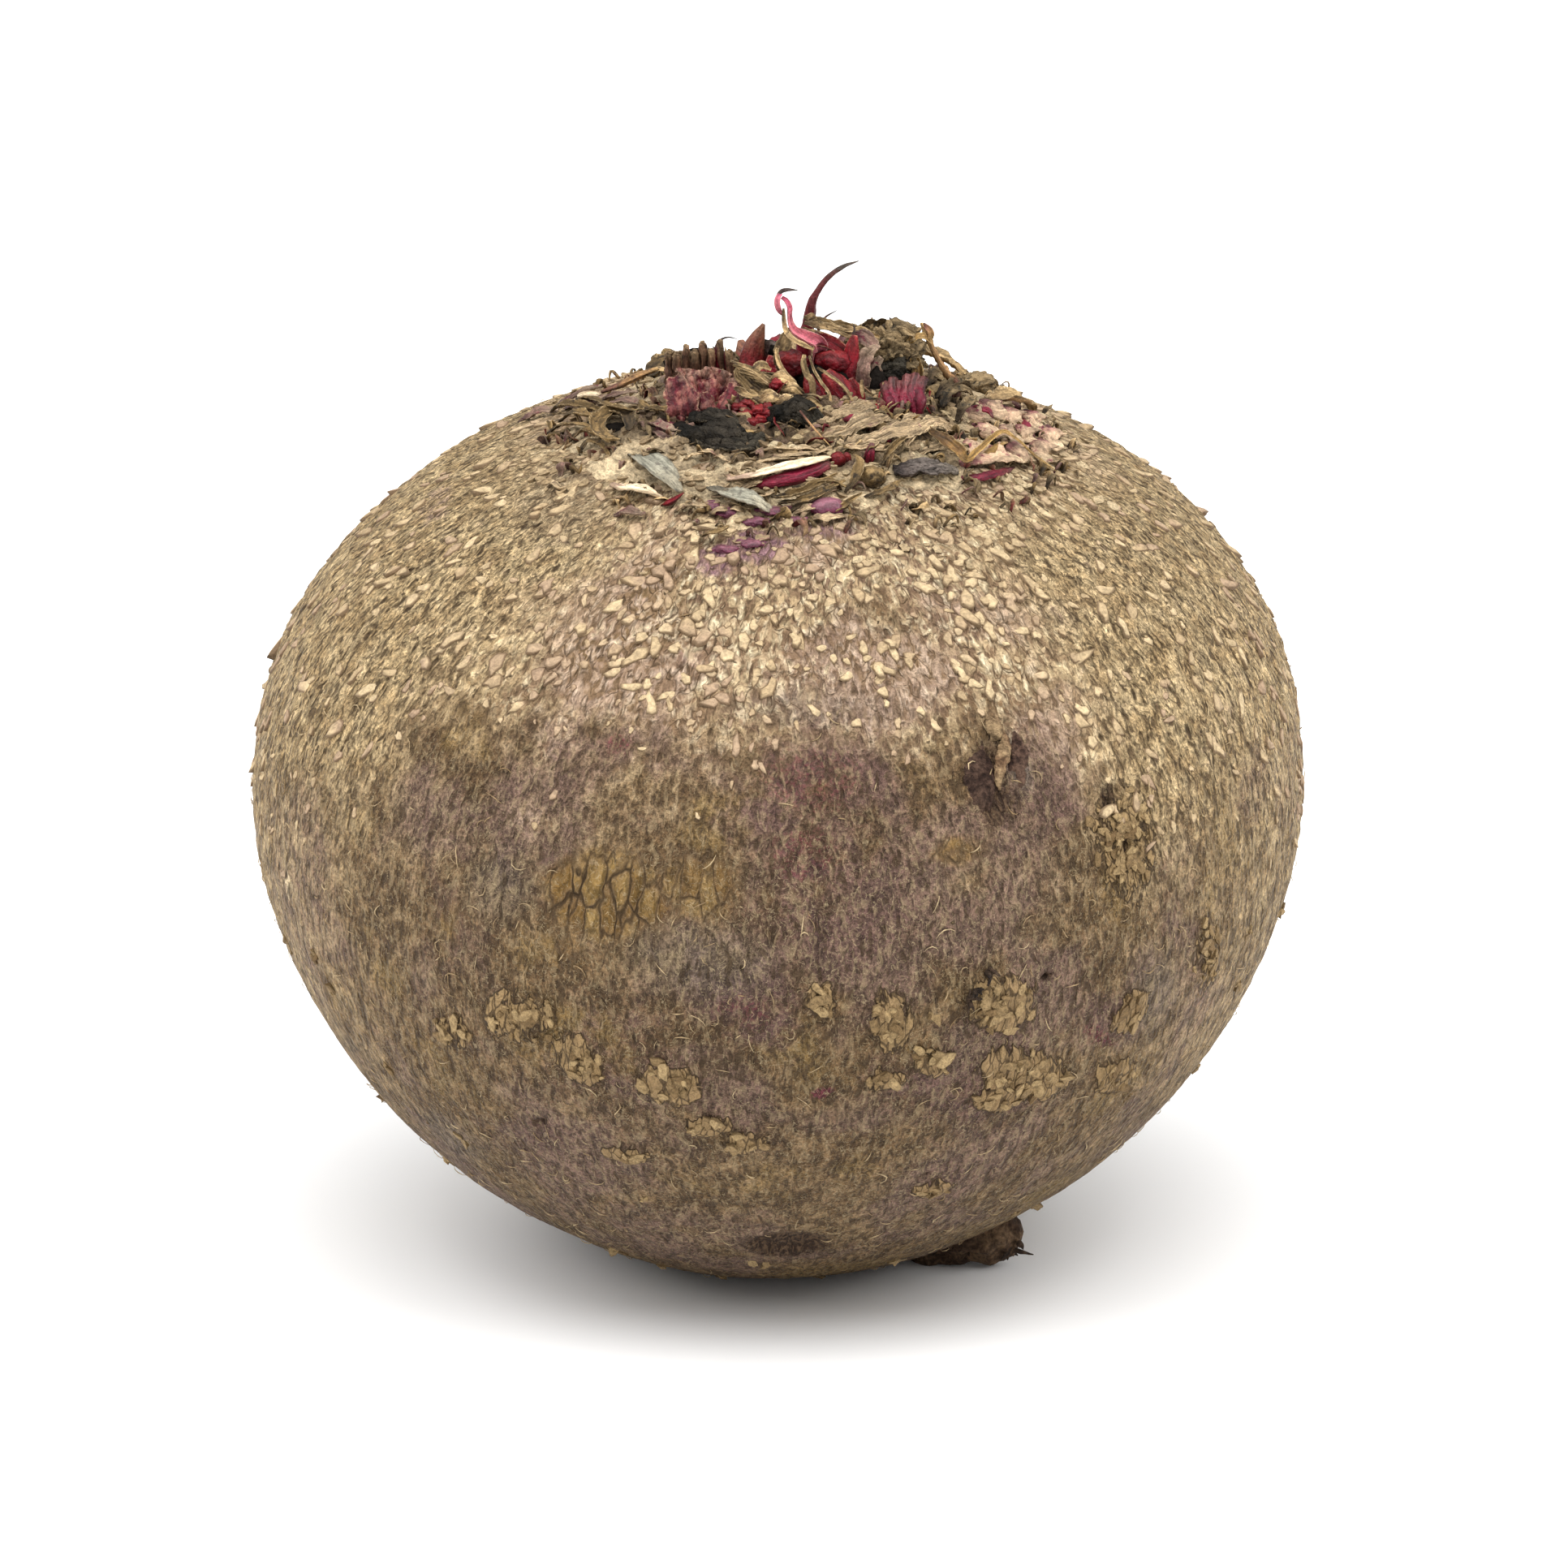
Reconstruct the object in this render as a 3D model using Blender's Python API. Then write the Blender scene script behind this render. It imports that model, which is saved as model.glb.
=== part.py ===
"""A stored beetroot, standing on the small flat spot that its weight has pressed.

World axes: +X to the right, +Y away from the viewer, +Z up, in metres.
The origin is the centre of the flat spot that the root rests on.
The swollen root leans a little forward and to the right, as it came to rest.

Crown axes, used for everything that grows on top, all in millimetres:
across (to the right), front (towards the viewer) and lift (out of the skin).
"""

import math

import bmesh
import bpy
from mathutils import Matrix, Vector, noise

MM = 0.001

# Swollen root
EQUATOR_RADIUS = 0.0449
CROWN_RISE = 0.0354
CROWN_POWER = 2.2
ROOT_DROP = 0.0415
ROOT_POWER = 1.78
LEAN_FORWARD = math.radians(12.0)
LEAN_RIGHT = math.radians(1.8)
BODY_CENTRE = Vector((0.0, 0.0005, 0.0401))
BODY_SEGMENTS = 56
BODY_RINGS = 34

# The crown's middle has grown this far right of the root's axis
CROWN_SHIFT = 0.0022

# The crown axes start this far right of the root's axis
CROWN_ORIGIN = 0.001

# Shallow unevenness of the root, as parts of its radius
TWO_LOBE_SWELL = 0.012
THREE_LOBE_SWELL = 0.008

# Broken taproot under the right front of the root, in millimetres
TAPROOT_PATH = (
    (5.0, -2.0, 6.0),
    (9.0, -5.6, 3.6),
    (12.6, -7.4, 2.7),
    (16.4, -8.2, 2.7),
    (19.6, -8.6, 3.0),
    (20.9, -8.8, 3.2),
)
TAPROOT_RADII = (3.0, 2.7, 2.2, 1.9, 1.8, 0.9)
TAPROOT_SIDES = 12

# Distance of the lowest leaf remnants from the skin, in millimetres
CLEAR = 0.4

# Stations of a lofted remnant have this many corners
LOFT_SIDES = 8

LEAN = Matrix.Rotation(LEAN_RIGHT, 3, "Y") @ Matrix.Rotation(LEAN_FORWARD, 3, "X")


def swell(angle, fullness):
    """Radius factor of the uneven root; fullness is 1 at the equator, 0 at the poles."""
    two = TWO_LOBE_SWELL * math.sin(2.0 * angle)
    three = THREE_LOBE_SWELL * math.sin(3.0 * angle)
    return 1.0 + fullness * (two + three)


def root_point(direction):
    """Point of the root's skin, in its own axes, for a unit direction."""
    level = abs(direction.z)
    rise, power = (CROWN_RISE, CROWN_POWER) if direction.z > 0 else (ROOT_DROP, ROOT_POWER)
    fullness = math.sqrt(max(0.0, 1.0 - level ** power))
    angle = math.atan2(direction.y, direction.x)
    radius = EQUATOR_RADIUS * fullness * swell(angle, fullness)
    height = math.copysign(rise * level, direction.z)
    shift = CROWN_SHIFT * max(0.0, direction.z) ** 2
    return Vector((radius * math.cos(angle) + shift, radius * math.sin(angle), height))


def crown_height(radius):
    """Height of the skin above the equator at a distance from the root's axis."""
    share = min(1.0, radius / EQUATOR_RADIUS)
    return CROWN_RISE * (1.0 - share ** 2) ** (1.0 / CROWN_POWER)


def crown_foot(across, front):
    """Point of the crown's skin in the root's own axes."""
    right = across * MM + CROWN_ORIGIN - CROWN_SHIFT
    back = -front * MM
    height = crown_height(math.hypot(right, back))
    return Vector((right + CROWN_SHIFT * (height / CROWN_RISE) ** 2, back, height))


def crown_normal(across, front):
    """Outward direction of the crown's skin in world axes."""
    step = 0.05
    right = crown_foot(across + step, front) - crown_foot(across - step, front)
    back = crown_foot(across, front - step) - crown_foot(across, front + step)
    return (LEAN @ right.cross(back)).normalized()


def crown_point(across, front, lift):
    """World point above the crown's skin."""
    return BODY_CENTRE + LEAN @ crown_foot(across, front) + crown_normal(across, front) * lift * MM


def crown_direction(across, front, up):
    """World direction given along the crown axes."""
    return (LEAN @ Vector((across, -front, up))).normalized()


def principled(name, colour, roughness):
    """Plain material of one piece."""
    material = bpy.data.materials.new(name)
    material.use_nodes = True
    shader = material.node_tree.nodes["Principled BSDF"]
    shader.inputs["Base Color"].default_value = (*colour, 1.0)
    shader.inputs["Roughness"].default_value = roughness
    shader.inputs["Metallic"].default_value = 0.0
    return material


def add_object(name, bm, colour, roughness):
    """Turns a finished bmesh into a smooth-shaded object of the scene."""
    bmesh.ops.recalc_face_normals(bm, faces=bm.faces)
    mesh = bpy.data.meshes.new(name)
    bm.to_mesh(mesh)
    bm.free()
    mesh.shade_smooth()
    thing = bpy.data.objects.new(name, mesh)
    bpy.context.scene.collection.objects.link(thing)
    mesh.materials.append(principled(name + "_skin", colour, roughness))
    return thing


def extruded_rings(rings):
    """Closed solid whose end face is extruded from ring to ring."""
    bm = bmesh.new()
    end = bm.faces.new([bm.verts.new(point) for point in rings[0]])
    for before, ring in zip(rings, rings[1:]):
        end = bmesh.ops.extrude_discrete_faces(bm, faces=[end])["faces"][0]
        for vert in end.verts:
            corner = min(range(len(before)), key=lambda k: (before[k] - vert.co).length_squared)
            vert.co = ring[corner]
    bmesh.ops.holes_fill(bm, edges=[edge for edge in bm.edges if edge.is_boundary])
    bm.normal_update()
    return bm


def lofted(name, spine, sizes, colour, roughness=0.8, face=(0.0, 1.0, 0.0), upright=True, curl=0.0):
    """Stalk stub or leaf scale along a spine of (across, front, lift) points.

    Each size is (half width, half thickness); the thin side looks towards face.
    An upright piece starts square to the skin; curl bends the side edges to face.
    """
    points = [crown_point(*station) for station in spine]
    towards = crown_direction(*face)
    rings = []
    for i, (centre, size) in enumerate(zip(points, sizes)):
        before = points[max(0, i - 1)]
        after = points[min(len(points) - 1, i + 1)]
        along = (after - before).normalized()
        if i == 0 and upright:
            along = crown_normal(spine[0][0], spine[0][1])
        across = along.cross(towards).normalized()
        out = across.cross(along)
        half_width, half_thickness = size[0] * MM, size[1] * MM
        ring = []
        for k in range(LOFT_SIDES):
            angle = 2.0 * math.pi * (k + 0.5) / LOFT_SIDES
            side = half_width * math.cos(angle)
            depth = half_thickness * math.sin(angle) + curl * half_width * math.cos(angle) ** 2
            ring.append(centre + across * side + out * depth)
        rings.append(ring)
    return add_object(name, extruded_rings(rings), colour, roughness)


def lump(name, place, radii, colour, roughness=0.85, rough=0.0, grain=900.0, detail=2):
    """Rounded crumb at (across, front, lift) with its radii along the crown axes."""
    bm = bmesh.new()
    bmesh.ops.create_icosphere(bm, subdivisions=detail, radius=1.0)
    centre = crown_point(*place)
    right = crown_direction(1.0, 0.0, 0.0)
    out = crown_normal(place[0], place[1])
    ahead = out.cross(right).normalized()
    right = ahead.cross(out)
    for vert in bm.verts:
        unit = vert.co.copy()
        uneven = 1.0 + rough * noise.noise(unit * grain * MM + centre * grain)
        offset = right * unit.x * radii[0] + ahead * unit.y * radii[1] + out * unit.z * radii[2]
        vert.co = centre + offset * uneven * MM
    return add_object(name, bm, colour, roughness)


def pleated(name, place, width, height, thickness, pleats, depth, colour, roughness=0.8):
    """Short pleated leaf base: an upright wall with pleats, all in millimetres."""
    columns = pleats * 4
    across, front = place
    rings = []
    for i in range(columns + 1):
        share = i / columns
        here = across + (share - 0.5) * width
        wave = depth * math.sin(2.0 * math.pi * pleats * share)
        top = height * (0.86 + 0.14 * math.cos(2.0 * math.pi * pleats * share))
        half = thickness / 2.0
        middle = front + wave
        rings.append([
            crown_point(here, middle - half, CLEAR),
            crown_point(here, middle + half, CLEAR),
            crown_point(here, middle + half * 0.8, top * 0.6),
            crown_point(here, middle + half * 0.4, top),
            crown_point(here, middle - half * 0.4, top),
            crown_point(here, middle - half * 0.8, top * 0.6),
        ])
    return add_object(name, extruded_rings(rings), colour, roughness)


def tube_along(path, radii):
    """Closed round solid along a world path given in millimetres."""
    points = [Vector(place) * MM for place in path]
    rings = []
    for i, (centre, radius) in enumerate(zip(points, radii)):
        along = (points[min(len(points) - 1, i + 1)] - points[max(0, i - 1)]).normalized()
        side = along.cross(Vector((0.0, 0.0, 1.0))).normalized()
        up = side.cross(along)
        turn = [2.0 * math.pi * k / TAPROOT_SIDES for k in range(TAPROOT_SIDES)]
        rings.append([centre + (side * math.cos(a) + up * math.sin(a)) * radius * MM for a in turn])
    return extruded_rings(rings)


def build_root():
    """Swollen root, crown dome and broken taproot, grown as one solid."""
    bm = bmesh.new()
    bmesh.ops.create_uvsphere(bm, u_segments=BODY_SEGMENTS, v_segments=BODY_RINGS, radius=1.0)
    for vert in bm.verts:
        vert.co = BODY_CENTRE + LEAN @ root_point(vert.co.normalized())
    body = add_object("beet_root", bm, (0.30, 0.21, 0.14), 0.75)
    cutter = add_object("taproot_shape", tube_along(TAPROOT_PATH, TAPROOT_RADII), (0.1, 0.06, 0.05), 0.9)
    cutter.hide_render = True
    cutter.display_type = "WIRE"
    joined = body.modifiers.new("taproot", "BOOLEAN")
    joined.operation = "UNION"
    joined.solver = "EXACT"
    joined.object = cutter
    bpy.context.view_layer.update()
    seen = body.evaluated_get(bpy.context.evaluated_depsgraph_get())
    mesh = bpy.data.meshes.new_from_object(seen)
    body.modifiers.clear()
    bpy.data.objects.remove(cutter)
    bm = bmesh.new()
    bm.from_mesh(mesh)
    bpy.data.meshes.remove(mesh)
    cut_resting_spot(bm)
    bm.to_mesh(body.data)
    bm.free()
    body.data.shade_smooth()
    body.data.set_sharp_from_angle(angle=math.radians(40.0))
    keep_one_material(body)
    return body


def cut_resting_spot(bm):
    """Cuts the root off at the floor and closes it with one flat face."""
    everything = bm.verts[:] + bm.edges[:] + bm.faces[:]
    bmesh.ops.bisect_plane(
        bm, geom=everything, plane_co=(0.0, 0.0, 0.0), plane_no=(0.0, 0.0, 1.0), clear_inner=True)
    rim = [edge for edge in bm.edges if edge.is_boundary]
    bmesh.ops.contextual_create(bm, geom=rim)
    bmesh.ops.recalc_face_normals(bm, faces=bm.faces)


def keep_one_material(thing):
    """Leaves the first material on every face."""
    while len(thing.data.materials) > 1:
        thing.data.materials.pop(index=len(thing.data.materials) - 1)
    for polygon in thing.data.polygons:
        polygon.material_index = 0


# Colours of the crown's remnants
CRIMSON = (0.24, 0.012, 0.035)
PINK = (0.48, 0.10, 0.16)
ROSE = (0.34, 0.12, 0.13)
MAGENTA = (0.22, 0.02, 0.09)
TAN = (0.36, 0.24, 0.12)
OLIVE = (0.17, 0.12, 0.06)
DARK_BROWN = (0.07, 0.045, 0.035)
GREY_BROWN = (0.16, 0.13, 0.09)
GREY = (0.27, 0.26, 0.22)
CREAM = (0.62, 0.52, 0.38)
BLACK = (0.02, 0.018, 0.015)


def build_centre():
    """Stubs of the youngest leaf stalks, in the middle of the crown."""
    lofted(
        "pink_curled_stalk",
        ((3.3, -1.1, CLEAR), (3.1, -1.0, 2.6), (2.2, -0.8, 4.6), (0.5, -0.5, 5.5), (-1.0, -0.5, 6.5),
         (-1.7, -0.5, 7.6), (-1.8, -0.6, 8.6), (-1.3, -0.6, 9.1), (-0.5, -0.6, 9.1)),
        ((2.1, 1.5), (2.1, 1.3), (1.7, 1.0), (1.0, 0.7), (0.7, 0.55),
         (0.55, 0.4), (0.4, 0.3), (0.28, 0.2), (0.12, 0.1)),
        PINK, roughness=0.45)
    lofted(
        "tall_stalk_wisp",
        ((0.4, -4.4, CLEAR), (0.4, -4.3, 2.6), (0.5, -4.1, 5.2), (0.6, -4.0, 7.2), (0.9, -4.0, 8.2),
         (1.7, -4.0, 9.2), (2.7, -4.0, 10.0), (3.9, -4.0, 10.5)),
        ((1.0, 0.8), (0.8, 0.6), (0.6, 0.5), (0.45, 0.4), (0.38, 0.3),
         (0.32, 0.26), (0.25, 0.2), (0.1, 0.08)),
        DARK_BROWN, roughness=0.6)
    lofted(
        "crimson_leaf_base_left",
        ((0.5, 3.6, CLEAR), (0.2, 3.4, 1.8), (-0.2, 3.1, 3.4), (-0.4, 2.9, 4.4)),
        ((1.5, 0.8), (1.4, 0.7), (0.9, 0.45), (0.35, 0.2)),
        CRIMSON, roughness=0.4)
    lofted(
        "crimson_leaf_base_right",
        ((4.3, 3.4, CLEAR), (4.0, 3.2, 1.6), (3.4, 2.9, 3.0), (2.8, 2.6, 4.2)),
        ((1.5, 0.8), (1.3, 0.7), (0.9, 0.5), (0.35, 0.2)),
        CRIMSON, roughness=0.4)
    lofted(
        "fin_stalk_stub",
        ((-4.0, -2.6, CLEAR), (-3.9, -2.8, 2.2), (-3.5, -3.2, 4.0), (-2.9, -3.5, 5.3)),
        ((1.5, 0.8), (1.3, 0.65), (0.95, 0.45), (0.3, 0.2)),
        (0.16, 0.05, 0.04), roughness=0.55)
    lofted(
        "tan_fibrous_scale",
        ((-3.7, 3.5, CLEAR), (-3.9, 2.5, 1.8), (-4.3, 1.4, 2.9)),
        ((1.5, 0.3), (2.0, 0.28), (1.7, 0.2)),
        TAN, curl=0.15)
    lofted(
        "magenta_stalk_stub",
        ((8.1, 1.4, CLEAR), (8.0, 1.3, 1.3), (7.9, 1.1, 2.3)),
        ((1.1, 0.9), (1.0, 0.8), (0.7, 0.5)),
        MAGENTA, roughness=0.45)
    lump("crumbly_leaf_lump", (7.2, -4.4, 2.9), (2.2, 2.4, 2.2), GREY_BROWN, rough=0.45)


def build_left():
    """Dry remnants on the left half of the crown."""
    pleated("pleated_leaf_base", (-8.4, -3.0), 5.0, 2.9, 0.9, 3, 0.45, OLIVE)
    lofted(
        "rose_leaf_base",
        ((-8.5, 3.0, CLEAR), (-8.3, 2.0, 1.5), (-8.1, 1.0, 2.3)),
        ((2.9, 0.6), (2.8, 0.45), (2.4, 0.3)),
        ROSE, roughness=0.6)
    lofted(
        "left_dry_stalk",
        ((-18.4, -4.6, 1.3), (-16.4, -4.5, 1.4), (-14.2, -4.4, 1.6), (-11.9, -4.2, 1.9)),
        ((0.35, 0.3), (0.8, 0.6), (0.85, 0.6), (0.5, 0.4)),
        (0.22, 0.13, 0.06), face=(0.0, 0.0, 1.0), upright=False)
    lofted(
        "seed_hull",
        ((-20.4, -2.6, 0.75), (-18.4, -2.2, 0.75), (-16.2, -1.8, 0.75)),
        ((0.25, 0.2), (1.0, 0.25), (0.5, 0.2)),
        (0.10, 0.035, 0.05), face=(0.0, 0.0, 1.0), upright=False)
    lump("cream_seed", (-17.2, -2.1, 1.9), (1.1, 0.45, 0.4), CREAM, roughness=0.5, detail=1)
    lofted(
        "olive_curled_scale",
        ((-15.8, 6.8, 0.8), (-15.0, 6.4, 2.0), (-13.6, 6.2, 2.3), (-12.5, 6.3, 1.4)),
        ((0.9, 0.25), (1.0, 0.25), (1.0, 0.25), (0.6, 0.2)),
        OLIVE, face=(0.0, 0.0, 1.0), upright=False)
    lofted(
        "black_crumpled_leaf",
        ((-9.8, 8.4, 0.9), (-8.2, 8.9, 1.5), (-6.6, 9.0, 1.0), (-5.0, 9.5, 1.5), (-3.2, 9.8, 0.9)),
        ((0.9, 0.3), (1.6, 0.4), (1.8, 0.35), (1.5, 0.4), (0.7, 0.3)),
        BLACK, face=(0.0, 0.0, 1.0), upright=False)


def build_front():
    """Low flaps, buds and cut ends along the front of the crown."""
    lofted(
        "mouldy_scale",
        ((-12.3, 12.4, 0.75), (-10.7, 14.4, 0.85), (-9.2, 16.6, 0.75)),
        ((0.6, 0.2), (1.3, 0.3), (0.6, 0.2)),
        GREY, face=(0.0, 0.0, 1.0), upright=False)
    lofted(
        "cream_flesh_flap",
        ((-15.0, 14.2, 0.7), (-13.8, 15.6, 0.75), (-12.4, 16.8, 0.7)),
        ((0.3, 0.2), (0.65, 0.25), (0.4, 0.2)),
        CREAM, face=(0.0, 0.0, 1.0), upright=False)
    lofted(
        "cut_stalk_sliver",
        ((-5.4, 15.5, 0.85), (-3.2, 15.3, 1.05), (-0.8, 14.7, 1.15), (1.8, 13.6, 1.05)),
        ((0.2, 0.15), (0.7, 0.4), (0.9, 0.5), (0.4, 0.3)),
        CREAM, roughness=0.5, face=(0.0, 0.0, 1.0), upright=False)
    lofted(
        "grey_leaf_flap",
        ((-6.8, 17.6, 0.7), (-4.4, 18.3, 0.8), (-2.1, 18.7, 0.7)),
        ((0.4, 0.2), (0.9, 0.25), (0.6, 0.2)),
        GREY, face=(0.0, 0.0, 1.0), upright=False)
    lofted(
        "olive_curled_strip",
        ((-1.6, 16.8, 0.75), (0.4, 16.3, 1.5), (2.6, 16.0, 1.6), (4.0, 16.6, 0.8)),
        ((0.35, 0.2), (0.5, 0.22), (0.5, 0.22), (0.3, 0.2)),
        OLIVE, face=(0.0, 0.0, 1.0), upright=False)
    lump("purple_bud", (2.2, 18.7, 1.0), (1.3, 1.1, 0.6), MAGENTA, roughness=0.3)
    lump("crimson_knob", (3.6, 11.9, 1.1), (0.7, 0.7, 0.7), CRIMSON, roughness=0.45, detail=1)
    lump("olive_bead", (6.3, 15.0, 1.2), (0.9, 0.8, 0.8), OLIVE, detail=1)
    lofted(
        "grey_fibre_flap",
        ((8.2, 13.6, 0.75), (10.4, 12.8, 0.85), (12.6, 11.8, 0.75)),
        ((0.8, 0.2), (1.3, 0.25), (0.8, 0.2)),
        (0.10, 0.085, 0.075), face=(0.0, 0.0, 1.0), upright=False)


def build_right():
    """Dry remnants on the right half of the crown."""
    lofted(
        "right_dry_stalk",
        ((12.9, -3.4, CLEAR), (11.8, -3.0, 1.6), (10.9, -2.8, 3.0), (9.6, -2.6, 4.9),
         (9.5, -2.9, 5.7), (8.9, -3.0, 6.6)),
        ((0.9, 0.6), (0.6, 0.45), (0.45, 0.35), (0.5, 0.4), (0.4, 0.3), (0.15, 0.12)),
        (0.25, 0.13, 0.08), roughness=0.7)
    lofted(
        "curled_dry_leaf",
        ((9.6, 6.6, 1.2), (11.2, 8.2, 1.1), (12.9, 9.2, 1.1), (14.4, 7.2, 1.4), (15.9, 5.0, 1.7),
         (18.4, 5.2, 1.1), (21.0, 5.8, 0.7)),
        ((0.5, 0.2), (0.9, 0.25), (0.9, 0.25), (0.7, 0.22), (0.5, 0.2), (0.25, 0.18), (0.12, 0.12)),
        (0.27, 0.19, 0.08), face=(0.0, 0.0, 1.0), upright=False)
    lump("pinkish_leaf_base", (15.2, 0.8, 1.1), (2.4, 1.8, 0.7), ROSE, roughness=0.6, rough=0.1)
    lump("right_shoulder_scale", (14.8, -9.0, 1.2), (1.6, 1.1, 0.7), GREY_BROWN, rough=0.25, detail=1)


def build_back():
    """Remnants behind the middle, of the same kinds as those in front."""
    lofted(
        "back_stalk_stub_left",
        ((-4.6, -9.4, CLEAR), (-4.5, -9.2, 1.2), (-4.2, -9.0, 2.2)),
        ((1.5, 1.0), (1.2, 0.8), (0.6, 0.4)),
        (0.20, 0.04, 0.04), roughness=0.6)
    lofted(
        "back_stalk_stub_right",
        ((3.2, -10.2, CLEAR), (3.4, -10.1, 1.4), (3.9, -9.9, 2.6)),
        ((1.6, 1.0), (1.3, 0.8), (0.5, 0.35)),
        MAGENTA, roughness=0.6)
    lofted(
        "back_dry_leaf",
        ((7.4, -12.6, 0.9), (9.6, -12.4, 1.3), (11.8, -12.9, 1.1), (14.0, -13.8, 0.8)),
        ((0.6, 0.2), (1.4, 0.3), (1.2, 0.25), (0.3, 0.2)),
        TAN, face=(0.0, 0.0, 1.0), upright=False)
    lofted(
        "back_crumpled_leaf",
        ((-3.6, -14.8, 0.9), (-1.2, -14.6, 1.5), (1.2, -14.9, 1.1), (3.4, -15.0, 0.8)),
        ((0.6, 0.25), (1.5, 0.35), (1.3, 0.3), (0.5, 0.2)),
        DARK_BROWN, face=(0.0, 0.0, 1.0), upright=False)
    lofted(
        "back_leaf_scale_left",
        ((-12.4, -10.4, 0.8), (-10.6, -11.6, 1.1), (-8.8, -13.0, 0.8)),
        ((0.5, 0.2), (1.3, 0.3), (0.7, 0.2)),
        OLIVE, face=(0.0, 0.0, 1.0), upright=False)
    lofted(
        "back_leaf_scale_right",
        ((15.6, -4.6, 0.75), (17.4, -5.2, 0.9), (19.2, -6.2, 0.7)),
        ((0.5, 0.2), (1.0, 0.25), (0.4, 0.2)),
        TAN, face=(0.0, 0.0, 1.0), upright=False)


def build():
    """Clears the scene and builds the root and what is left of its leaves."""
    for thing in list(bpy.data.objects):
        bpy.data.objects.remove(thing)
    build_root()
    build_centre()
    build_left()
    build_front()
    build_right()
    build_back()


build()
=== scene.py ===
"""Looks of a stored beetroot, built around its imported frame.

Lengths in the arrays are millimetres until a mesh is made.
Root axes: the root's own axis is Z and its equator lies at Z = 0.
Crown axes: across (right), front (towards the viewer) and lift (out of the skin).
"""

import math

import bpy
import numpy as np
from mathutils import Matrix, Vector


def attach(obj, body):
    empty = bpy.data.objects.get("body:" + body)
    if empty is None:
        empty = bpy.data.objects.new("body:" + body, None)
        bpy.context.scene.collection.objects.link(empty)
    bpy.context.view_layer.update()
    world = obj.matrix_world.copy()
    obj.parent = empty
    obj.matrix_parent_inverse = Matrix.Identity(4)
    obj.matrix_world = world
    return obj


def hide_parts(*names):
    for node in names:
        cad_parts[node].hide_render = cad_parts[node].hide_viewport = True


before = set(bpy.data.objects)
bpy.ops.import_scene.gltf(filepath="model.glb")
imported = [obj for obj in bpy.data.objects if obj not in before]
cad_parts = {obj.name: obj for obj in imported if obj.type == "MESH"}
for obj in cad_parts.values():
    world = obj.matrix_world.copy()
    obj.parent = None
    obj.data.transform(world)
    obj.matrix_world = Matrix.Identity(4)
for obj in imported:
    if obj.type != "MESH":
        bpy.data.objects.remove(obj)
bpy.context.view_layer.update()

MM = 0.001

# Swollen root, the same sizes as in the frame
EQUATOR_RADIUS = 44.9
CROWN_RISE = 35.4
CROWN_POWER = 2.2
ROOT_DROP = 41.5
ROOT_POWER = 1.78
LEAN_FORWARD = math.radians(12.0)
LEAN_RIGHT = math.radians(1.8)
BODY_CENTRE = np.array([0.0, 0.5, 40.1])
CROWN_SHIFT = 2.2
CROWN_ORIGIN = 1.0
TWO_LOBE_SWELL = 0.012
THREE_LOBE_SWELL = 0.008
CROWN_MIDDLE = CROWN_SHIFT - CROWN_ORIGIN

# Camera of the photograph
FRAME_PIXELS = 1932
SENSOR = 36.0
LENS = 100.0
CAMERA_RISE = math.radians(13.0)
CAMERA_DISTANCE = 374.0
CAMERA_AIM = BODY_CENTRE + np.array([0.45, 0.0, 0.2])
LOOK = np.array([0.0, math.cos(CAMERA_RISE), -math.sin(CAMERA_RISE)])
CAMERA_PLACE = CAMERA_AIM - LOOK * CAMERA_DISTANCE
CAMERA_RIGHT = np.array([1.0, 0.0, 0.0])
CAMERA_UP = np.cross(CAMERA_RIGHT, LOOK)
FOCAL_PIXELS = LENS / SENSOR * FRAME_PIXELS

# Studio light: even white surroundings and three wide soft lights
WORLD_LIGHT = 0.52
FLOOR_LIGHT = 4.39
SOFTBOX_SPREAD = 48.0
# Soft lights: name, direction towards it, share of the light that reaches the floor
SOFTBOXES = (
    ("overhead_softbox", (0.0, -0.37, 1.0), 0.42),
    ("left_softbox", (-0.95, -0.30, 1.0), 0.29),
    ("right_softbox", (0.95, -0.30, 1.0), 0.29),
)


def lean_matrix():
    """Turn from root axes to world axes."""
    c, s = math.cos(LEAN_FORWARD), math.sin(LEAN_FORWARD)
    forward = np.array([[1, 0, 0], [0, c, -s], [0, s, c]])
    c, s = math.cos(LEAN_RIGHT), math.sin(LEAN_RIGHT)
    right = np.array([[c, 0, s], [0, 1, 0], [-s, 0, c]])
    return right @ forward


LEAN = lean_matrix()


def smooth(low, high, value):
    """Smooth step from 0 at low to 1 at high."""
    t = np.clip((value - low) / (high - low), 0.0, 1.0)
    return t * t * (3.0 - 2.0 * t)


def lattice(cells, seed):
    """One repeatable random number between 0 and 1 for each whole-number cell."""
    c = cells.astype(np.int64)
    h = c[..., 0] * 374761393 + c[..., 1] * 668265263 + c[..., 2] * 1440662683 + seed * 1274126177
    h = (h ^ (h >> 13)) & 0xFFFFFFFF
    h = (h * 1103515245 + 12345) & 0xFFFFFFFF
    h = (h ^ (h >> 15)) * 2246822519 & 0xFFFFFFFF
    h = h ^ (h >> 13)
    return (h & 0xFFFFFF) / float(0x1000000)


def value_noise(points, seed=0):
    """Smooth noise between 0 and 1."""
    cell = np.floor(points)
    t = points - cell
    t = t * t * (3.0 - 2.0 * t)
    total = np.zeros(len(points))
    for i in (0, 1):
        for j in (0, 1):
            for k in (0, 1):
                weight = (t[:, 0] if i else 1 - t[:, 0]) * (t[:, 1] if j else 1 - t[:, 1])
                weight = weight * (t[:, 2] if k else 1 - t[:, 2])
                total += weight * lattice(cell + np.array([i, j, k]), seed)
    return total


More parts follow.
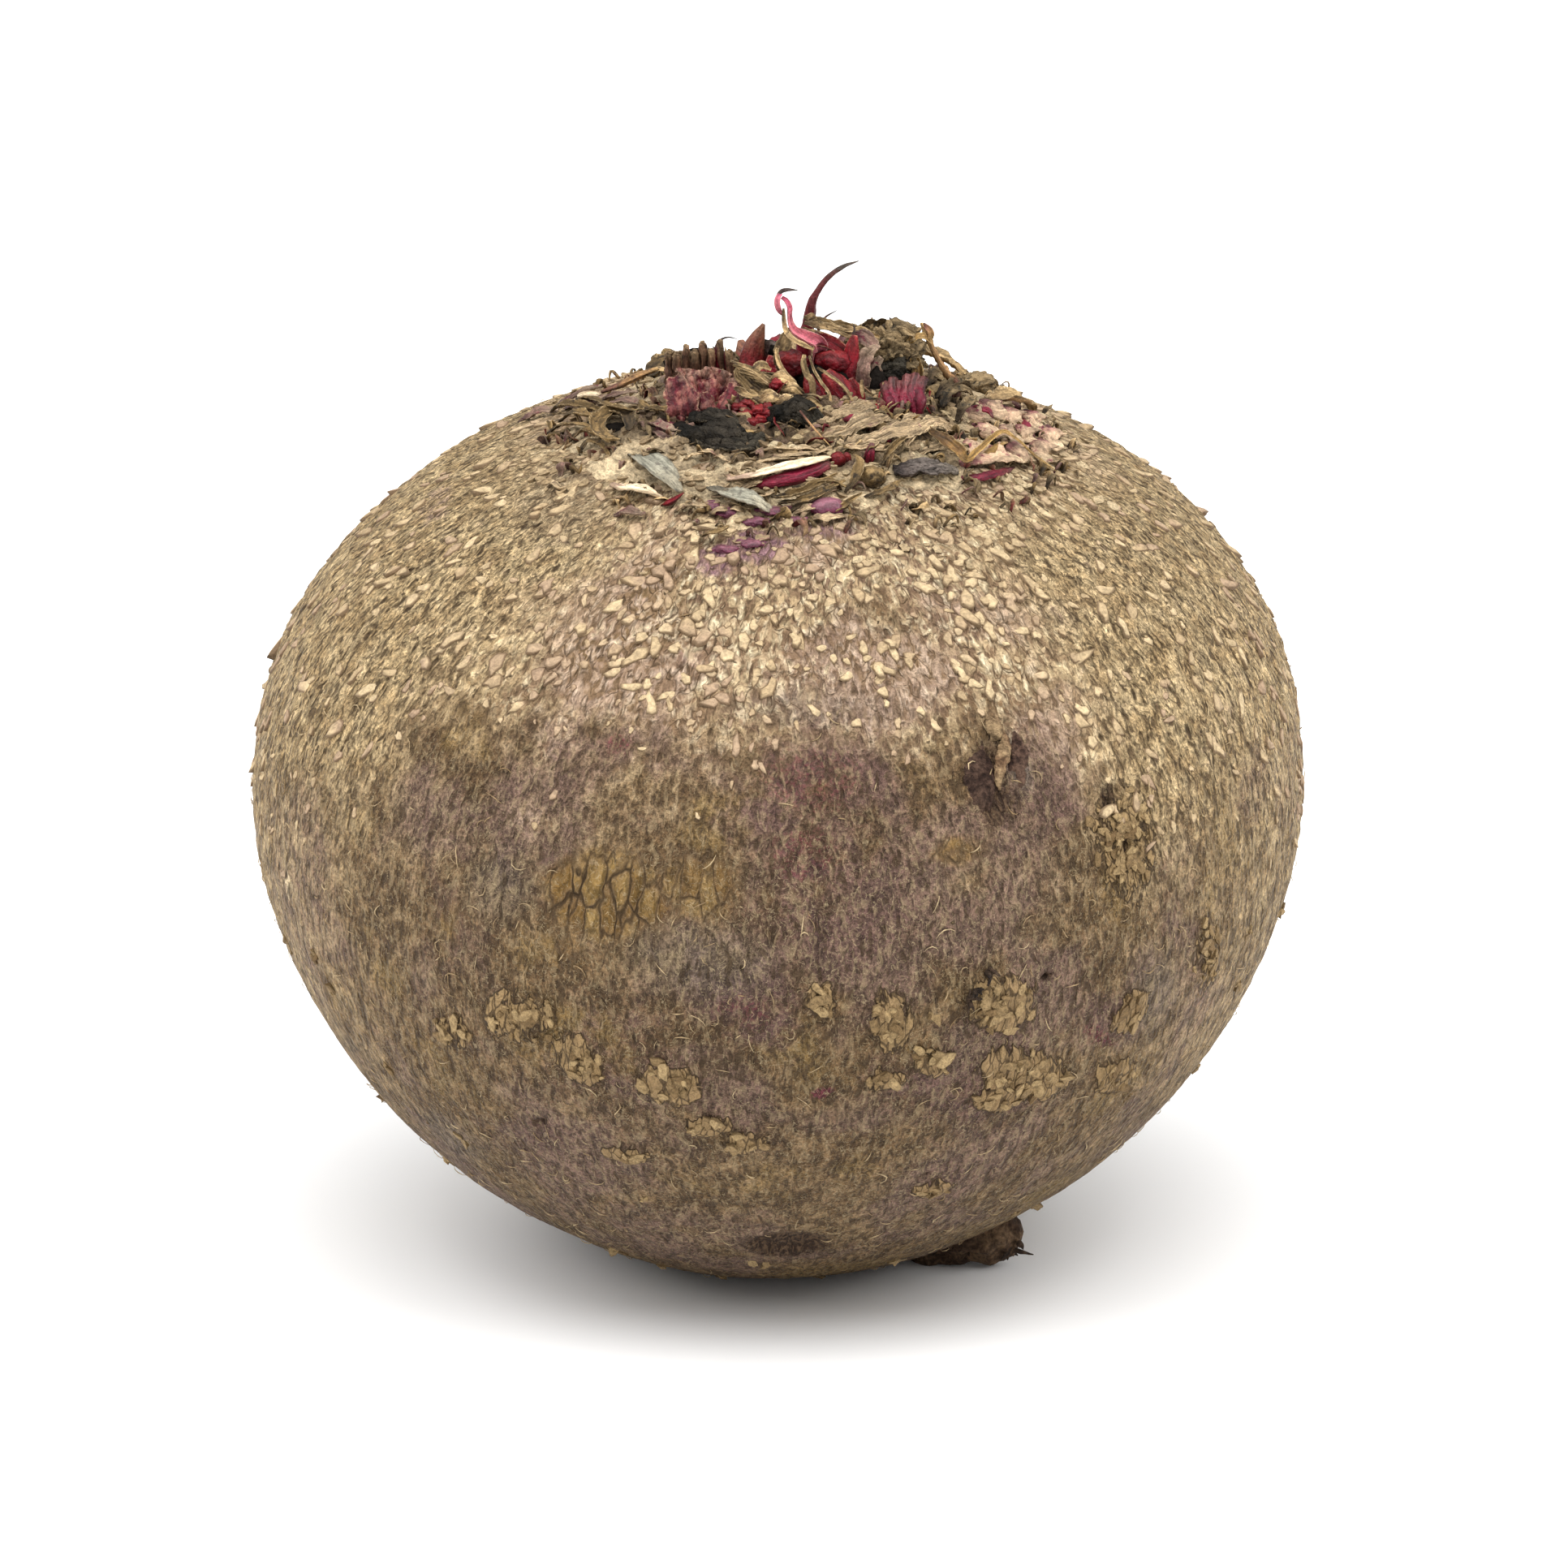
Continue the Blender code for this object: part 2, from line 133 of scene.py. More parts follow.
def rough_noise(points, octaves=4, seed=0):
    """Layered noise about 0, roughly between -1 and 1."""
    total = np.zeros(len(points))
    size = 1.0
    reach = 0.0
    for octave in range(octaves):
        total += size * (value_noise(points * 2.03 ** octave + 17.3 * octave, seed + octave) - 0.5)
        reach += size * 0.5
        size *= 0.5
    return total / reach


def ridge_noise(points, octaves=3, seed=0):
    """Noise with sharp crests, between 0 and 1."""
    total = np.zeros(len(points))
    size = 1.0
    reach = 0.0
    for octave in range(octaves):
        n = value_noise(points * 2.1 ** octave + 9.1 * octave, seed + octave)
        total += size * (1.0 - np.abs(2.0 * n - 1.0)) ** 2
        reach += size
        size *= 0.5
    return total / reach


def cell_noise(points, seed=0):
    """Distances to the nearest and second nearest cell centre, and the cell's random number."""
    base = np.floor(points)
    first = np.full(len(points), 9.0)
    second = np.full(len(points), 9.0)
    mark = np.zeros(len(points))
    for i in (-1, 0, 1):
        for j in (-1, 0, 1):
            for k in (-1, 0, 1):
                cell = base + np.array([i, j, k])
                centre = cell + np.stack([lattice(cell, seed + q) for q in (11, 23, 37)], -1)
                d = np.linalg.norm(points - centre, axis=1)
                nearer = d < first
                second = np.where(nearer, first, np.minimum(second, d))
                mark = np.where(nearer, lattice(cell, seed + 51), mark)
                first = np.where(nearer, d, first)
    return first, second, mark


def root_skin(directions):
    """Points of the root's skin in root axes for unit directions."""
    level = np.abs(directions[:, 2])
    up = directions[:, 2] > 0
    full = np.sqrt(np.maximum(0.0, 1.0 - np.where(up, level ** CROWN_POWER, level ** ROOT_POWER)))
    angle = np.arctan2(directions[:, 1], directions[:, 0])
    lobes = TWO_LOBE_SWELL * np.sin(2 * angle) + THREE_LOBE_SWELL * np.sin(3 * angle)
    radius = EQUATOR_RADIUS * full * (1.0 + full * lobes)
    height = np.where(up, CROWN_RISE * level, -ROOT_DROP * level)
    shift = CROWN_SHIFT * np.maximum(0.0, directions[:, 2]) ** 2
    return np.stack([radius * np.cos(angle) + shift, radius * np.sin(angle), height], -1)


def to_world(points):
    """Root axes to world axes, in millimetres."""
    return points @ LEAN.T + BODY_CENTRE


def to_root(points):
    """World axes to root axes, in millimetres."""
    return (points - BODY_CENTRE) @ LEAN


def crown_foot(across, front):
    """Points of the crown's skin in root axes."""
    right = across - CROWN_MIDDLE
    share = np.minimum(1.0, np.hypot(right, front) / EQUATOR_RADIUS)
    height = CROWN_RISE * (1.0 - share ** 2) ** (1.0 / CROWN_POWER)
    return np.stack([right + CROWN_SHIFT * (height / CROWN_RISE) ** 2, -front + 0.0 * across, height], -1)


def crown_normal(across, front):
    """Outward directions of the crown's skin in root axes."""
    step = 0.05
    right = crown_foot(across + step, front) - crown_foot(across - step, front)
    back = crown_foot(across, front - step) - crown_foot(across, front + step)
    n = np.cross(right, back)
    return n / np.linalg.norm(n, axis=-1, keepdims=True)


def crown_point(places):
    """World points for rows of (across, front, lift)."""
    places = np.asarray(places, float)
    across, front, lift = places[..., 0], places[..., 1], places[..., 2]
    return to_world(crown_foot(across, front) + crown_normal(across, front) * lift[..., None])


# Where along a ray of the camera its first point on the root is looked for
SEARCH_DEPTH = 60.0
SEARCH_STEPS = 1201


def photo_direction(x, y):
    """Unit direction in root axes, as root_skin takes it, of the skin seen at a photo pixel."""
    ray = LOOK + CAMERA_RIGHT * (x - FRAME_PIXELS / 2) / FOCAL_PIXELS
    ray = ray - CAMERA_UP * (y - FRAME_PIXELS / 2) / FOCAL_PIXELS
    ray = ray / np.linalg.norm(ray)
    near = CAMERA_DISTANCE - SEARCH_DEPTH
    reach = np.linspace(near, near + SEARCH_DEPTH, SEARCH_STEPS)
    points = to_root(CAMERA_PLACE + reach[:, None] * ray)
    height = points[:, 2]
    level = np.clip(np.where(height > 0, height / CROWN_RISE, -height / ROOT_DROP), 0.0, 1.0)
    power = np.where(height > 0, CROWN_POWER, ROOT_POWER)
    full = np.sqrt(1.0 - level ** power)
    shifted = points[:, 0] - np.where(height > 0, CROWN_SHIFT * level ** 2, 0.0)
    radius = np.hypot(shifted, points[:, 1])
    hit = int(np.argmax((radius < EQUATOR_RADIUS * full) & (level < 1.0)))
    side = np.sqrt(max(0.0, 1.0 - level[hit] ** 2))
    turn = math.atan2(points[hit, 1], shifted[hit])
    return np.array([side * math.cos(turn), side * math.sin(turn), math.copysign(level[hit], height[hit])])


def new_object(name, points, faces, material, smooth_shaded=True, attributes=None, replaced=()):
    """Makes a piece from world points in millimetres and ties it to the root."""
    mesh = bpy.data.meshes.new(name)
    mesh.from_pydata((np.asarray(points) * MM).tolist(), [], [list(map(int, f)) for f in faces])
    mesh.update()
    if smooth_shaded:
        mesh.shade_smooth()
    for label, values in (attributes or {}).items():
        values = np.asarray(values, np.float32)
        if values.ndim == 1:
            layer = mesh.attributes.new(label, "FLOAT", "POINT")
            layer.data.foreach_set("value", values)
        else:
            layer = mesh.attributes.new(label, "FLOAT_VECTOR", "POINT")
            layer.data.foreach_set("vector", values.ravel())
    mesh.materials.append(material)
    thing = bpy.data.objects.new(name, mesh)
    bpy.context.scene.collection.objects.link(thing)
    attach(thing, "root")
    if replaced:
        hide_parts(*replaced)
    return thing


class Graph:
    """Short calls for building a node material."""

    def __init__(self, name):
        self.material = bpy.data.materials.new(name)
        self.material.use_nodes = True
        self.tree = self.material.node_tree
        self.shader = self.tree.nodes["Principled BSDF"]

    def node(self, kind, settings=None, **inputs):
        made = self.tree.nodes.new(kind)
        for key, value in (settings or {}).items():
            setattr(made, key, value)
        for key, value in inputs.items():
            self.feed(made.inputs[key.replace("_", " ")], value)
        return made

    def feed(self, socket, value):
        if isinstance(value, bpy.types.NodeSocket):
            self.tree.links.new(value, socket)
        elif isinstance(value, tuple) and socket.type == "RGBA":
            socket.default_value = (*value, 1.0)
        else:
            socket.default_value = value

    def value(self, name):
        return self.node("ShaderNodeAttribute", {"attribute_name": name}).outputs["Fac"]

    def vector(self, name):
        return self.node("ShaderNodeAttribute", {"attribute_name": name}).outputs["Vector"]

    def place(self):
        """Object coordinates in millimetres."""
        at = self.node("ShaderNodeTexCoord").outputs["Object"]
        return self.scaled(at, (1000.0, 1000.0, 1000.0))

    def scaled(self, vector, factors):
        made = self.node("ShaderNodeVectorMath", {"operation": "MULTIPLY"})
        self.feed(made.inputs[0], vector)
        self.feed(made.inputs[1], factors)
        return made.outputs[0]

    def vector_math(self, operation, a, b=None, output="Vector"):
        made = self.node("ShaderNodeVectorMath", {"operation": operation})
        self.feed(made.inputs[0], a)
        if b is not None:
            self.feed(made.inputs[1], b)
        return made.outputs[output]

    def math(self, operation, a, b=0.0):
        made = self.node("ShaderNodeMath", {"operation": operation})
        self.feed(made.inputs[0], a)
        self.feed(made.inputs[1], b)
        return made.outputs[0]

    def times(self, a, b):
        return self.math("MULTIPLY", a, b)

    def minus(self, a, b):
        return self.math("SUBTRACT", a, b)

    def most(self, a, b):
        return self.math("MAXIMUM", a, b)

    def total(self, *terms):
        """Sum of fields, each times its factor."""
        parts = [self.times(field, factor) for field, factor in terms]
        whole = parts[0]
        for part in parts[1:]:
            whole = self.add(whole, part)
        return whole

    def noise(self, vector, scale, detail=3.0, roughness=0.55, output="Fac"):
        made = self.node("ShaderNodeTexNoise", Vector=vector, Scale=scale, Detail=detail, Roughness=roughness)
        return made.outputs[output]

    def voronoi(self, vector, scale, feature="F1"):
        return self.node("ShaderNodeTexVoronoi", {"feature": feature}, Vector=vector, Scale=scale)

    def band(self, value, low, high):
        """Smooth step from 0 at low to 1 at high; low may be the larger."""
        made = self.node("ShaderNodeMapRange", {"interpolation_type": "SMOOTHSTEP"}, Value=value)
        made.inputs["From Min"].default_value = low
        made.inputs["From Max"].default_value = high
        return made.outputs["Result"]

    def mix(self, factor, a, b):
        made = self.node("ShaderNodeMix", {"data_type": "RGBA"})
        self.feed(made.inputs[0], factor)
        self.feed(made.inputs[6], a)
        self.feed(made.inputs[7], b)
        return made.outputs[2]

    def lay(self, base, field, share, colour):
        """Base under a colour that covers it by a share of a field."""
        return self.mix(self.times(field, share), base, colour)

    def shade(self, colour, factor):
        """Colour times a grey factor."""
        return self.vector_math("MULTIPLY", colour, self.grey(factor))

    def dapple(self, colour, field, swing, least):
        """Colour times a grey factor that grows with a field, from its least by a swing."""
        return self.shade(colour, self.add(self.times(field, swing), least))

    def grey(self, factor):
        made = self.node("ShaderNodeCombineXYZ", X=factor, Y=factor, Z=factor)
        return made.outputs[0]

    def add(self, a, b):
        return self.math("ADD", a, b)

    def ragged(self, field, noise, swing, low, high):
        """A field whose edge is broken up by noise."""
        swung = self.times(self.minus(noise, 0.5), swing)
        return self.band(self.add(swung, field), low, high)

    def dashes(self, vector, scale, half_width, gap_low, gap_high):
        """Short winding lines: where noise crosses its middle value, with gaps."""
        level = self.noise(vector, scale, 0.0)
        away = self.math("ABSOLUTE", self.minus(level, 0.5))
        line = self.band(away, half_width, half_width * 0.25)
        shifted = self.vector_math("ADD", vector, (31.7, 12.9, 23.3))
        return self.times(line, self.band(self.noise(shifted, scale * 1.2, 1.0), gap_low, gap_high))

    def warped(self, vector, scale, amount):
        """Vector pushed about by noise, so that patterns lose their regularity."""
        push = self.noise(vector, scale, 1.0, output="Color")
        push = self.vector_math("SUBTRACT", push, (0.5, 0.5, 0.5))
        push = self.scaled(push, (amount, amount, amount))
        return self.vector_math("ADD", vector, push)

    def bump(self, height, depth):
        """Normal of a surface whose height, 0 to 1, is that many millimetres."""
        return self.node("ShaderNodeBump", Strength=1.0, Distance=depth * MM, Height=height).outputs["Normal"]

    def finish(self, colour, roughness=0.7, normal=None, specular=0.4, subsurface=0.0):
        self.feed(self.shader.inputs["Base Color"], colour)
        self.feed(self.shader.inputs["Roughness"], roughness)
        self.shader.inputs["Specular IOR Level"].default_value = specular
        if normal is not None:
            self.feed(self.shader.inputs["Normal"], normal)
        if subsurface:
            self.shader.inputs["Subsurface Weight"].default_value = subsurface
            self.shader.inputs["Subsurface Radius"].default_value = (1.0, 0.3, 0.25)
            self.shader.inputs["Subsurface Scale"].default_value = 0.0008
        return self.material


def skin_material():
    """Corky scales above, woolly fibres in the middle and smooth mauve skin below."""
    g = Graph("root_skin")
    at = g.place()
    grain = g.vector("grain")
    cork = g.value("cork")
    flank = g.value("flank")
    wool = g.value("wool")
    scab = g.value("scab")
    yellow = g.value("yellow")

    turned = g.node("ShaderNodeVectorRotate", {"rotation_type": "EULER_XYZ"}, Vector=at)
    turned.inputs["Rotation"].default_value = (0.6, 0.9, 0.4)
    turned = turned.outputs[0]
    broad = g.noise(turned, 0.13, 2.0)
    medium = g.noise(turned, 0.45, 3.0, 0.62)
    blush = g.noise(g.vector_math("ADD", turned, (40.0, 11.0, 23.0)), 0.085, 3.0, 0.6)
    speckle = g.noise(at, 3.4, 2.0, 0.7)
    bent = g.warped(grain, 0.85, 0.9)
    flow = g.noise(bent, 1.2, 2.0, 0.62)
    run = g.scaled(bent, (1.0, 1.0, 0.62))
    streak = g.noise(run, 1.75, 1.5, 0.55)
    thin = g.noise(g.vector_math("ADD", run, (4.4, 8.2, 1.9)), 3.4, 1.0, 0.5)

    # Long cork scales with cracks at their lower right
    longer = g.scaled(bent, (1.0, 1.0, 0.52))
    cells = g.voronoi(longer, 0.82)
    edge = g.voronoi(longer, 0.82, "DISTANCE_TO_EDGE").outputs["Distance"]
    local = g.vector_math("SUBTRACT", longer, cells.outputs["Position"])
    lean = g.vector_math("ADD", g.scaled(cells.outputs["Color"], (0.8, 0.8, 0.8)), (-0.55, -0.3, -1.0))
    shingle = g.vector_math("DOT_PRODUCT", local, lean, "Value")
    tone = g.node("ShaderNodeSeparateXYZ", Vector=cells.outputs["Color"])
    fine_edge = g.voronoi(longer, 1.6, "DISTANCE_TO_EDGE")
    fine_edge = fine_edge.outputs["Distance"]
    scaly = g.most(g.times(g.band(cork, 0.10, 1.0), g.minus(1.0, flank)), yellow)
    small = g.times(g.band(cork, 0.1, 0.7), flank)
    gaps = g.noise(grain, 1.0, 1.0)
    open_gaps = g.add(gaps, g.times(shingle, 0.35))
    split = g.times(g.band(edge, 0.065, 0.012), g.band(open_gaps, 0.52, 0.62))
    split = g.times(split, scaly)
    nick = g.times(g.band(fine_edge, 0.10, 0.02), g.band(streak, 0.50, 0.42))
    nick = g.times(nick, g.most(small, 0.25))
    pillow = g.times(g.band(edge, 0.0, 0.40), scaly)
    hump = g.times(g.band(fine_edge, 0.0, 0.3), small)
    calm = g.minus(1.0, g.times(scaly, 0.75))
    hole = g.times(g.band(cells.outputs["Distance"], 0.30, 0.14), g.band(tone.outputs[0], 0.84, 0.90))
    hole = g.times(hole, g.add(g.times(cork, 0.85), 0.10))

    # Ground colour
    tan = g.mix(tone.outputs[1], (0.43, 0.305, 0.17), (0.62, 0.48, 0.29))
    # Cream flecks where the gap noise, which also raises the scales, is high: partly pale cork, partly painted
    # highlight
    tan = g.mix(g.band(gaps, 0.50, 0.62), tan, (0.67, 0.55, 0.36))
    tan = g.lay(tan, g.band(blush, 0.50, 0.60), 0.6, (0.38, 0.255, 0.215))
    # Darker brown where the flow relief is low: partly the cork's own colour, partly painted shade in the hollows
    hollow_shade_tan = g.mix(g.band(broad, 0.36, 0.64), (0.24, 0.15, 0.07), (0.26, 0.165, 0.105))
    tan = g.mix(g.band(flow, 0.54, 0.40), tan, hollow_shade_tan)
    side_tan = g.mix(g.band(medium, 0.36, 0.64), (0.425, 0.292, 0.145), (0.545, 0.404, 0.222))
    tan = g.mix(flank, tan, side_tan)
    brown = g.mix(g.band(medium, 0.36, 0.64), (0.104, 0.061, 0.029), (0.205, 0.127, 0.061))
    brown = g.lay(brown, g.band(blush, 0.47, 0.60), 0.7, (0.175, 0.107, 0.087))
    brown = g.lay(brown, g.band(blush, 0.45, 0.35), 0.75, (0.215, 0.136, 0.050))
    base = g.mix(g.ragged(cork, medium, 1.2, 0.0, 1.1), brown, tan)
    mauve = g.mix(g.band(cork, 0.45, 1.0), (0.130, 0.073, 0.060), (0.28, 0.155, 0.17))
    base = g.mix(g.ragged(g.value("mauve"), medium, 2.2, 0.2, 1.1), base, mauve)
    base = g.mix(g.ragged(g.value("crimson"), speckle, 1.6, 0.25, 1.1), base, (0.11, 0.026, 0.033))
    ochre = g.mix(tone.outputs[1], (0.16, 0.085, 0.022), (0.30, 0.19, 0.065))
    base = g.mix(g.ragged(yellow, medium, 1.2, 0.15, 0.9), base, ochre)
    base = g.mix(g.value("grey"), base, (0.15, 0.122, 0.10))
    # Pale patches: partly pale cream cork, partly painted sheen
    base = g.mix(g.ragged(g.value("pale"), flow, 2.0, 0.3, 0.95), base, (0.62, 0.50, 0.32))

    # Woolly fibres lying every way
    tangle = g.warped(at, 1.1, 1.1)
    light = g.dashes(tangle, 1.9, 0.030, 0.45, 0.54)
    second = g.dashes(g.vector_math("ADD", tangle, (9.1, 3.3, 6.2)), 2.7, 0.036, 0.45, 0.54)
    light = g.most(light, second)
    light = g.times(light, g.add(g.times(wool, 0.75), 0.1))

    # Painted shade in the hollows and grooves of the relief and painted light on its crests and glints; hollows are
    # darker than crests
    pit_shade = g.times(g.band(streak, 0.435, 0.32), calm)
    crest_light = g.times(g.band(streak, 0.55, 0.68), calm)
    groove_shade = g.times(g.band(thin, 0.42, 0.30), calm)
    glint = g.times(g.band(thin, 0.57, 0.70), calm)
    # Painted shade and light that follow the flow relief: darker where it is low, lighter where it is high
    relief_shade = g.add(g.times(g.band(flow, 0.28, 0.72), 0.50), 0.76)
    base = g.shade(base, relief_shade)
    uneven = g.times(g.band(gaps, 0.34, 0.66), g.times(calm, 0.40))
    base = g.shade(base, g.add(uneven, g.minus(1.02, g.times(calm, 0.20))))
    # Speckle: partly random tone, partly painted shade and light that follow the speckle relief
    speckle_shade_share = g.add(g.times(calm, 0.65), 0.15)
    speckle_shade = g.times(g.minus(g.band(speckle, 0.32, 0.68), 0.5), speckle_shade_share)
    base = g.shade(base, g.add(speckle_shade, 1.0))
    base = g.lay(base, crest_light, 0.36, (0.46, 0.34, 0.19))
    base = g.lay(base, glint, 0.32, (0.42, 0.31, 0.17))
    base = g.lay(base, light, 0.70, (0.47, 0.36, 0.21))
    base = g.lay(base, groove_shade, 0.62, (0.06, 0.037, 0.023))
    base = g.lay(base, pit_shade, 0.70, (0.060, 0.036, 0.018))
    rim_shade = g.times(g.band(edge, 0.20, 0.02), scaly)
    base = g.lay(base, rim_shade, 0.5, (0.24, 0.15, 0.085))
    base = g.lay(base, split, 0.8, (0.085, 0.052, 0.028))
    yellow_crack = g.times(g.band(edge, 0.10, 0.02), yellow)
    base = g.lay(base, yellow_crack, 0.85, (0.045, 0.026, 0.010))
    base = g.mix(hole, base, (0.075, 0.046, 0.024))
    base = g.lay(base, nick, 0.7, (0.10, 0.062, 0.032))

    # The skin is darker where it has no cork
    base = g.dapple(base, g.band(cork, 0.0, 0.6), 0.18, 0.82)

    # Scabs of cork with dark rims: the rims are partly the scabs' broken edges, partly painted shadow round the
    # raised scabs; the scab colour also takes the painted relief shade
    torn = g.add(g.times(g.minus(flow, 0.5), 1.6), scab)
    torn = g.add(torn, g.times(g.minus(streak, 0.5), 0.5))
    scab_now = g.band(torn, 0.42, 0.56)
    rim = g.times(g.band(torn, 0.34, 0.44), g.band(torn, 0.60, 0.48))
    base = g.lay(base, scab_now, 0.8, g.shade((0.31, 0.205, 0.095), relief_shade))
    cracked = g.times(g.band(fine_edge, 0.10, 0.02), scab_now)
    base = g.lay(base, g.most(rim, cracked), 0.8, (0.05, 0.03, 0.015))
    torn_edge = g.total((speckle, 0.6), (streak, 0.4))
    dark_now = g.ragged(g.value("dark"), torn_edge, 2.4, 0.4, 0.75)
    bark = g.mix(g.band(thin, 0.45, 0.62), (0.028, 0.015, 0.009), (0.10, 0.060, 0.034))
    base = g.lay(base, dark_now, 0.92, bark)

    # Relief, in millimetres
    height = g.total((flow, 0.65), (g.times(gaps, scaly), 0.9), (g.times(shingle, scaly), 0.42), (pillow, 0.50),
                     (hump, 0.30), (g.times(streak, calm), 0.70), (g.times(thin, calm), 0.28),
                     (g.add(split, nick), -0.15), (hole, -0.45), (scab_now, 0.25), (g.times(speckle, calm), 0.32),
                     (speckle, 0.06))
    return g.finish(base, 0.6, g.bump(height, 1.2), specular=0.12)


# Marks on the skin: photo pixel, half width and half height in mm, turn in degrees, strength
MAUVE_MARKS = (
    (1000, 980, 9.0, 6.0, 10, 0.75), (1020, 1120, 8.0, 6.0, 0, 0.8), (760, 915, 3.0, 2.0, 0, 0.6),
    (1310, 990, 3.5, 3.0, 0, 0.7), (1180, 1350, 10.0, 4.0, -25, 0.8), (1380, 1260, 5.0, 2.0, -40, 0.8),
    (760, 1300, 8.0, 5.0, 30, 0.6), (930, 1240, 4.5, 4.0, 0, 1.0), (880, 690, 2.4, 2.0, 0, 1.0),
    (930, 672, 2.6, 2.0, 0, 1.3), (1010, 655, 3.0, 1.2, 0, 0.8), (540, 620, 4.0, 2.0, -20, 0.5),
    (660, 1400, 5.0, 3.0, 30, 0.7), (1180, 1450, 8.0, 2.5, -15, 0.5),
)
CRIMSON_MARKS = (
    (1000, 960, 4.5, 3.0, 0, 0.55), (990, 1050, 3.0, 2.5, 0, 0.6), (765, 915, 1.6, 0.9, 0, 0.7),
    (1012, 1344, 0.9, 0.55, 10, 1.6), (1360, 1280, 3.0, 0.7, -42, 0.9), (930, 1245, 1.4, 1.8, 0, 0.6),
    (900, 1235, 1.8, 0.8, 20, 0.6), (1215, 960, 0.8, 2.2, 10, 0.9),
)
YELLOW_MARKS = (
    (750, 1100, 5.6, 3.6, 0, 1.0), (860, 1090, 3.8, 2.8, 0, 0.65), (407, 1222, 1.2, 2.6, -15, 0.7),
    (1180, 1050, 2.6, 1.4, 0, 0.6), (560, 1130, 1.6, 2.0, 0, 0.5), (700, 1160, 2.2, 1.2, 0, 0.4),
)
GREY_MARKS = (
    (1254, 940, 1.0, 2.4, 10, 0.9), (1000, 870, 7.0, 1.6, 0, 0.35), (560, 1400, 4.0, 3.0, 35, 0.5),
    (860, 1180, 6.0, 3.0, 0, 0.45), (1430, 1230, 3.0, 4.0, 20, 0.5), (620, 1090, 3.0, 3.0, 0, 0.4),
    (690, 620, 6.0, 4.0, -20, 0.3),
)
# Pale patches: partly pale cream cork, partly a painted sheen
PALE_SHEEN_MARKS = (
    (870, 780, 7.0, 3.0, 5, 0.55), (980, 830, 5.0, 2.0, 0, 0.35), (760, 770, 4.0, 2.5, 0, 0.35),
    (358, 1093, 0.8, 1.6, 0, 0.7), (1150, 690, 6.0, 2.0, 0, 0.3), (560, 760, 5.0, 2.5, -20, 0.25),
)
DARK_MARKS = (
    (1213, 965, 0.75, 2.9, 8, 1.0), (1252, 985, 0.8, 1.6, 20, 0.55), (1365, 975, 0.9, 1.0, 0, 0.55),
    (1396, 1044, 0.45, 0.7, 0, 1.1), (1408, 1005, 0.35, 0.35, 0, 0.8), (970, 1533, 4.4, 3.4, 0, 0.9),
    (1222, 935, 1.35, 2.6, 5, 0.72), (1226, 990, 1.7, 2.2, 0, 0.8), (1247, 1000, 0.9, 1.4, 20, 0.6),
    (1372, 985, 1.0, 1.3, -20, 0.8), (640, 1020, 0.5, 1.0, 0, 0.5), (600, 640, 1.6, 0.8, -20, 0.45),
    (690, 600, 1.6, 0.6, -15, 0.5), (512, 700, 0.5, 0.8, -20, 0.5), (1370, 620, 0.5, 0.5, 0, 0.7),
    (1452, 742, 0.6, 0.9, 0, 0.6), (1490, 905, 0.8, 1.6, 0, 0.45), (1294, 1206, 0.55, 0.45, 0, 1.1),
    (668, 1380, 0.9, 0.5, 20, 0.9), (1396, 1350, 0.25, 1.1, 30, 0.9), (1143, 1450, 0.8, 0.25, -5, 0.8),
    (1223, 905, 0.55, 0.8, 0, 0.5), (988, 1312, 1.4, 0.25, -8, 0.6), (1012, 1480, 5.5, 1.2, -8, 0.35),
    (940, 840, 0.7, 0.5, 0, 0.3),
)
SCAB_MARKS = (
    (827, 1333, 1.9, 1.5, 0, 0.8), (717, 1303, 1.4, 1.9, 20, 0.75), (773, 1419, 1.5, 0.8, 5, 0.85),
    (916, 1405, 1.3, 0.9, 10, 0.75), (875, 1385, 1.5, 0.8, 10, 0.7), (1234, 1239, 2.4, 1.7, -20, 0.85),
    (1265, 1327, 3.6, 1.6, -32, 0.95), (1230, 1358, 1.6, 0.9, -20, 0.9), (1398, 1249, 1.5, 1.4, -50, 0.9),
    (1380, 1328, 2.0, 1.2, -40, 0.85), (1100, 1257, 1.2, 2.0, 0, 0.75), (1010, 1230, 0.9, 1.2, 0, 0.6),
    (1150, 1310, 1.2, 1.0, 0, 0.6), (1090, 1330, 1.1, 0.9, 0, 0.55), (640, 1250, 2.6, 1.6, 25, 0.6),
    (560, 1270, 1.6, 1.2, 25, 0.5), (1395, 1040, 2.6, 3.4, 0, 0.55), (1150, 1465, 1.4, 0.8, 0, 0.7),
    (1500, 1180, 1.4, 3.0, 20, 0.5),
)
WIDE_SCABS = tuple((x, y, 1.5 * a, 1.5 * b, turn, strength) for x, y, a, b, turn, strength in SCAB_MARKS)


# Reach of a mark along its own outward direction, in millimetres
MARK_DEPTH = 12.0


def mark_field(directions, skin, marks):
    """Strength of the nearest marks at each direction of the skin."""
    field = np.zeros(len(directions))
    for x, y, half_width, half_height, turn, strength in marks:
        middle = photo_direction(x, y)
        off = skin - root_skin(middle[None])[0]
        side = unit(np.array([-middle[1], middle[0], 0.0]))
        up = np.cross(middle, side)
        c, s = math.cos(math.radians(turn)), math.sin(math.radians(turn))
        u, v = off @ side, off @ up
        reach = np.hypot((u * c + v * s) / half_width, (v * c - u * s) / half_height)
        near = np.abs(off @ middle) < MARK_DEPTH
        field = np.maximum(field, strength * smooth(1.35, 0.45, reach) * near)
    return field


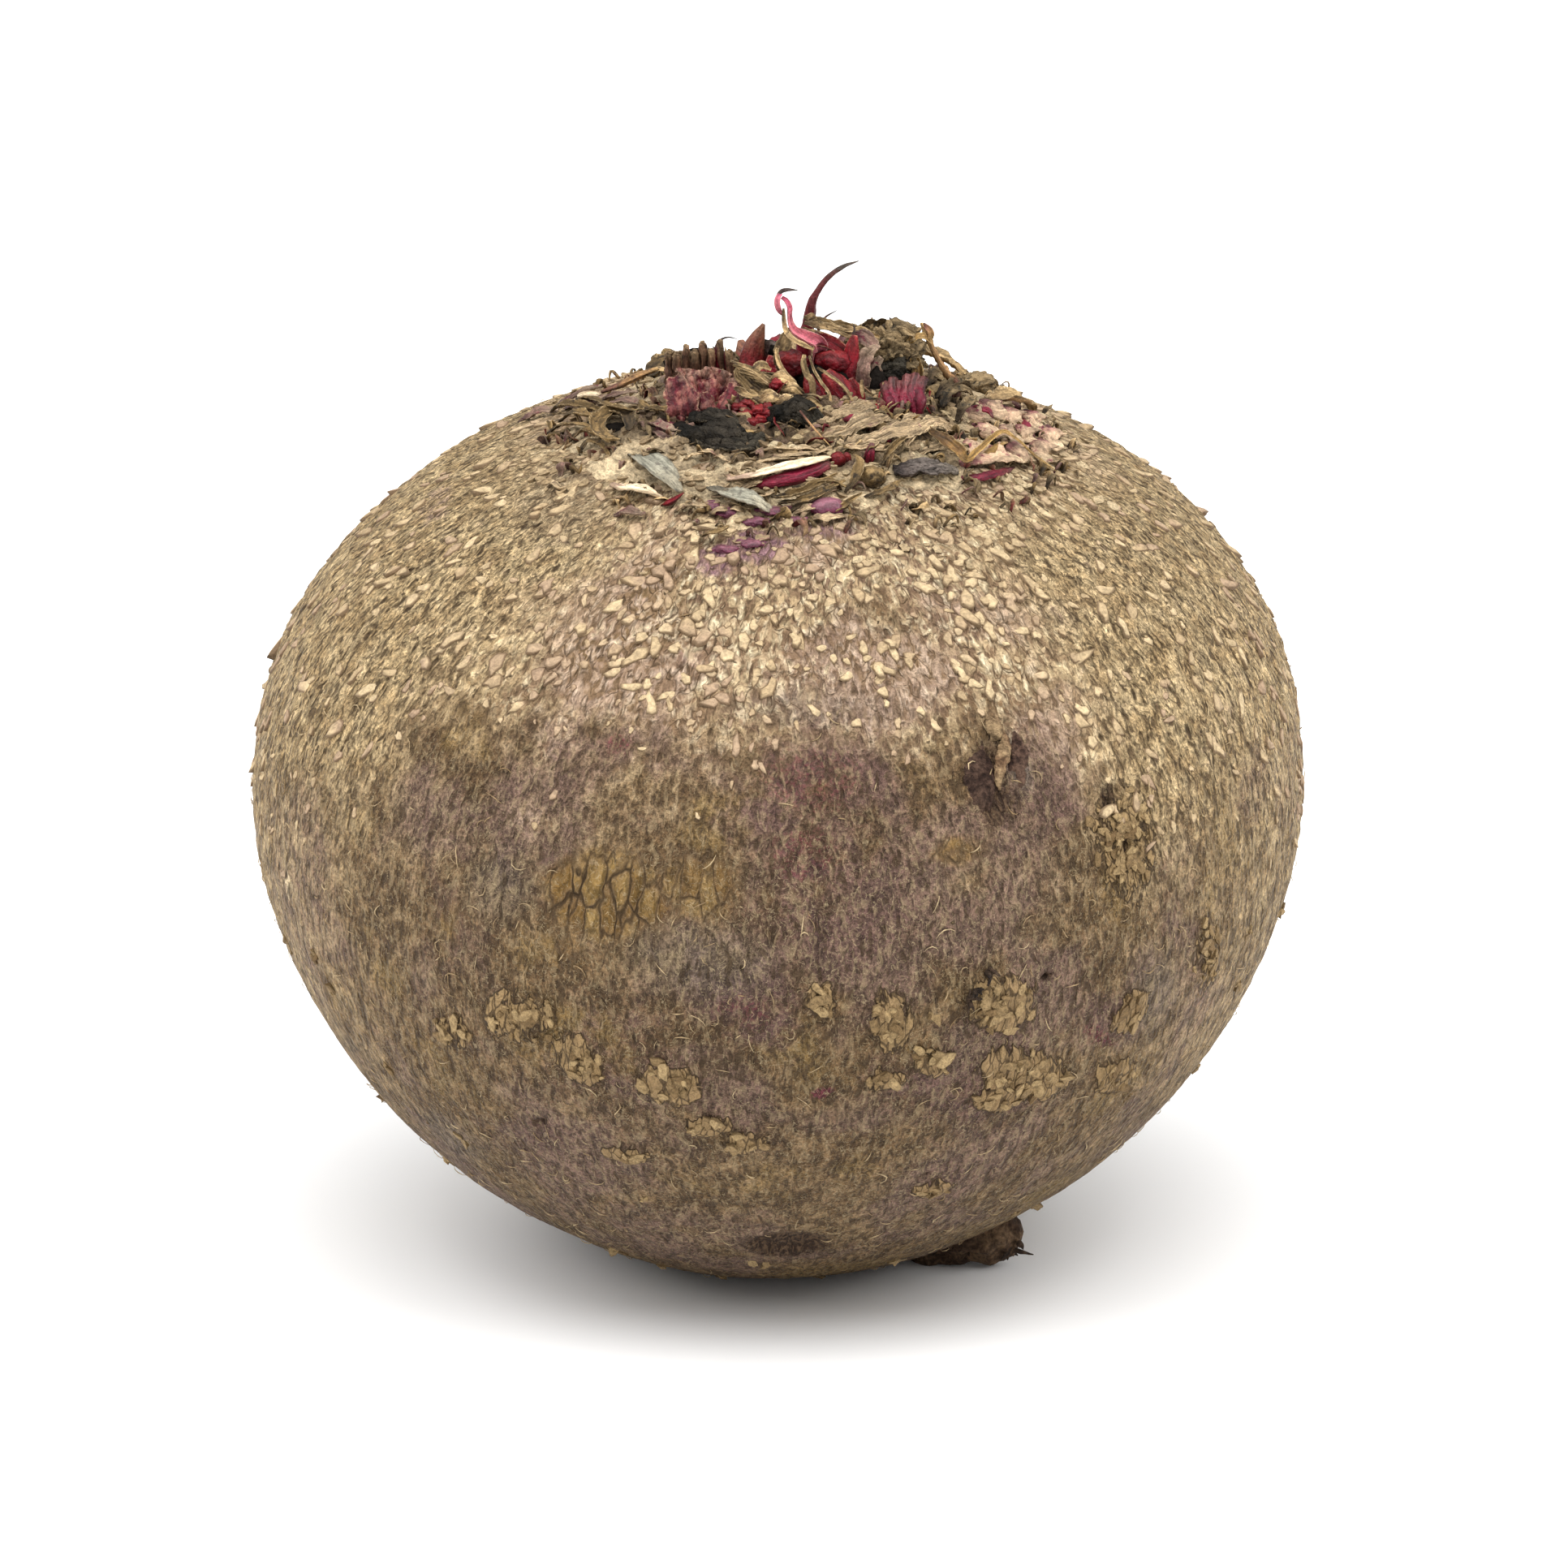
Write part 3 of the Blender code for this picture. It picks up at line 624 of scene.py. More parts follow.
def cube_sphere(count):
    """Unit directions and square faces of an evenly divided sphere."""
    t = np.tan(np.linspace(-1.0, 1.0, count + 1) * math.pi / 4.0)
    u, v = np.meshgrid(t, t, indexing="ij")
    one = np.ones_like(u)
    sides = ((u, v, one), (v, u, -one), (one, u, v), (-one, v, u), (v, one, u), (u, -one, v))
    points = np.concatenate([np.stack(s, -1).reshape(-1, 3) for s in sides])
    points /= np.linalg.norm(points, axis=1, keepdims=True)
    index = np.arange((count + 1) ** 2).reshape(count + 1, count + 1)
    quad = np.stack([index[:-1, :-1], index[1:, :-1], index[1:, 1:], index[:-1, 1:]], -1).reshape(-1, 4)
    faces = np.concatenate([quad + k * (count + 1) ** 2 for k in range(6)])
    keys = np.round(points * 1e5).astype(np.int64)
    _, first, back = np.unique(keys, axis=0, return_index=True, return_inverse=True)
    return points[first], back.reshape(-1)[faces]


SKIN_GRID = 128


def skin_normal(directions):
    """Outward directions of the root's skin in root axes."""
    helper = np.where(np.abs(directions[:, 2:3]) < 0.9, np.array([[0.0, 0.0, 1.0]]), np.array([[1.0, 0.0, 0.0]]))
    one = np.cross(directions, helper)
    one /= np.linalg.norm(one, axis=1, keepdims=True)
    two = np.cross(directions, one)
    step = 1e-3
    first = root_skin(unit(directions + step * one)) - root_skin(unit(directions - step * one))
    second = root_skin(unit(directions + step * two)) - root_skin(unit(directions - step * two))
    n = unit(np.cross(first, second))
    return n * np.sign(np.sum(n * directions, 1, keepdims=True))


def unit(vectors):
    return vectors / np.maximum(1e-12, np.linalg.norm(vectors, axis=-1, keepdims=True))


# Millimetres of pattern for each radian of a meridian
MERIDIAN_SCALE = 22.0


def skin_grain(directions, skin):
    """Coordinates for patterns that are drawn out along the meridians."""
    reach = np.maximum(1e-6, np.hypot(skin[:, 0], skin[:, 1]))
    spread = np.sqrt(reach * EQUATOR_RADIUS)
    along = np.arcsin(np.clip(directions[:, 2], -1, 1)) * MERIDIAN_SCALE
    return np.stack([spread * skin[:, 0] / reach, spread * skin[:, 1] / reach, along], -1)


def skin_fields(directions, skin):
    """How corky, woolly, mauve and so on the skin is at each direction."""
    level = directions[:, 2]
    angle = np.arctan2(directions[:, 1], directions[:, 0])
    side = np.abs(np.cos(angle))
    drift = rough_noise(skin / 9.0, 3, 5)
    cork = smooth(0.34, 0.95, level + 0.32 * drift + 0.55 * side ** 2)
    cork = np.maximum(cork, 0.8 * smooth(-0.75, -0.25, level + 0.2 * drift) * side ** 4)
    wool = smooth(0.55, 0.30, level + 0.1 * drift) * smooth(-0.9, -0.6, level + 0.1 * drift)
    blotch = rough_noise(skin / 13.0 + 40.0, 4, 9)
    hidden = smooth(-0.05, 0.25, directions[:, 1])
    fields = {
        "cork": cork,
        "wool": wool,
        "flank": smooth(0.45, 0.80, side + 0.12 * drift) * smooth(0.97, 0.80, level),
        "mauve": mark_field(directions, skin, MAUVE_MARKS),
        "crimson": mark_field(directions, skin, CRIMSON_MARKS),
        "yellow": mark_field(directions, skin, YELLOW_MARKS),
        "grey": mark_field(directions, skin, GREY_MARKS),
        "pale": mark_field(directions, skin, PALE_SHEEN_MARKS),
        "dark": mark_field(directions, skin, DARK_MARKS),
        "scab": 1.15 * mark_field(directions, skin, WIDE_SCABS),
    }
    blush = smooth(0.1, 0.5, blotch) * smooth(0.45, -0.1, level) * (0.35 + 0.65 * hidden)
    fields["mauve"] = np.maximum(fields["mauve"], blush)
    patches = rough_noise(skin / 4.2 + 7.0, 3, 31)
    hidden_scabs = smooth(0.42, 0.62, patches) * smooth(0.3, -0.2, level) * hidden
    fields["scab"] = np.maximum(fields["scab"], hidden_scabs)
    return fields


def skin_height(directions, skin, grain, fields):
    """Millimetres that the skin stands out from the plain body."""
    level = directions[:, 2]
    lift = 0.30 * rough_noise(skin / 16.0 + 3.0, 3, 2)
    lift += 0.12 * rough_noise(skin / 4.0, 3, 4)
    near, next_near, mark = cell_noise(grain / 1.5, 6)
    lift += 0.13 * fields["cork"] * (smooth(0.0, 0.5, next_near - near) - 0.5) * (0.5 + mark)
    lift += 0.35 * smooth(0.35, 0.8, fields["scab"] + 0.25 * rough_noise(skin / 1.1, 2, 8))
    lift -= 0.7 * smooth(0.6, 1.0, fields["dark"]) * smooth(-0.9, -0.7, level)
    return lift


def build_skin():
    """The root's skin: one closed mesh with lumps, scabs, dents and scars."""
    directions, faces = cube_sphere(SKIN_GRID)
    skin = root_skin(directions)
    grain = skin_grain(directions, skin)
    fields = skin_fields(directions, skin)
    lift = skin_height(directions, skin, grain, fields)
    lift += 0.06 * (lattice(np.round(skin * 7.0), 3) - 0.5)
    fields["grain"] = grain
    world = to_world(skin + skin_normal(directions) * lift[:, None])
    world[:, 2] = np.maximum(world[:, 2], 0.0)
    corner = world[faces]
    facing = np.cross(corner[:, 2] - corner[:, 0], corner[:, 3] - corner[:, 1])
    outward = np.sum(facing * (corner.mean(1) - BODY_CENTRE), 1) > 0
    faces = np.where(outward[:, None], faces, faces[:, ::-1])
    return new_object("root_skin", world, faces, skin_material(),
                      attributes=fields, replaced=("beet_root",))


class Skin:
    """Places on the finished skin, for the pieces that stand on it."""

    def __init__(self, directions):
        self.directions = unit(directions)
        root = root_skin(self.directions)
        self.fields = skin_fields(self.directions, root)
        lift = skin_height(self.directions, root, skin_grain(self.directions, root), self.fields)
        normal = skin_normal(self.directions)
        self.points = to_world(root + normal * lift[:, None])
        self.normals = normal @ LEAN.T
        up = LEAN @ np.array([0.0, 0.0, 1.0])
        self.up = unit(up - self.normals * (self.normals @ up)[:, None])
        self.side = np.cross(self.up, self.normals)
        self.root = root

    def keep(self, chosen):
        """Leaves only the chosen places."""
        for name in ("directions", "points", "normals", "up", "side", "root"):
            setattr(self, name, getattr(self, name)[chosen])
        self.fields = {name: values[chosen] for name, values in self.fields.items()}
        return self


# Radii that turn millimetres on the skin into shares of a unit direction
MEAN_RADIUS = 41.0
SPOT_RADIUS = 42.0


def even_directions(spacing, seed, jitter=0.42):
    """Directions spread evenly over the skin, then jolted."""
    rng = np.random.default_rng(seed)
    count = int(4.0 * math.pi * MEAN_RADIUS ** 2 / spacing ** 2)
    k = np.arange(count) + 0.5
    z = 1.0 - 2.0 * k / count
    turn = math.pi * (1.0 + math.sqrt(5.0)) * k
    ring = np.sqrt(1.0 - z * z)
    points = np.stack([ring * np.cos(turn), ring * np.sin(turn), z], -1)
    return unit(points + rng.normal(size=points.shape) * jitter * spacing / MEAN_RADIUS)


# Stands for the distance of every place that isn't on the crown
FAR_AWAY = 99.0


def crown_distance(root):
    """Millimetres from the crown's middle, across the root's axis."""
    return np.where(root[:, 2] > 0, np.hypot(root[:, 0] - CROWN_MIDDLE, root[:, 1]), FAR_AWAY)


def flakes(skin, half_width, half_length, lift, tilt, turn, seed, sides=7, sink=0.25):
    """Small closed plates lying on the skin; the lower edge of each is lifted by its tilt."""
    rng = np.random.default_rng(seed)
    count = len(skin.points)
    c, s = np.cos(turn)[:, None], np.sin(turn)[:, None]
    along = skin.up * c + skin.side * s
    aside = skin.side * c - skin.up * s
    angle = (np.arange(sides) + rng.uniform(-0.32, 0.32, (count, sides))) * (2 * math.pi / sides)
    reach = rng.uniform(0.62, 1.12, (count, sides))
    u = np.cos(angle) * reach * half_width[:, None]
    v = np.sin(angle) * reach * half_length[:, None]
    rise = lift[:, None] * rng.uniform(0.3, 1.0, (count, sides)) - tilt[:, None] * v
    top = skin.points[:, None] + aside[:, None] * u[..., None] + along[:, None] * v[..., None]
    rim = top + skin.normals[:, None] * rise[..., None]
    foot = skin.points[:, None] + (top - skin.points[:, None]) * 0.8 - skin.normals[:, None] * sink
    middle = skin.points + skin.normals * (lift * rng.uniform(0.8, 1.5, count))[:, None]
    bottom = skin.points - skin.normals * (sink * 1.3)
    points = np.concatenate([middle[:, None], rim, foot, bottom[:, None]], 1)
    per = 2 * sides + 2
    faces = []
    for k in range(sides):
        j = (k + 1) % sides
        faces += [(0, 1 + k, 1 + j), (1 + k, 1 + sides + k, 1 + sides + j), (1 + k, 1 + sides + j, 1 + j)]
        faces += [(per - 1, 1 + sides + j, 1 + sides + k)]
    faces = np.array(faces)[None] + (np.arange(count) * per)[:, None, None]
    tone = np.repeat(rng.uniform(0.0, 1.0, count), per)
    edge = np.tile(np.array([0.0] + [1.0] * sides + [1.0] * sides + [1.0]), count)
    return points.reshape(-1, 3), faces.reshape(-1, 3), {"tone": tone, "edge": edge}


def scale_material():
    """Dry cork scale: cream to tan, darker at its rim: partly the broken edge's own colour, partly painted shade
    where the scale meets the skin.
    """
    g = Graph("cork_scale")
    at = g.place()
    tone = g.value("tone")
    fine = g.noise(at, 2.6, 4.0, 0.7)
    broad = g.noise(at, 0.13, 2.0)
    base = g.mix(tone, (0.39, 0.28, 0.158), (0.57, 0.435, 0.257))
    base = g.lay(base, g.band(broad, 0.46, 0.60), 0.7, (0.33, 0.22, 0.15))
    base = g.dapple(base, g.band(fine, 0.3, 0.7), 0.55, 0.72)
    # Darker rim and underside: partly broken edge, partly painted shade
    edge = g.times(g.band(g.add(g.value("edge"), g.minus(fine, 0.5)), 0.40, 0.95), 0.8)
    base = g.mix(edge, base, (0.135, 0.083, 0.045))
    return g.finish(base, 0.6, g.bump(g.noise(at, 1.3, 3.0), 0.4), specular=0.14)


def pillows(skin, half_width, half_length, height, tilt, turn, seed, sides=8):
    """Rounded scales on the skin; the lower edge of each is lifted by its tilt."""
    rng = np.random.default_rng(seed)
    count = len(skin.points)
    c, s = np.cos(turn)[:, None], np.sin(turn)[:, None]
    along = skin.up * c + skin.side * s
    aside = skin.side * c - skin.up * s
    angle = (np.arange(sides) * (2 * math.pi / sides))[None] + rng.uniform(0.0, 1.0, (count, 1))
    reach = 1.0 + 0.24 * np.cos(2 * angle + rng.uniform(0.0, 6.3, (count, 1)))
    reach = reach + 0.20 * np.cos(3 * angle + rng.uniform(0.0, 6.3, (count, 1)))
    reach = reach + rng.uniform(-0.15, 0.15, (count, sides))
    rings = []
    for share, rise in ((0.55, 0.86), (0.93, 0.30), (0.90, -0.9)):
        u = np.cos(angle) * reach * half_width[:, None] * share
        v = np.sin(angle) * reach * half_length[:, None] * share
        high = height[:, None] * rise - (tilt[:, None] * v if rise > 0 else 0.3)
        rings.append(skin.points[:, None] + aside[:, None] * u[..., None] + along[:, None] * v[..., None]
                     + skin.normals[:, None] * high[..., None])
    top = skin.points + skin.normals * height[:, None]
    bottom = skin.points - skin.normals * 0.6
    points = np.concatenate([top[:, None], *rings, bottom[:, None]], 1)
    per = 3 * sides + 2
    faces = []
    for k in range(sides):
        j = (k + 1) % sides
        faces += [(0, 1 + k, 1 + j), (per - 1, 1 + 2 * sides + j, 1 + 2 * sides + k)]
        for first in (1, 1 + sides):
            a, b, c, d = first + k, first + j, first + sides + j, first + sides + k
            faces += [(a, d, c), (a, c, b)]
    faces = np.array(faces)[None] + (np.arange(count) * per)[:, None, None]
    tone = np.repeat(rng.uniform(0.0, 1.0, count), per)
    # edge: 0 on top, 1 round the rim and underside, where the scale's material paints shade
    edge = np.tile(np.array([0.0] + [0.25] * sides + [1.0] * (2 * sides + 1)), count)
    return points.reshape(-1, 3), faces.reshape(-1, 3), {"tone": tone, "edge": edge}


def build_scales():
    """Cork scales of the upper half, thinner towards the middle."""
    rng = np.random.default_rng(101)
    skin = Skin(even_directions(1.25, 7, 0.40))
    patch = rough_noise(skin.root / 3.5, 3, 77)
    share = smooth(0.12, 0.95, skin.fields["cork"]) * (1.0 - 0.75 * skin.fields["flank"]) * smooth(-0.75, 0.1, patch)
    chosen = (rng.uniform(size=len(share)) < share * 0.85) & (crown_distance(skin.root) > 17.0)
    skin.keep(chosen & (skin.directions[:, 2] > 0.0))
    count = len(skin.points)
    size = rng.uniform(0.5, 1.25, count) * (0.6 + 0.4 * smooth(0.3, 0.9, skin.fields["cork"]))
    points, faces, attributes = pillows(
        skin, 0.52 * size, 0.74 * size * rng.uniform(0.8, 1.6, count),
        0.03 + 0.15 * size * rng.uniform(0.4, 1.2, count),
        rng.normal(0.15, 0.13, count), rng.normal(0.0, 0.6, count), 11)
    return new_object("cork_scales", points, faces, scale_material(), True, attributes)


def clusters(spots, spacing, seed):
    """Skin directions scattered over round spots given as direction, half width and half height in millimetres."""
    rng = np.random.default_rng(seed)
    gathered = []
    for middle, half_width, half_height, turn in spots:
        side = unit(np.array([-middle[1], middle[0], 1e-9]))
        up = np.cross(middle, side)
        count = max(3, int(math.pi * half_width * half_height / spacing ** 2))
        reach = np.sqrt(rng.uniform(0.0, 1.0, count)) * rng.uniform(0.6, 1.4, count)
        angle = rng.uniform(0.0, 2 * math.pi, count)
        u, v = reach * np.cos(angle) * half_width, reach * np.sin(angle) * half_height
        c, s = math.cos(turn), math.sin(turn)
        u, v = u * c - v * s, u * s + v * c
        gathered.append(middle + (side * u[:, None] + up * v[:, None]) / SPOT_RADIUS)
    return np.concatenate(gathered)


SCAB_TRIES = 150


def scab_spots():
    """Places of the cork scabs: those of the photo and more on the hidden sides."""
    spots = []
    for x, y, half_width, half_height, turn, _ in SCAB_MARKS:
        spots.append((photo_direction(x, y), 1.15 * half_width, 1.15 * half_height, math.radians(turn)))
    rng = np.random.default_rng(701)
    for _ in range(SCAB_TRIES):
        way = unit(rng.normal(size=3))
        hidden = way[1] > -0.1 and -0.85 < way[2] < 0.25
        front = way[1] <= -0.1 and -0.85 < way[2] < 0.05
        if hidden and rng.uniform() < 0.75:
            spots.append((way, rng.uniform(0.5, 1.9), rng.uniform(0.4, 1.2), rng.uniform(-0.8, 0.8)))
        elif front:
            spots.append((way, rng.uniform(0.4, 1.1), rng.uniform(0.3, 0.8), rng.uniform(-0.8, 0.8)))
    return spots


def build_scabs():
    """Raised flaky cork scabs of the lower half."""
    skin = Skin(clusters(scab_spots(), 0.85, 703))
    rng = np.random.default_rng(705)
    count = len(skin.points)
    size = rng.uniform(0.3, 1.1, count)
    points, faces, attributes = flakes(
        skin, 0.50 * size, 0.85 * size, rng.uniform(0.05, 0.26, count), rng.normal(0.16, 0.30, count),
        rng.normal(0.0, 1.2, count), 707, sides=9)
    return new_object("cork_scabs", points, faces, scab_material(), False, attributes)


def scab_material():
    """Yellow-brown cork with dark broken rims."""
    g = Graph("cork_scab")
    at = g.place()
    fine = g.noise(at, 3.2, 4.0, 0.7)
    base = g.mix(g.value("tone"), (0.19, 0.118, 0.052), (0.45, 0.315, 0.155))
    base = g.dapple(base, g.band(fine, 0.3, 0.7), 0.7, 0.6)
    edge = g.times(g.band(g.add(g.value("edge"), g.minus(fine, 0.5)), 0.8, 1.2), 0.8)
    base = g.mix(edge, base, (0.075, 0.045, 0.02))
    return g.finish(base, 0.65, g.bump(fine, 0.4), specular=0.14)


def build_fibres():
    """Thin tan fibres that lie curled on the woolly middle of the root."""
    rng = np.random.default_rng(801)
    skin = Skin(even_directions(1.85, 803, 0.5))
    patch = rough_noise(skin.root / 6.0 + 3.0, 3, 805)
    share = 0.06 + 0.60 * skin.fields["wool"] * smooth(-0.3, 0.5, patch)
    share = share * smooth(19.0, 24.0, crown_distance(skin.root)) * smooth(-0.96, -0.85, skin.directions[:, 2])
    skin.keep(rng.uniform(size=len(share)) < share)
    count, steps = len(skin.points), 5
    t = np.linspace(-1.0, 1.0, steps)[None]
    length = rng.uniform(0.25, 1.0, count)[:, None]
    turn = rng.uniform(0.0, 2 * math.pi, count)[:, None] + t * rng.normal(0.0, 0.35, count)[:, None]
    bend = rng.normal(0.0, 0.45, count)[:, None]
    u = t * length
    v = bend * length * (t * t - 0.4)
    aside = skin.side[:, None] * (u * np.cos(turn) - v * np.sin(turn))[..., None]
    along = skin.up[:, None] * (u * np.sin(turn) + v * np.cos(turn))[..., None]
    arch = rng.uniform(0.03, 0.22, count)[:, None]
    high = 0.05 + arch * (1 - t * t) - 0.12 * np.abs(t) ** 4
    path = skin.points[:, None] + aside + along + skin.normals[:, None] * high[..., None]
    way = unit(np.gradient(path, axis=1))
    across = np.cross(way, skin.normals[:, None])
    radius = rng.uniform(0.025, 0.050, count)[:, None, None] * (1.15 - 0.7 * np.abs(t))[..., None]
    rim = np.stack([path + skin.normals[:, None] * radius,
                    path - across * radius * 1.2 - skin.normals[:, None] * radius * 0.6,
                    path + across * radius * 1.2 - skin.normals[:, None] * radius * 0.6], 2)
    faces = []
    for i in range(steps - 1):
        for j in range(3):
            k = (j + 1) % 3
            faces += [(i * 3 + j, i * 3 + k, (i + 1) * 3 + k), (i * 3 + j, (i + 1) * 3 + k, (i + 1) * 3 + j)]
    last = (steps - 1) * 3
    faces += [(0, 2, 1), (last, last + 1, last + 2)]
    per = steps * 3
    faces = np.array(faces)[None] + (np.arange(count) * per)[:, None, None]
    tone = np.repeat(rng.uniform(0.0, 1.0, count), per)
    g = Graph("skin_fibre")
    fine = g.noise(g.place(), 3.0, 2.0, 0.6)
    base = g.mix(g.value("tone"), (0.26, 0.17, 0.085), (0.50, 0.38, 0.22))
    base = g.dapple(base, g.band(fine, 0.3, 0.7), 0.5, 0.7)
    return new_object("skin_fibres", rim.reshape(-1, 3), faces.reshape(-1, 3), g.finish(base, 0.6, specular=0.15),
                      True, {"tone": tone})


TAPROOT_PATH = ((3.0, -0.5, 7.0), (6.5, -3.4, 4.6), (10.0, -6.0, 3.3), (13.4, -7.6, 2.8), (16.6, -8.3, 2.8),
                (19.4, -8.7, 3.0), (20.7, -8.9, 3.1))


def build_taproot():
    """What is left of the taproot, bent to the right under the root, with bits of dark rootlets."""
    s = Shape()
    stalk(s, np.array(TAPROOT_PATH), (3.2, 3.0, 2.7, 2.3, 2.0, 1.9, 1.0), sides=64, ribs=6, rib_depth=0.07,
          rough=0.3, steps=90, seed=901, tone=0.5)
    s.make("taproot_stub", scrape_material("taproot_bark", (0.075, 0.042, 0.025), (0.20, 0.125, 0.070)))
    s = Shape()
    rng = np.random.default_rng(903)
    for k in range(46):
        t = rng.uniform(0.25, 0.92)
        middle = resampled(np.array(TAPROOT_PATH), 40)[int(t * 39)]
        angle = rng.uniform(-2.9, -0.2)
        out = unit(np.array([0.25 * rng.normal(), -math.cos(angle) * 0.6 - 0.5, math.sin(angle) * 0.7]))
        start = middle + out * 1.7
        drift = rng.normal(size=3) * np.array([1.3, 0.5, 0.2])
        rows = np.array([middle + out * 1.2, start + 0.3 * drift, start + out * 0.5 + drift])
        rows[:, 2] = np.maximum(rows[:, 2], 0.18)
        stalk(s, rows, (0.32, 0.24, 0.05), sides=7, rough=0.4, steps=14, seed=905 + k, tone=rng.uniform(0.0, 1.0))
    for x, y in ((1413, 1406), (1409, 1411), (1383, 1432), (1367, 1446), (1371, 1443)):
        foot = photo_direction(x - 6, y - 5)
        base = to_world(root_skin(foot[None]))[0]
        out = skin_normal(foot[None])[0] @ LEAN.T
        for m in range(3):
            lean = rng.normal(size=3) * 0.5
            stalk(s, np.array([base - out * 0.3, base + out * 0.5 + lean * 0.3, base + out * 0.9 + lean * 0.9]),
                  (0.25, 0.2, 0.05), sides=7, rough=0.4, steps=12, seed=960 + m, tone=0.3)
    s.make("rootlets", scrape_material("rootlet", (0.035, 0.024, 0.018), (0.11, 0.07, 0.045)))


def scrape_material(name, low, high):
    """Rough bark between two colours."""
    g = Graph(name)
    at = g.place()
    fine = g.noise(at, 2.4, 4.0, 0.7)
    broad = g.noise(at, 0.6, 3.0, 0.6)
    base = g.mix(g.band(broad, 0.35, 0.65), low, high)
    base = g.dapple(base, g.band(fine, 0.3, 0.7), 0.8, 0.55)
    base = g.dapple(base, g.value("tone"), 0.5, 0.75)
    return g.finish(base, 0.65, g.bump(g.add(fine, g.times(broad, 0.6)), 0.8), specular=0.14)


def build_scar():
    """Healed wound right of the middle: dark torn skin, a tan ridge and a brown oval on top."""
    out = skin_normal(photo_direction(1225, 950)[None])[0] @ LEAN.T
    s = Shape()
    stalk(s, lying([(1234, 896, 0.1), (1237, 915, 0.3), (1234, 935, 0.4), (1230, 955, 0.3), (1233, 975, 0.0)]),
          (0.12, 0.4, 0.5, 0.35, 0.1), sides=18, flat=0.6, face=out, rough=0.35, steps=50, seed=1001, tone=0.9)
    stalk(s, lying([(1216, 884, 0.0), (1223, 892, 0.25), (1226, 904, 0.3), (1222, 914, 0.0)]),
          (0.15, 0.6, 0.55, 0.1), sides=18, flat=0.5, face=out, rough=0.3, steps=40, seed=1002, tone=0.4)
    s.make("scar_ridge", scrape_material("scar_cork", (0.15, 0.085, 0.045), (0.38, 0.26, 0.14)))
    s = Shape()
    sheet(s, lying([(1209, 920, -0.1), (1207, 945, 0.22), (1211, 975, 0.2), (1217, 1004, -0.1)]),
          (0.4, 1.1, 1.25, 0.4), out, thick=0.3, curl=-0.3, ruffle=0.4, fold=0.4, steps=44, across=16, seed=1003,
          tone=0.4)
    sheet(s, lying([(1250, 905, -0.1), (1256, 928, 0.2), (1254, 955, 0.2), (1246, 985, -0.1)]),
          (0.3, 0.75, 0.85, 0.3), out, thick=0.3, curl=-0.3, ruffle=0.4, fold=0.4, steps=44, across=16, seed=1004,
          tone=0.95)
    s.make("scar_skin", scrape_material("scar_brown", (0.040, 0.020, 0.014), (0.125, 0.073, 0.050)))


OUT = LEAN @ np.array([0.0, 0.0, 1.0])
FACING = unit(-LOOK + np.array([0.0, 0.0, 0.25]))
TILTED = unit(FACING + OUT)


def seen(rows):
    """World points for rows of photo pixel x, y and millimetres in front of the crown's middle."""
    rows = np.atleast_2d(np.asarray(rows, float))
    ray = LOOK + CAMERA_RIGHT * (rows[:, :1] - FRAME_PIXELS / 2) / FOCAL_PIXELS
    ray = ray - CAMERA_UP * (rows[:, 1:2] - FRAME_PIXELS / 2) / FOCAL_PIXELS
    start = to_root(CAMERA_PLACE)
    reach = (-rows[:, 2] - start[1]) / (ray @ LEAN)[:, 1]
    return CAMERA_PLACE + ray * reach[:, None]


def lying(rows):
    """World points for rows of photo pixel x, y and millimetres above the skin."""
    rows = np.atleast_2d(np.asarray(rows, float))
    lower = rows[:, 2] * 0.85 * FOCAL_PIXELS / CAMERA_DISTANCE
    directions = np.array([photo_direction(x, y + drop) for (x, y, _), drop in zip(rows, lower)])
    return to_world(root_skin(directions) + skin_normal(directions) * rows[:, 2:])


def crown_place(points):
    """Across and front of world points over the crown."""
    root = to_root(np.asarray(points, float))
    rise = np.clip(root[..., 2] / CROWN_RISE, 0.0, 1.0)
    return root[..., 0] - CROWN_SHIFT * rise ** 2 + CROWN_MIDDLE, -root[..., 1]


def rooted(points, depth=0.7):
    """A spine with one more point at its foot, under the skin."""
    across, front = crown_place(points[0])
    foot = crown_point(np.array([[across, front, -depth]]))
    return np.concatenate([foot, points])


def resampled(rows, count):
    """Smooth curve through rows of numbers, with count points."""
    rows = np.asarray(rows, float)
    if len(rows) == 2:
        t = np.linspace(0.0, 1.0, count)[:, None]
        return rows[0] * (1 - t) + rows[1] * t
    padded = np.concatenate([2 * rows[:1] - rows[1:2], rows, 2 * rows[-1:] - rows[-2:-1]])
    t = np.linspace(0.0, len(rows) - 1.0, count)
    k = np.minimum(t.astype(int), len(rows) - 2)
    f = (t - k)[:, None]
    a, b, c, d = padded[k], padded[k + 1], padded[k + 2], padded[k + 3]
    return 0.5 * (2 * b + (c - a) * f + (2 * a - 5 * b + 4 * c - d) * f * f + (3 * b - a - 3 * c + d) * f ** 3)


def wave(x, seed):
    """Smooth noise about 0 along one line."""
    x = np.asarray(x, float)
    return 2.0 * value_noise(np.stack([x, x * 0 + 3.7, x * 0 + 1.3], -1).reshape(-1, 3), seed).reshape(x.shape) - 1.0


def grid_noise(a, b, seed, octaves=3):
    """Layered noise about 0 over two grids of coordinates."""
    stacked = np.stack([a, b, a * 0 + 0.7], -1).reshape(-1, 3)
    return rough_noise(stacked, octaves, seed).reshape(a.shape)


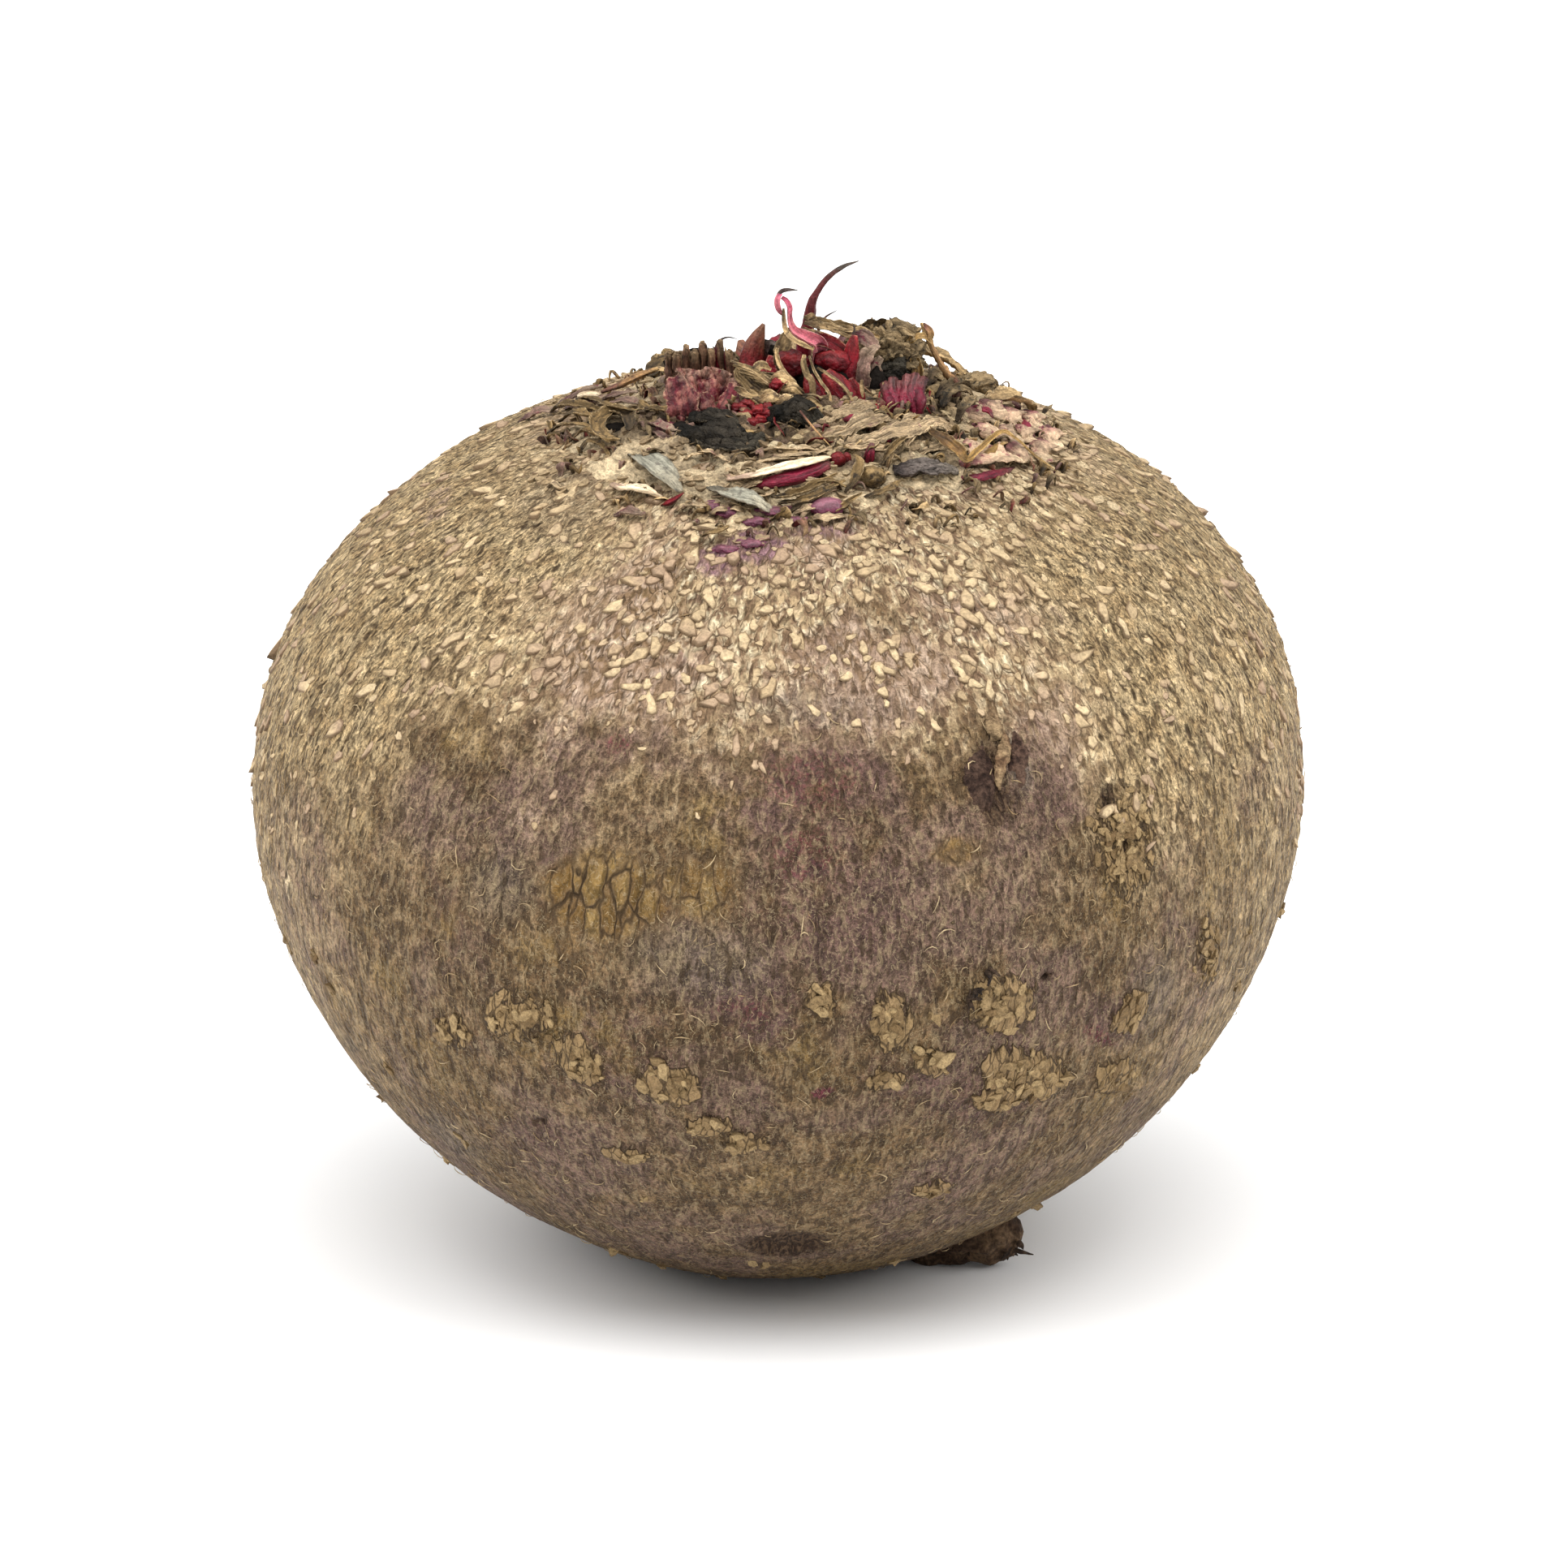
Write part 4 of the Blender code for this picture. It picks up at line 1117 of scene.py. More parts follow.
class Shape:
    """Points, faces and attributes of a piece, built up from parts."""

    def __init__(self):
        self.points, self.faces, self.fields = [], [], []
        self.count = 0

    def put(self, points, faces, along, edge, way, tone):
        points = np.asarray(points, float).reshape(-1, 3)
        n = len(points)
        fields = np.zeros((n, 6))
        fields[:, 0] = np.broadcast_to(np.ravel(along), n)
        fields[:, 1] = np.broadcast_to(np.ravel(edge), n)
        fields[:, 2:5] = np.asarray(way, float).reshape(-1, 3)
        fields[:, 5] = np.broadcast_to(np.ravel(tone), n)
        self.points.append(points)
        self.faces += [[int(i) + self.count for i in f] for f in faces]
        self.fields.append(fields)
        self.count += n
        return self

    def make(self, name, material, replaced=()):
        fields = np.concatenate(self.fields)
        attributes = {"along": fields[:, 0], "edge": fields[:, 1], "way": fields[:, 2:5], "tone": fields[:, 5]}
        points = np.concatenate(self.points)
        points[:, 2] = np.clip(points[:, 2], 0.0, TOP_LIMIT)
        return new_object(name, points, self.faces, material, True, attributes, replaced)

    def detail(self, name, material, slot):
        """The finer form of a CAD node, which it replaces."""
        return self.make(name + "_detail", material, (name,))


FINENESS = 0.8


def fewer(count, least=3):
    """Grid count after the fineness factor."""
    return max(least, int(round(count * FINENESS)))


def sheet(shape, path, widths, face=OUT, curl=0.0, thick=0.14, ruffle=0.2, fold=0.0, ribs=0.0, rib_depth=0.0,
          ragged=0.25, steps=28, across=8, twist=0.0, seed=1, tone=0.5):
    """A closed, thin, wrinkled leaf along a path of world points."""
    steps, across = fewer(steps), fewer(across)
    path = resampled(path, steps)
    width = np.maximum(0.03, resampled(np.asarray(widths, float)[:, None], steps)[:, 0])
    along = unit(np.gradient(path, axis=0))
    out = np.broadcast_to(np.asarray(face, float), path.shape)
    out = unit(out - along * np.sum(out * along, 1, keepdims=True))
    side = np.cross(along, out)
    turn = np.linspace(0.0, 1.0, steps) * twist
    c, s = np.cos(turn)[:, None], np.sin(turn)[:, None]
    out, side = out * c + side * s, side * c - out * s
    u = np.linspace(0.0, 1.0, steps)[:, None] + np.zeros((1, across + 1))
    v = np.linspace(-1.0, 1.0, across + 1)[None] + np.zeros((steps, 1))
    run = u * float(np.sum(np.linalg.norm(np.diff(path, axis=0), axis=1)))
    torn = wave(run * 1.3 + np.sign(v) * 7.0, seed) + 0.6 * wave(run * 3.6 + np.sign(v) * 5.0, seed + 1)
    reach = width[:, None] * np.maximum(0.15, 1.0 + ragged * torn)
    bend = curl if abs(curl) > 1e-3 else 1e-3
    rise = (1 - np.cos(bend * v)) / bend * reach
    rise = rise + ruffle * grid_noise(run * 0.8, v * reach * 1.1, seed + 2) * (0.4 + 0.6 * np.abs(v))
    rise = rise + ruffle * 0.5 * grid_noise(run * 2.4, v * reach * 2.4, seed + 3)
    rise = rise + rib_depth * np.sin(math.pi * ribs * v + 1.5 * grid_noise(run * 0.5, v, seed + 4, 1))
    if fold:
        stacked = np.stack([run * 0.55, v * reach * 0.75, run * 0 + seed], -1).reshape(-1, 3)
        rise = rise + fold * (ridge_noise(stacked, 3, seed + 6).reshape(u.shape) - 0.5)
    middle = path[:, None] + side[:, None] * (np.sin(bend * v) / bend * reach)[..., None]
    middle = middle + out[:, None] * rise[..., None]
    torn_end = 0.35 * ragged * width[:, None] * wave(v * 3.1 + 2.0, seed + 5) * u ** 3
    middle = middle + along[:, None] * torn_end[..., None]
    normal = unit(np.cross(np.gradient(middle, axis=1), np.gradient(middle, axis=0)))
    normal = normal * np.sign(np.sum(normal * out[:, None], -1, keepdims=True) + 1e-9)
    half = 0.5 * thick * (1.0 - 0.75 * np.abs(v) ** 3) * (1.0 - 0.6 * u ** 4)
    n = across + 1
    count = steps * n
    faces = []
    for i in range(steps - 1):
        for j in range(across):
            a = i * n + j
            faces.append((a, a + n, a + n + 1, a + 1))
            faces.append((count + a, count + a + 1, count + a + n + 1, count + a + n))
    ring = [(0, j) for j in range(n)] + [(i, across) for i in range(1, steps)]
    ring += [(steps - 1, j) for j in range(across - 1, -1, -1)] + [(i, 0) for i in range(steps - 2, 0, -1)]
    ring = [i * n + j for i, j in ring]
    for k, a in enumerate(ring):
        b = ring[(k + 1) % len(ring)]
        faces.append((a, b, count + b, count + a))
    edge = np.maximum(np.abs(v), u ** 6)
    way = np.stack([run, v * reach, u * 0 + seed * 3.1], -1).reshape(-1, 3)
    points = np.concatenate([(middle + normal * half[..., None]).reshape(-1, 3),
                             (middle - normal * half[..., None]).reshape(-1, 3)])
    return shape.put(points, faces, np.tile(u.ravel(), 2), np.tile(edge.ravel(), 2), np.tile(way, (2, 1)), tone)


def stalk(shape, path, radii, sides=12, flat=1.0, face=OUT, ribs=0, rib_depth=0.0, rough=0.08, steps=30,
          seed=1, tone=0.5):
    """A closed round or flattened stalk along a path of world points."""
    steps, sides = fewer(steps), fewer(sides, 6)
    path = resampled(path, steps)
    radius = np.maximum(0.02, resampled(np.asarray(radii, float)[:, None], steps)[:, 0])
    along = unit(np.gradient(path, axis=0))
    out = np.asarray(face, float) + np.array([1e-3, 2e-3, 0.0])
    outs = []
    for way in along:
        out = unit(out - way * float(out @ way))
        outs.append(out)
    out = np.array(outs)
    side = np.cross(along, out)
    length = float(np.sum(np.linalg.norm(np.diff(path, axis=0), axis=1)))
    u = np.linspace(0.0, 1.0, steps)[:, None] + np.zeros((1, sides))
    a = (np.arange(sides) * 2 * math.pi / sides)[None] + np.zeros((steps, 1))
    turns = u * length * 1.2 / max(0.3, float(radius.max()))
    around = np.stack([np.cos(a) * 1.3, np.sin(a) * 1.3, turns], -1)
    swell = 1.0 + rough * 2.0 * rough_noise(around.reshape(-1, 3), 3, seed).reshape(a.shape)
    swell = swell + rib_depth * np.cos(ribs * a + 0.4 * wave(u * 3.0, seed))
    reach = radius[:, None] * swell
    points = path[:, None] + side[:, None] * (np.cos(a) * reach)[..., None]
    points = points + out[:, None] * (np.sin(a) * reach * flat)[..., None]
    tips = np.stack([path[0] - along[0] * radius[0] * 0.3, path[-1] + along[-1] * radius[-1] * 0.3])
    faces = []
    for i in range(steps - 1):
        for j in range(sides):
            k = (j + 1) % sides
            faces.append((i * sides + j, (i + 1) * sides + j, (i + 1) * sides + k, i * sides + k))
    last = steps * sides
    for j in range(sides):
        k = (j + 1) % sides
        faces.append((last, j, k))
        faces.append((last + 1, (steps - 1) * sides + k, (steps - 1) * sides + j))
    way = np.stack([u * length, a * radius[:, None], u * 0 + seed * 2.3], -1).reshape(-1, 3)
    way = np.concatenate([way, way[:1], way[-1:]])
    facing = np.sin(a) * 0.5 + 0.5
    fill = np.concatenate([u.ravel(), [0.0, 1.0]])
    return shape.put(np.concatenate([points.reshape(-1, 3), tips]), faces, fill,
                     np.concatenate([facing.ravel() * 0.6, [0.3, 0.3]]), way, tone)


def leaf(shape, rows, widths, **looks):
    """A sheet that grows out of the crown, for rows as seen takes them."""
    return sheet(shape, rooted(seen(rows)), widths, FACING, **looks)


def flap(shape, rows, widths, **looks):
    """A sheet with a free foot, for rows as seen takes them."""
    return sheet(shape, seen(rows), widths, FACING, **looks)


def stem(shape, rows, radii, **looks):
    """A stalk that grows out of the crown, for rows as seen takes them."""
    return stalk(shape, rooted(seen(rows)), radii, **looks)


def lump(shape, centre, radii, rough=0.25, scale=1.0, count=12, seed=1, turn=0.0, tone=0.5):
    """A closed crumpled lump; radii run to the right, forward and out of the skin."""
    count = fewer(count)
    directions, faces = cube_sphere(count)
    out = unit(OUT)
    right = unit(np.array([1.0, 0.0, 0.0]) - out * out[0])
    ahead = -np.cross(out, right)
    c, s = math.cos(turn), math.sin(turn)
    right, ahead = right * c + ahead * s, ahead * c - right * s
    local = directions * np.asarray(radii, float)
    swell = 1.0 + rough * 1.6 * rough_noise(local * scale + seed * 5.3, 4, seed)
    swell = swell - rough * 0.8 * (ridge_noise(local * scale * 1.7 + seed, 2, seed + 3) - 0.5)
    local = local * swell[:, None]
    centre = np.asarray(centre, float).reshape(3)
    points = centre + local[:, :1] * right + local[:, 1:2] * ahead + local[:, 2:] * out
    corner = points[faces]
    facing = np.cross(corner[:, 2] - corner[:, 0], corner[:, 3] - corner[:, 1])
    outward = np.sum(facing * (corner.mean(1) - centre), 1) > 0
    faces = np.where(outward[:, None], faces, faces[:, ::-1])
    return shape.put(points, faces, directions[:, 2] * 0.5 + 0.5, np.clip(1.0 - swell, 0.0, 1.0), local, tone)


def leaf_material(name, foot, middle, tip, edge=None, streak=0.75, blotch=None, blotch_low=0.55, rough=0.7,
                  specular=0.2, subsurface=0.0, relief=0.25, spacing=2.6):
    """Plant tissue whose colour changes from foot to tip, with streaks along it and painted shade at its foot."""
    g = Graph(name)
    at = g.place()
    drift = g.noise(at, 0.9, 2.0, 0.6)
    fine = g.noise(at, 4.5, 2.0, 0.7)
    lines = g.noise(g.scaled(g.warped(g.vector("way"), 1.1, 0.35), (0.45, spacing, 1.0)), 1.0, 3.0, 0.6)
    place = g.add(g.value("along"), g.times(g.minus(drift, 0.5), 0.55))
    base = g.mix(g.band(place, 0.12, 0.45), foot, middle)
    base = g.mix(g.band(place, 0.55, 0.92), base, tip)
    if blotch is not None:
        spots = g.noise(g.vector_math("ADD", at, (7.7, 3.1, 5.9)), 1.0, 4.0, 0.65)
        base = g.mix(g.band(spots, blotch_low, blotch_low + 0.12), base, blotch)
    if edge is not None:
        rim = g.add(g.value("edge"), g.times(g.minus(fine, 0.5), 0.9))
        base = g.lay(base, g.band(rim, 0.84, 1.12), 0.75, edge)
    base = g.dapple(base, g.band(lines, 0.32, 0.68), streak, 1.0 - streak * 0.55)
    base = g.dapple(base, g.band(fine, 0.3, 0.7), 0.45, 0.78)
    base = g.dapple(base, g.value("tone"), 0.7, 0.65)
    # Painted shade at the foot of each piece, where it goes into the crown
    base = g.dapple(base, g.band(place, 0.0, 0.30), 0.45, 0.55)
    height = g.total((lines, relief), (fine, relief * 0.4), (drift, relief * 0.7))
    return g.finish(base, rough, g.bump(height, 1.0), specular=specular, subsurface=subsurface)


BED_REACH = 26.0
BED_RINGS = 112
BED_SPOKES = 300

# Colour patches of the crown's ground: photo pixel, half width and half height in mm, turn in degrees, strength
BED_FLESH = (
    (1215, 530, 3.4, 2.6, 0, 0.8), (1260, 545, 2.4, 2.4, 0, 0.6), (1035, 520, 1.2, 1.0, 0, 0.8),
    (920, 515, 2.0, 1.2, 0, 0.7), (925, 668, 2.0, 1.2, 0, 0.9), (895, 625, 2.0, 1.0, 0, 0.7),
    (955, 630, 1.4, 1.0, 0, 0.8), (1020, 640, 2.6, 1.2, 0, 0.7), (822, 530, 1.6, 1.4, 0, 0.9),
    (770, 492, 2.2, 1.4, 0, 0.8), (1210, 585, 3.0, 1.4, 0, 0.9), (870, 490, 3.2, 2.6, 0, 0.7),
    (1010, 470, 2.6, 3.0, 0, 1.0), (1115, 485, 1.6, 2.0, 0, 0.9),
    (778, 632, 1.8, 0.9, 0, 0.6), (1290, 560, 2.0, 2.0, 0, 0.4),
)
# Hollows of the crown's ground: sunk, and painted near-black as shade
BED_SHADED_HOLLOWS = (
    (1078, 482, 1.0, 2.0, 0, 1.0), (980, 522, 2.4, 1.4, 0, 1.0), (1184, 510, 1.0, 1.4, 0, 1.0),
    (763, 530, 1.0, 1.2, 0, 1.0), (880, 540, 3.0, 1.6, 0, 0.8), (829, 649, 0.7, 0.6, 0, 1.0),
    (1150, 470, 2.0, 1.6, 0, 0.5), (960, 480, 2.0, 1.6, 0, 0.6), (1060, 575, 0.8, 0.8, 0, 0.7),
    (740, 560, 1.6, 1.0, 0, 0.5), (652, 553, 0.8, 0.6, 0, 0.8), (1150, 500, 1.4, 1.0, 0, 0.6),
)
BED_TANS = (
    (1090, 530, 4.6, 2.0, 0, 1.0), (880, 575, 4.0, 1.2, 0, 0.8), (960, 560, 3.4, 0.8, 0, 0.9),
    (1150, 560, 3.0, 1.0, 0, 0.8), (860, 605, 2.6, 1.4, 0, 0.7), (700, 620, 2.4, 1.4, 0, 0.4),
    (1225, 500, 3.0, 1.6, 0, 0.5), (1300, 520, 3.0, 3.0, 0, 0.4), (1140, 620, 3.0, 1.2, 0, 0.4),
    (1000, 668, 8.0, 1.8, 0, 0.9), (1195, 618, 5.0, 2.2, 0, 0.9), (880, 655, 4.0, 1.6, 0, 0.4),
    (1260, 590, 3.0, 2.0, 0, 0.8),
)


def plates(a, b, seed):
    """Heights of overlapping tilted plates over flat coordinates, and each plate's random number."""
    cell_a, cell_b = np.floor(a), np.floor(b)
    best = np.full(a.shape, -9.0)
    mark = np.zeros(a.shape)
    for i in (-1, 0, 1):
        for j in (-1, 0, 1):
            cell = np.stack([cell_a + i, cell_b + j, cell_a * 0], -1)
            r = [lattice(cell, seed + q) for q in (1, 2, 3, 4, 5)]
            u, v = a - cell[..., 0] - r[0], b - cell[..., 1] - r[1]
            height = 0.7 * r[2] + (r[3] - 0.5) * 1.1 * u + (r[4] - 0.5) * 1.1 * v
            height = height - 2.2 * np.maximum(0.0, np.hypot(u, v) - 0.25) ** 2
            higher = height > best
            best = np.where(higher, height, best)
            mark = np.where(higher, r[2] * 0.5 + r[3] * 0.5, mark)
    return best, mark


def crown_direction(across, front):
    """Unit directions, as root_skin takes them, of places on the crown."""
    level = crown_foot(across, front)[:, 2] / CROWN_RISE
    turn = np.arctan2(-front, across - CROWN_MIDDLE)
    side = np.sqrt(np.maximum(0.0, 1.0 - level ** 2))
    return np.stack([side * np.cos(turn), side * np.sin(turn), level], -1)


def bed_material():
    """Crumbled dry leaf: grey-brown, tan and crimson bits, with near-black painted shade in the gaps between them
    and painted shade on their low parts.
    """
    g = Graph("crown_ground")
    at = g.place()
    mark = g.value("tone")
    fine = g.noise(at, 4.2, 4.0, 0.7)
    broad = g.noise(at, 0.55, 3.0, 0.6)
    fibre = g.noise(g.scaled(g.warped(g.vector("way"), 0.9, 1.8), (1.4, 2.4, 1.0)), 1.0, 3.0, 0.65)
    base = g.mix(g.band(mark, 0.25, 0.5), (0.085, 0.055, 0.033), (0.19, 0.127, 0.071))
    base = g.mix(g.band(mark, 0.52, 0.72), base, (0.36, 0.25, 0.13))
    base = g.lay(base, g.band(broad, 0.52, 0.68), 0.7, (0.17, 0.105, 0.09))
    tan = g.mix(g.band(mark, 0.2, 0.7), (0.36, 0.26, 0.15), (0.60, 0.48, 0.30))
    base = g.mix(g.ragged(g.value("tan"), fine, 1.2, 0.3, 0.7), base, tan)
    flesh = g.mix(g.band(mark, 0.3, 0.7), (0.15, 0.03, 0.045), (0.27, 0.14, 0.125))
    base = g.mix(g.ragged(g.value("flesh"), broad, 2.4, 0.5, 1.0), base, flesh)
    base = g.mix(g.value("skin_rim"), base, (0.62, 0.48, 0.295))
    base = g.dapple(base, g.band(fibre, 0.3, 0.7), 0.8, 0.55)
    base = g.dapple(base, g.band(fine, 0.3, 0.7), 0.6, 0.7)
    # Painted shade on the low parts of the crust: edge here is how high its plates stand; less of it on the corky
    # rim
    least = g.add(g.times(g.value("skin_rim"), 0.20), 0.30)
    base = g.dapple(base, g.value("edge"), 0.75, least)
    # Painted shade: near-black in the hollows
    base = g.mix(g.ragged(g.value("shaded_hollow"), fine, 0.9, 0.4, 0.75), base, (0.014, 0.011, 0.009))
    height = g.total((fibre, 0.4), (fine, 0.25))
    return g.finish(base, 0.65, g.bump(height, 1.0), specular=0.2)


def build_bed():
    """Ground of the crown: a closed crust of crumbled leaf, thick in the middle, ending in the cork."""
    ring = np.linspace(0.0, 1.0, BED_RINGS + 1)[1:] * BED_REACH
    spoke = np.arange(BED_SPOKES) * 2 * math.pi / BED_SPOKES
    reach, angle = np.meshgrid(ring, spoke, indexing="ij")
    reach, angle = reach.ravel(), angle.ravel()
    across, front = reach * np.sin(angle) + CROWN_MIDDLE, reach * np.cos(angle)
    lift, fields = bed_ground(across, front)
    lift = np.where(reach > BED_REACH - 0.3, -1.2, lift)
    points = crown_point(np.stack([across, front, lift], -1))
    bottom = crown_point([(CROWN_MIDDLE, 0.0, -3.0)])
    top = crown_point([(CROWN_MIDDLE, 0.0, 1.2)])
    index = np.arange(BED_RINGS * BED_SPOKES).reshape(BED_RINGS, BED_SPOKES)
    after = np.roll(index, -1, axis=1)
    quads = np.stack([index[:-1], index[1:], after[1:], after[:-1]], -1).reshape(-1, 4).tolist()
    count = len(points)
    quads += [(count + 1, a, b) for a, b in zip(index[0], after[0])]
    quads += [(count, b, a) for a, b in zip(index[-1], after[-1])]
    ends = {"tone": 0.5, "edge": 0.5}
    fields = {name: np.concatenate([v, np.full((2, *v.shape[1:]), ends.get(name, 0.0))])
              for name, v in fields.items()}
    return new_object("crown_ground", np.concatenate([points, bottom, top]), quads, bed_material(),
                      False, fields)


def bed_ground(across, front):
    """Height of the crown's crust above the plain skin, and its colour attributes."""
    reach = np.hypot(across - CROWN_MIDDLE, front)
    angle = np.arctan2(across - CROWN_MIDDLE, front)
    foot = crown_foot(across, front)
    flat = np.stack([across, front, across * 0], -1)
    turned = np.where(reach > 5.0, angle * 13.0, across)
    depth = np.where(reach > 5.0, reach, front)
    wide, wide_mark = plates(turned / 3.0, depth / 1.7, 401)
    small, small_mark = plates(across / 1.15, front / 0.8, 431)
    fine, _ = plates(across / 0.55, front / 0.45, 461)
    directions = crown_direction(across, front)
    flesh = mark_field(directions, foot, BED_FLESH)
    shaded_hollow = mark_field(directions, foot, BED_SHADED_HOLLOWS)
    tan = mark_field(directions, foot, BED_TANS)
    hidden = smooth(1.0, -4.0, front)
    patch = rough_noise(flat / 2.6 + 31.0, 3, 421)
    flesh = np.maximum(flesh, smooth(0.35, 0.6, patch) * hidden)
    shaded_hollow = np.maximum(shaded_hollow, smooth(-0.35, -0.6, patch) * hidden)
    tan = np.maximum(tan, smooth(0.3, 0.6, rough_noise(flat / 3.1 + 3.0, 3, 425)) * hidden)
    middle = smooth(9.0, 3.0, reach)
    right = smooth(-6.0, 8.0, across + 0.4 * front)
    edge_reach = reach + 4.5 * rough_noise(flat / 4.0, 4, 427) + 1.5 * smooth(0.0, -12.0, front)
    edge_reach = edge_reach + 2.0 * smooth(4.0, 12.0, across)
    fade = smooth(19.0, 11.5, edge_reach)
    lift = 0.25 + 0.8 * wide + 0.55 * small + 0.25 * fine
    lift = lift * (0.30 + 0.70 * fade) + 0.9 * middle
    lift = lift + 0.5 * rough_noise(flat / 2.0, 3, 429) * fade
    lift = lift - 1.1 * shaded_hollow * (0.6 + 0.4 * middle)
    lift = lift * smooth(23.0, 17.5, edge_reach) - 0.8 * smooth(17.5, 22.5, edge_reach)
    fields = {
        "tone": 0.55 * wide_mark + 0.45 * small_mark + 0.10 * right - 0.10 * (1.0 - right),
        # edge: how high the plates stand; the material paints shade where it is low
        "edge": np.clip(0.2 + 0.8 * (0.8 * wide + 0.5 * small + 0.3 * fine), 0.0, 1.0),
        "flesh": flesh, "shaded_hollow": shaded_hollow, "tan": tan,
        "skin_rim": smooth(12.0, 18.5, edge_reach),
        "way": np.stack([turned, depth, depth * 0], -1),
    }
    return np.maximum(lift, -1.0), fields


CHIP_COUNT = 2500
CHIP_REACH = 29.0


def build_chips():
    """Small flat crumbs of dry leaf and cork that cover the crown's ground and fade out on the shoulders."""
    rng = np.random.default_rng(651)
    count = CHIP_COUNT
    reach = CHIP_REACH * rng.uniform(0.02, 1.0, count) ** 0.62
    angle = rng.uniform(-math.pi, math.pi, count)
    across, front = CROWN_MIDDLE + reach * np.sin(angle), reach * np.cos(angle)
    drift = rough_noise(np.stack([across / 4.0, front / 4.0, across * 0], -1), 3, 653)
    keep = rng.uniform(size=count) < smooth(CHIP_REACH, 17.0, reach + 5.0 * drift)
    across, front, reach = across[keep], front[keep], reach[keep]
    lift, fields = bed_ground(across, front)
    keep = rng.uniform(size=len(reach)) > 0.55 * fields["skin_rim"]
    across, front, lift = across[keep], front[keep], lift[keep]
    fields = {name: values[keep] for name, values in fields.items()}
    count = len(across)
    skin = Skin(crown_direction(across, front))
    normal = crown_normal(across, front) @ LEAN.T
    high = np.maximum(lift, 0.0) + 0.1
    skin.points = crown_point(np.stack([across, front, high], -1))
    skin.normals = unit(normal + rng.normal(0.0, 0.16, normal.shape))
    corky = fields["skin_rim"]
    size = rng.uniform(0.35, 1.05, count) * (1.0 + 0.25 * corky)
    points, faces, attributes = flakes(
        skin, 0.55 * size, 0.42 * size * rng.uniform(0.6, 1.5, count),
        rng.uniform(0.05, 0.22, count) * (1.0 - 0.6 * corky),
        rng.normal(0.12, 0.30, count) * (1.0 - 0.4 * corky), rng.normal(0.0, 0.9, count), 655, sides=9, sink=0.35)
    attributes["rim"] = np.repeat(fields["skin_rim"], len(points) // count)
    left, near = smooth(4.0, -8.0, across), smooth(5.0, 10.0, front)
    change = np.repeat(np.stack([1.0 - 0.7 * left, 0.3 * near * (1.0 - left)], -1), len(points) // count, axis=0)
    attributes["tone"] = np.minimum(1.0, attributes["tone"] * change[:, 0] + change[:, 1])
    attributes["flesh"] = np.repeat(fields["flesh"], len(points) // count)
    g = Graph("crown_chips")
    fine = g.noise(g.place(), 3.4, 4.0, 0.7)
    tone = g.value("tone")
    base = g.mix(g.band(tone, 0.05, 0.40), (0.085, 0.056, 0.034), (0.24, 0.165, 0.092))
    base = g.mix(g.band(tone, 0.5, 0.9), base, (0.44, 0.33, 0.185))
    cork = g.mix(tone, (0.36, 0.252, 0.137), (0.62, 0.48, 0.29))
    base = g.mix(g.value("rim"), base, cork)
    base = g.lay(base, g.value("flesh"), g.band(fine, 0.50, 0.64), (0.20, 0.085, 0.085))
    base = g.dapple(base, g.band(fine, 0.3, 0.7), 0.8, 0.6)
    edge = g.times(g.band(g.add(g.value("edge"), g.minus(fine, 0.5)), 0.85, 1.25), 0.5)
    base = g.mix(edge, base, (0.10, 0.065, 0.035))
    material = g.finish(base, 0.65, g.bump(fine, 0.4), specular=0.16)
    return new_object("crown_chips", points, faces, material, False, attributes)


CRUMB_REACH = 22.0


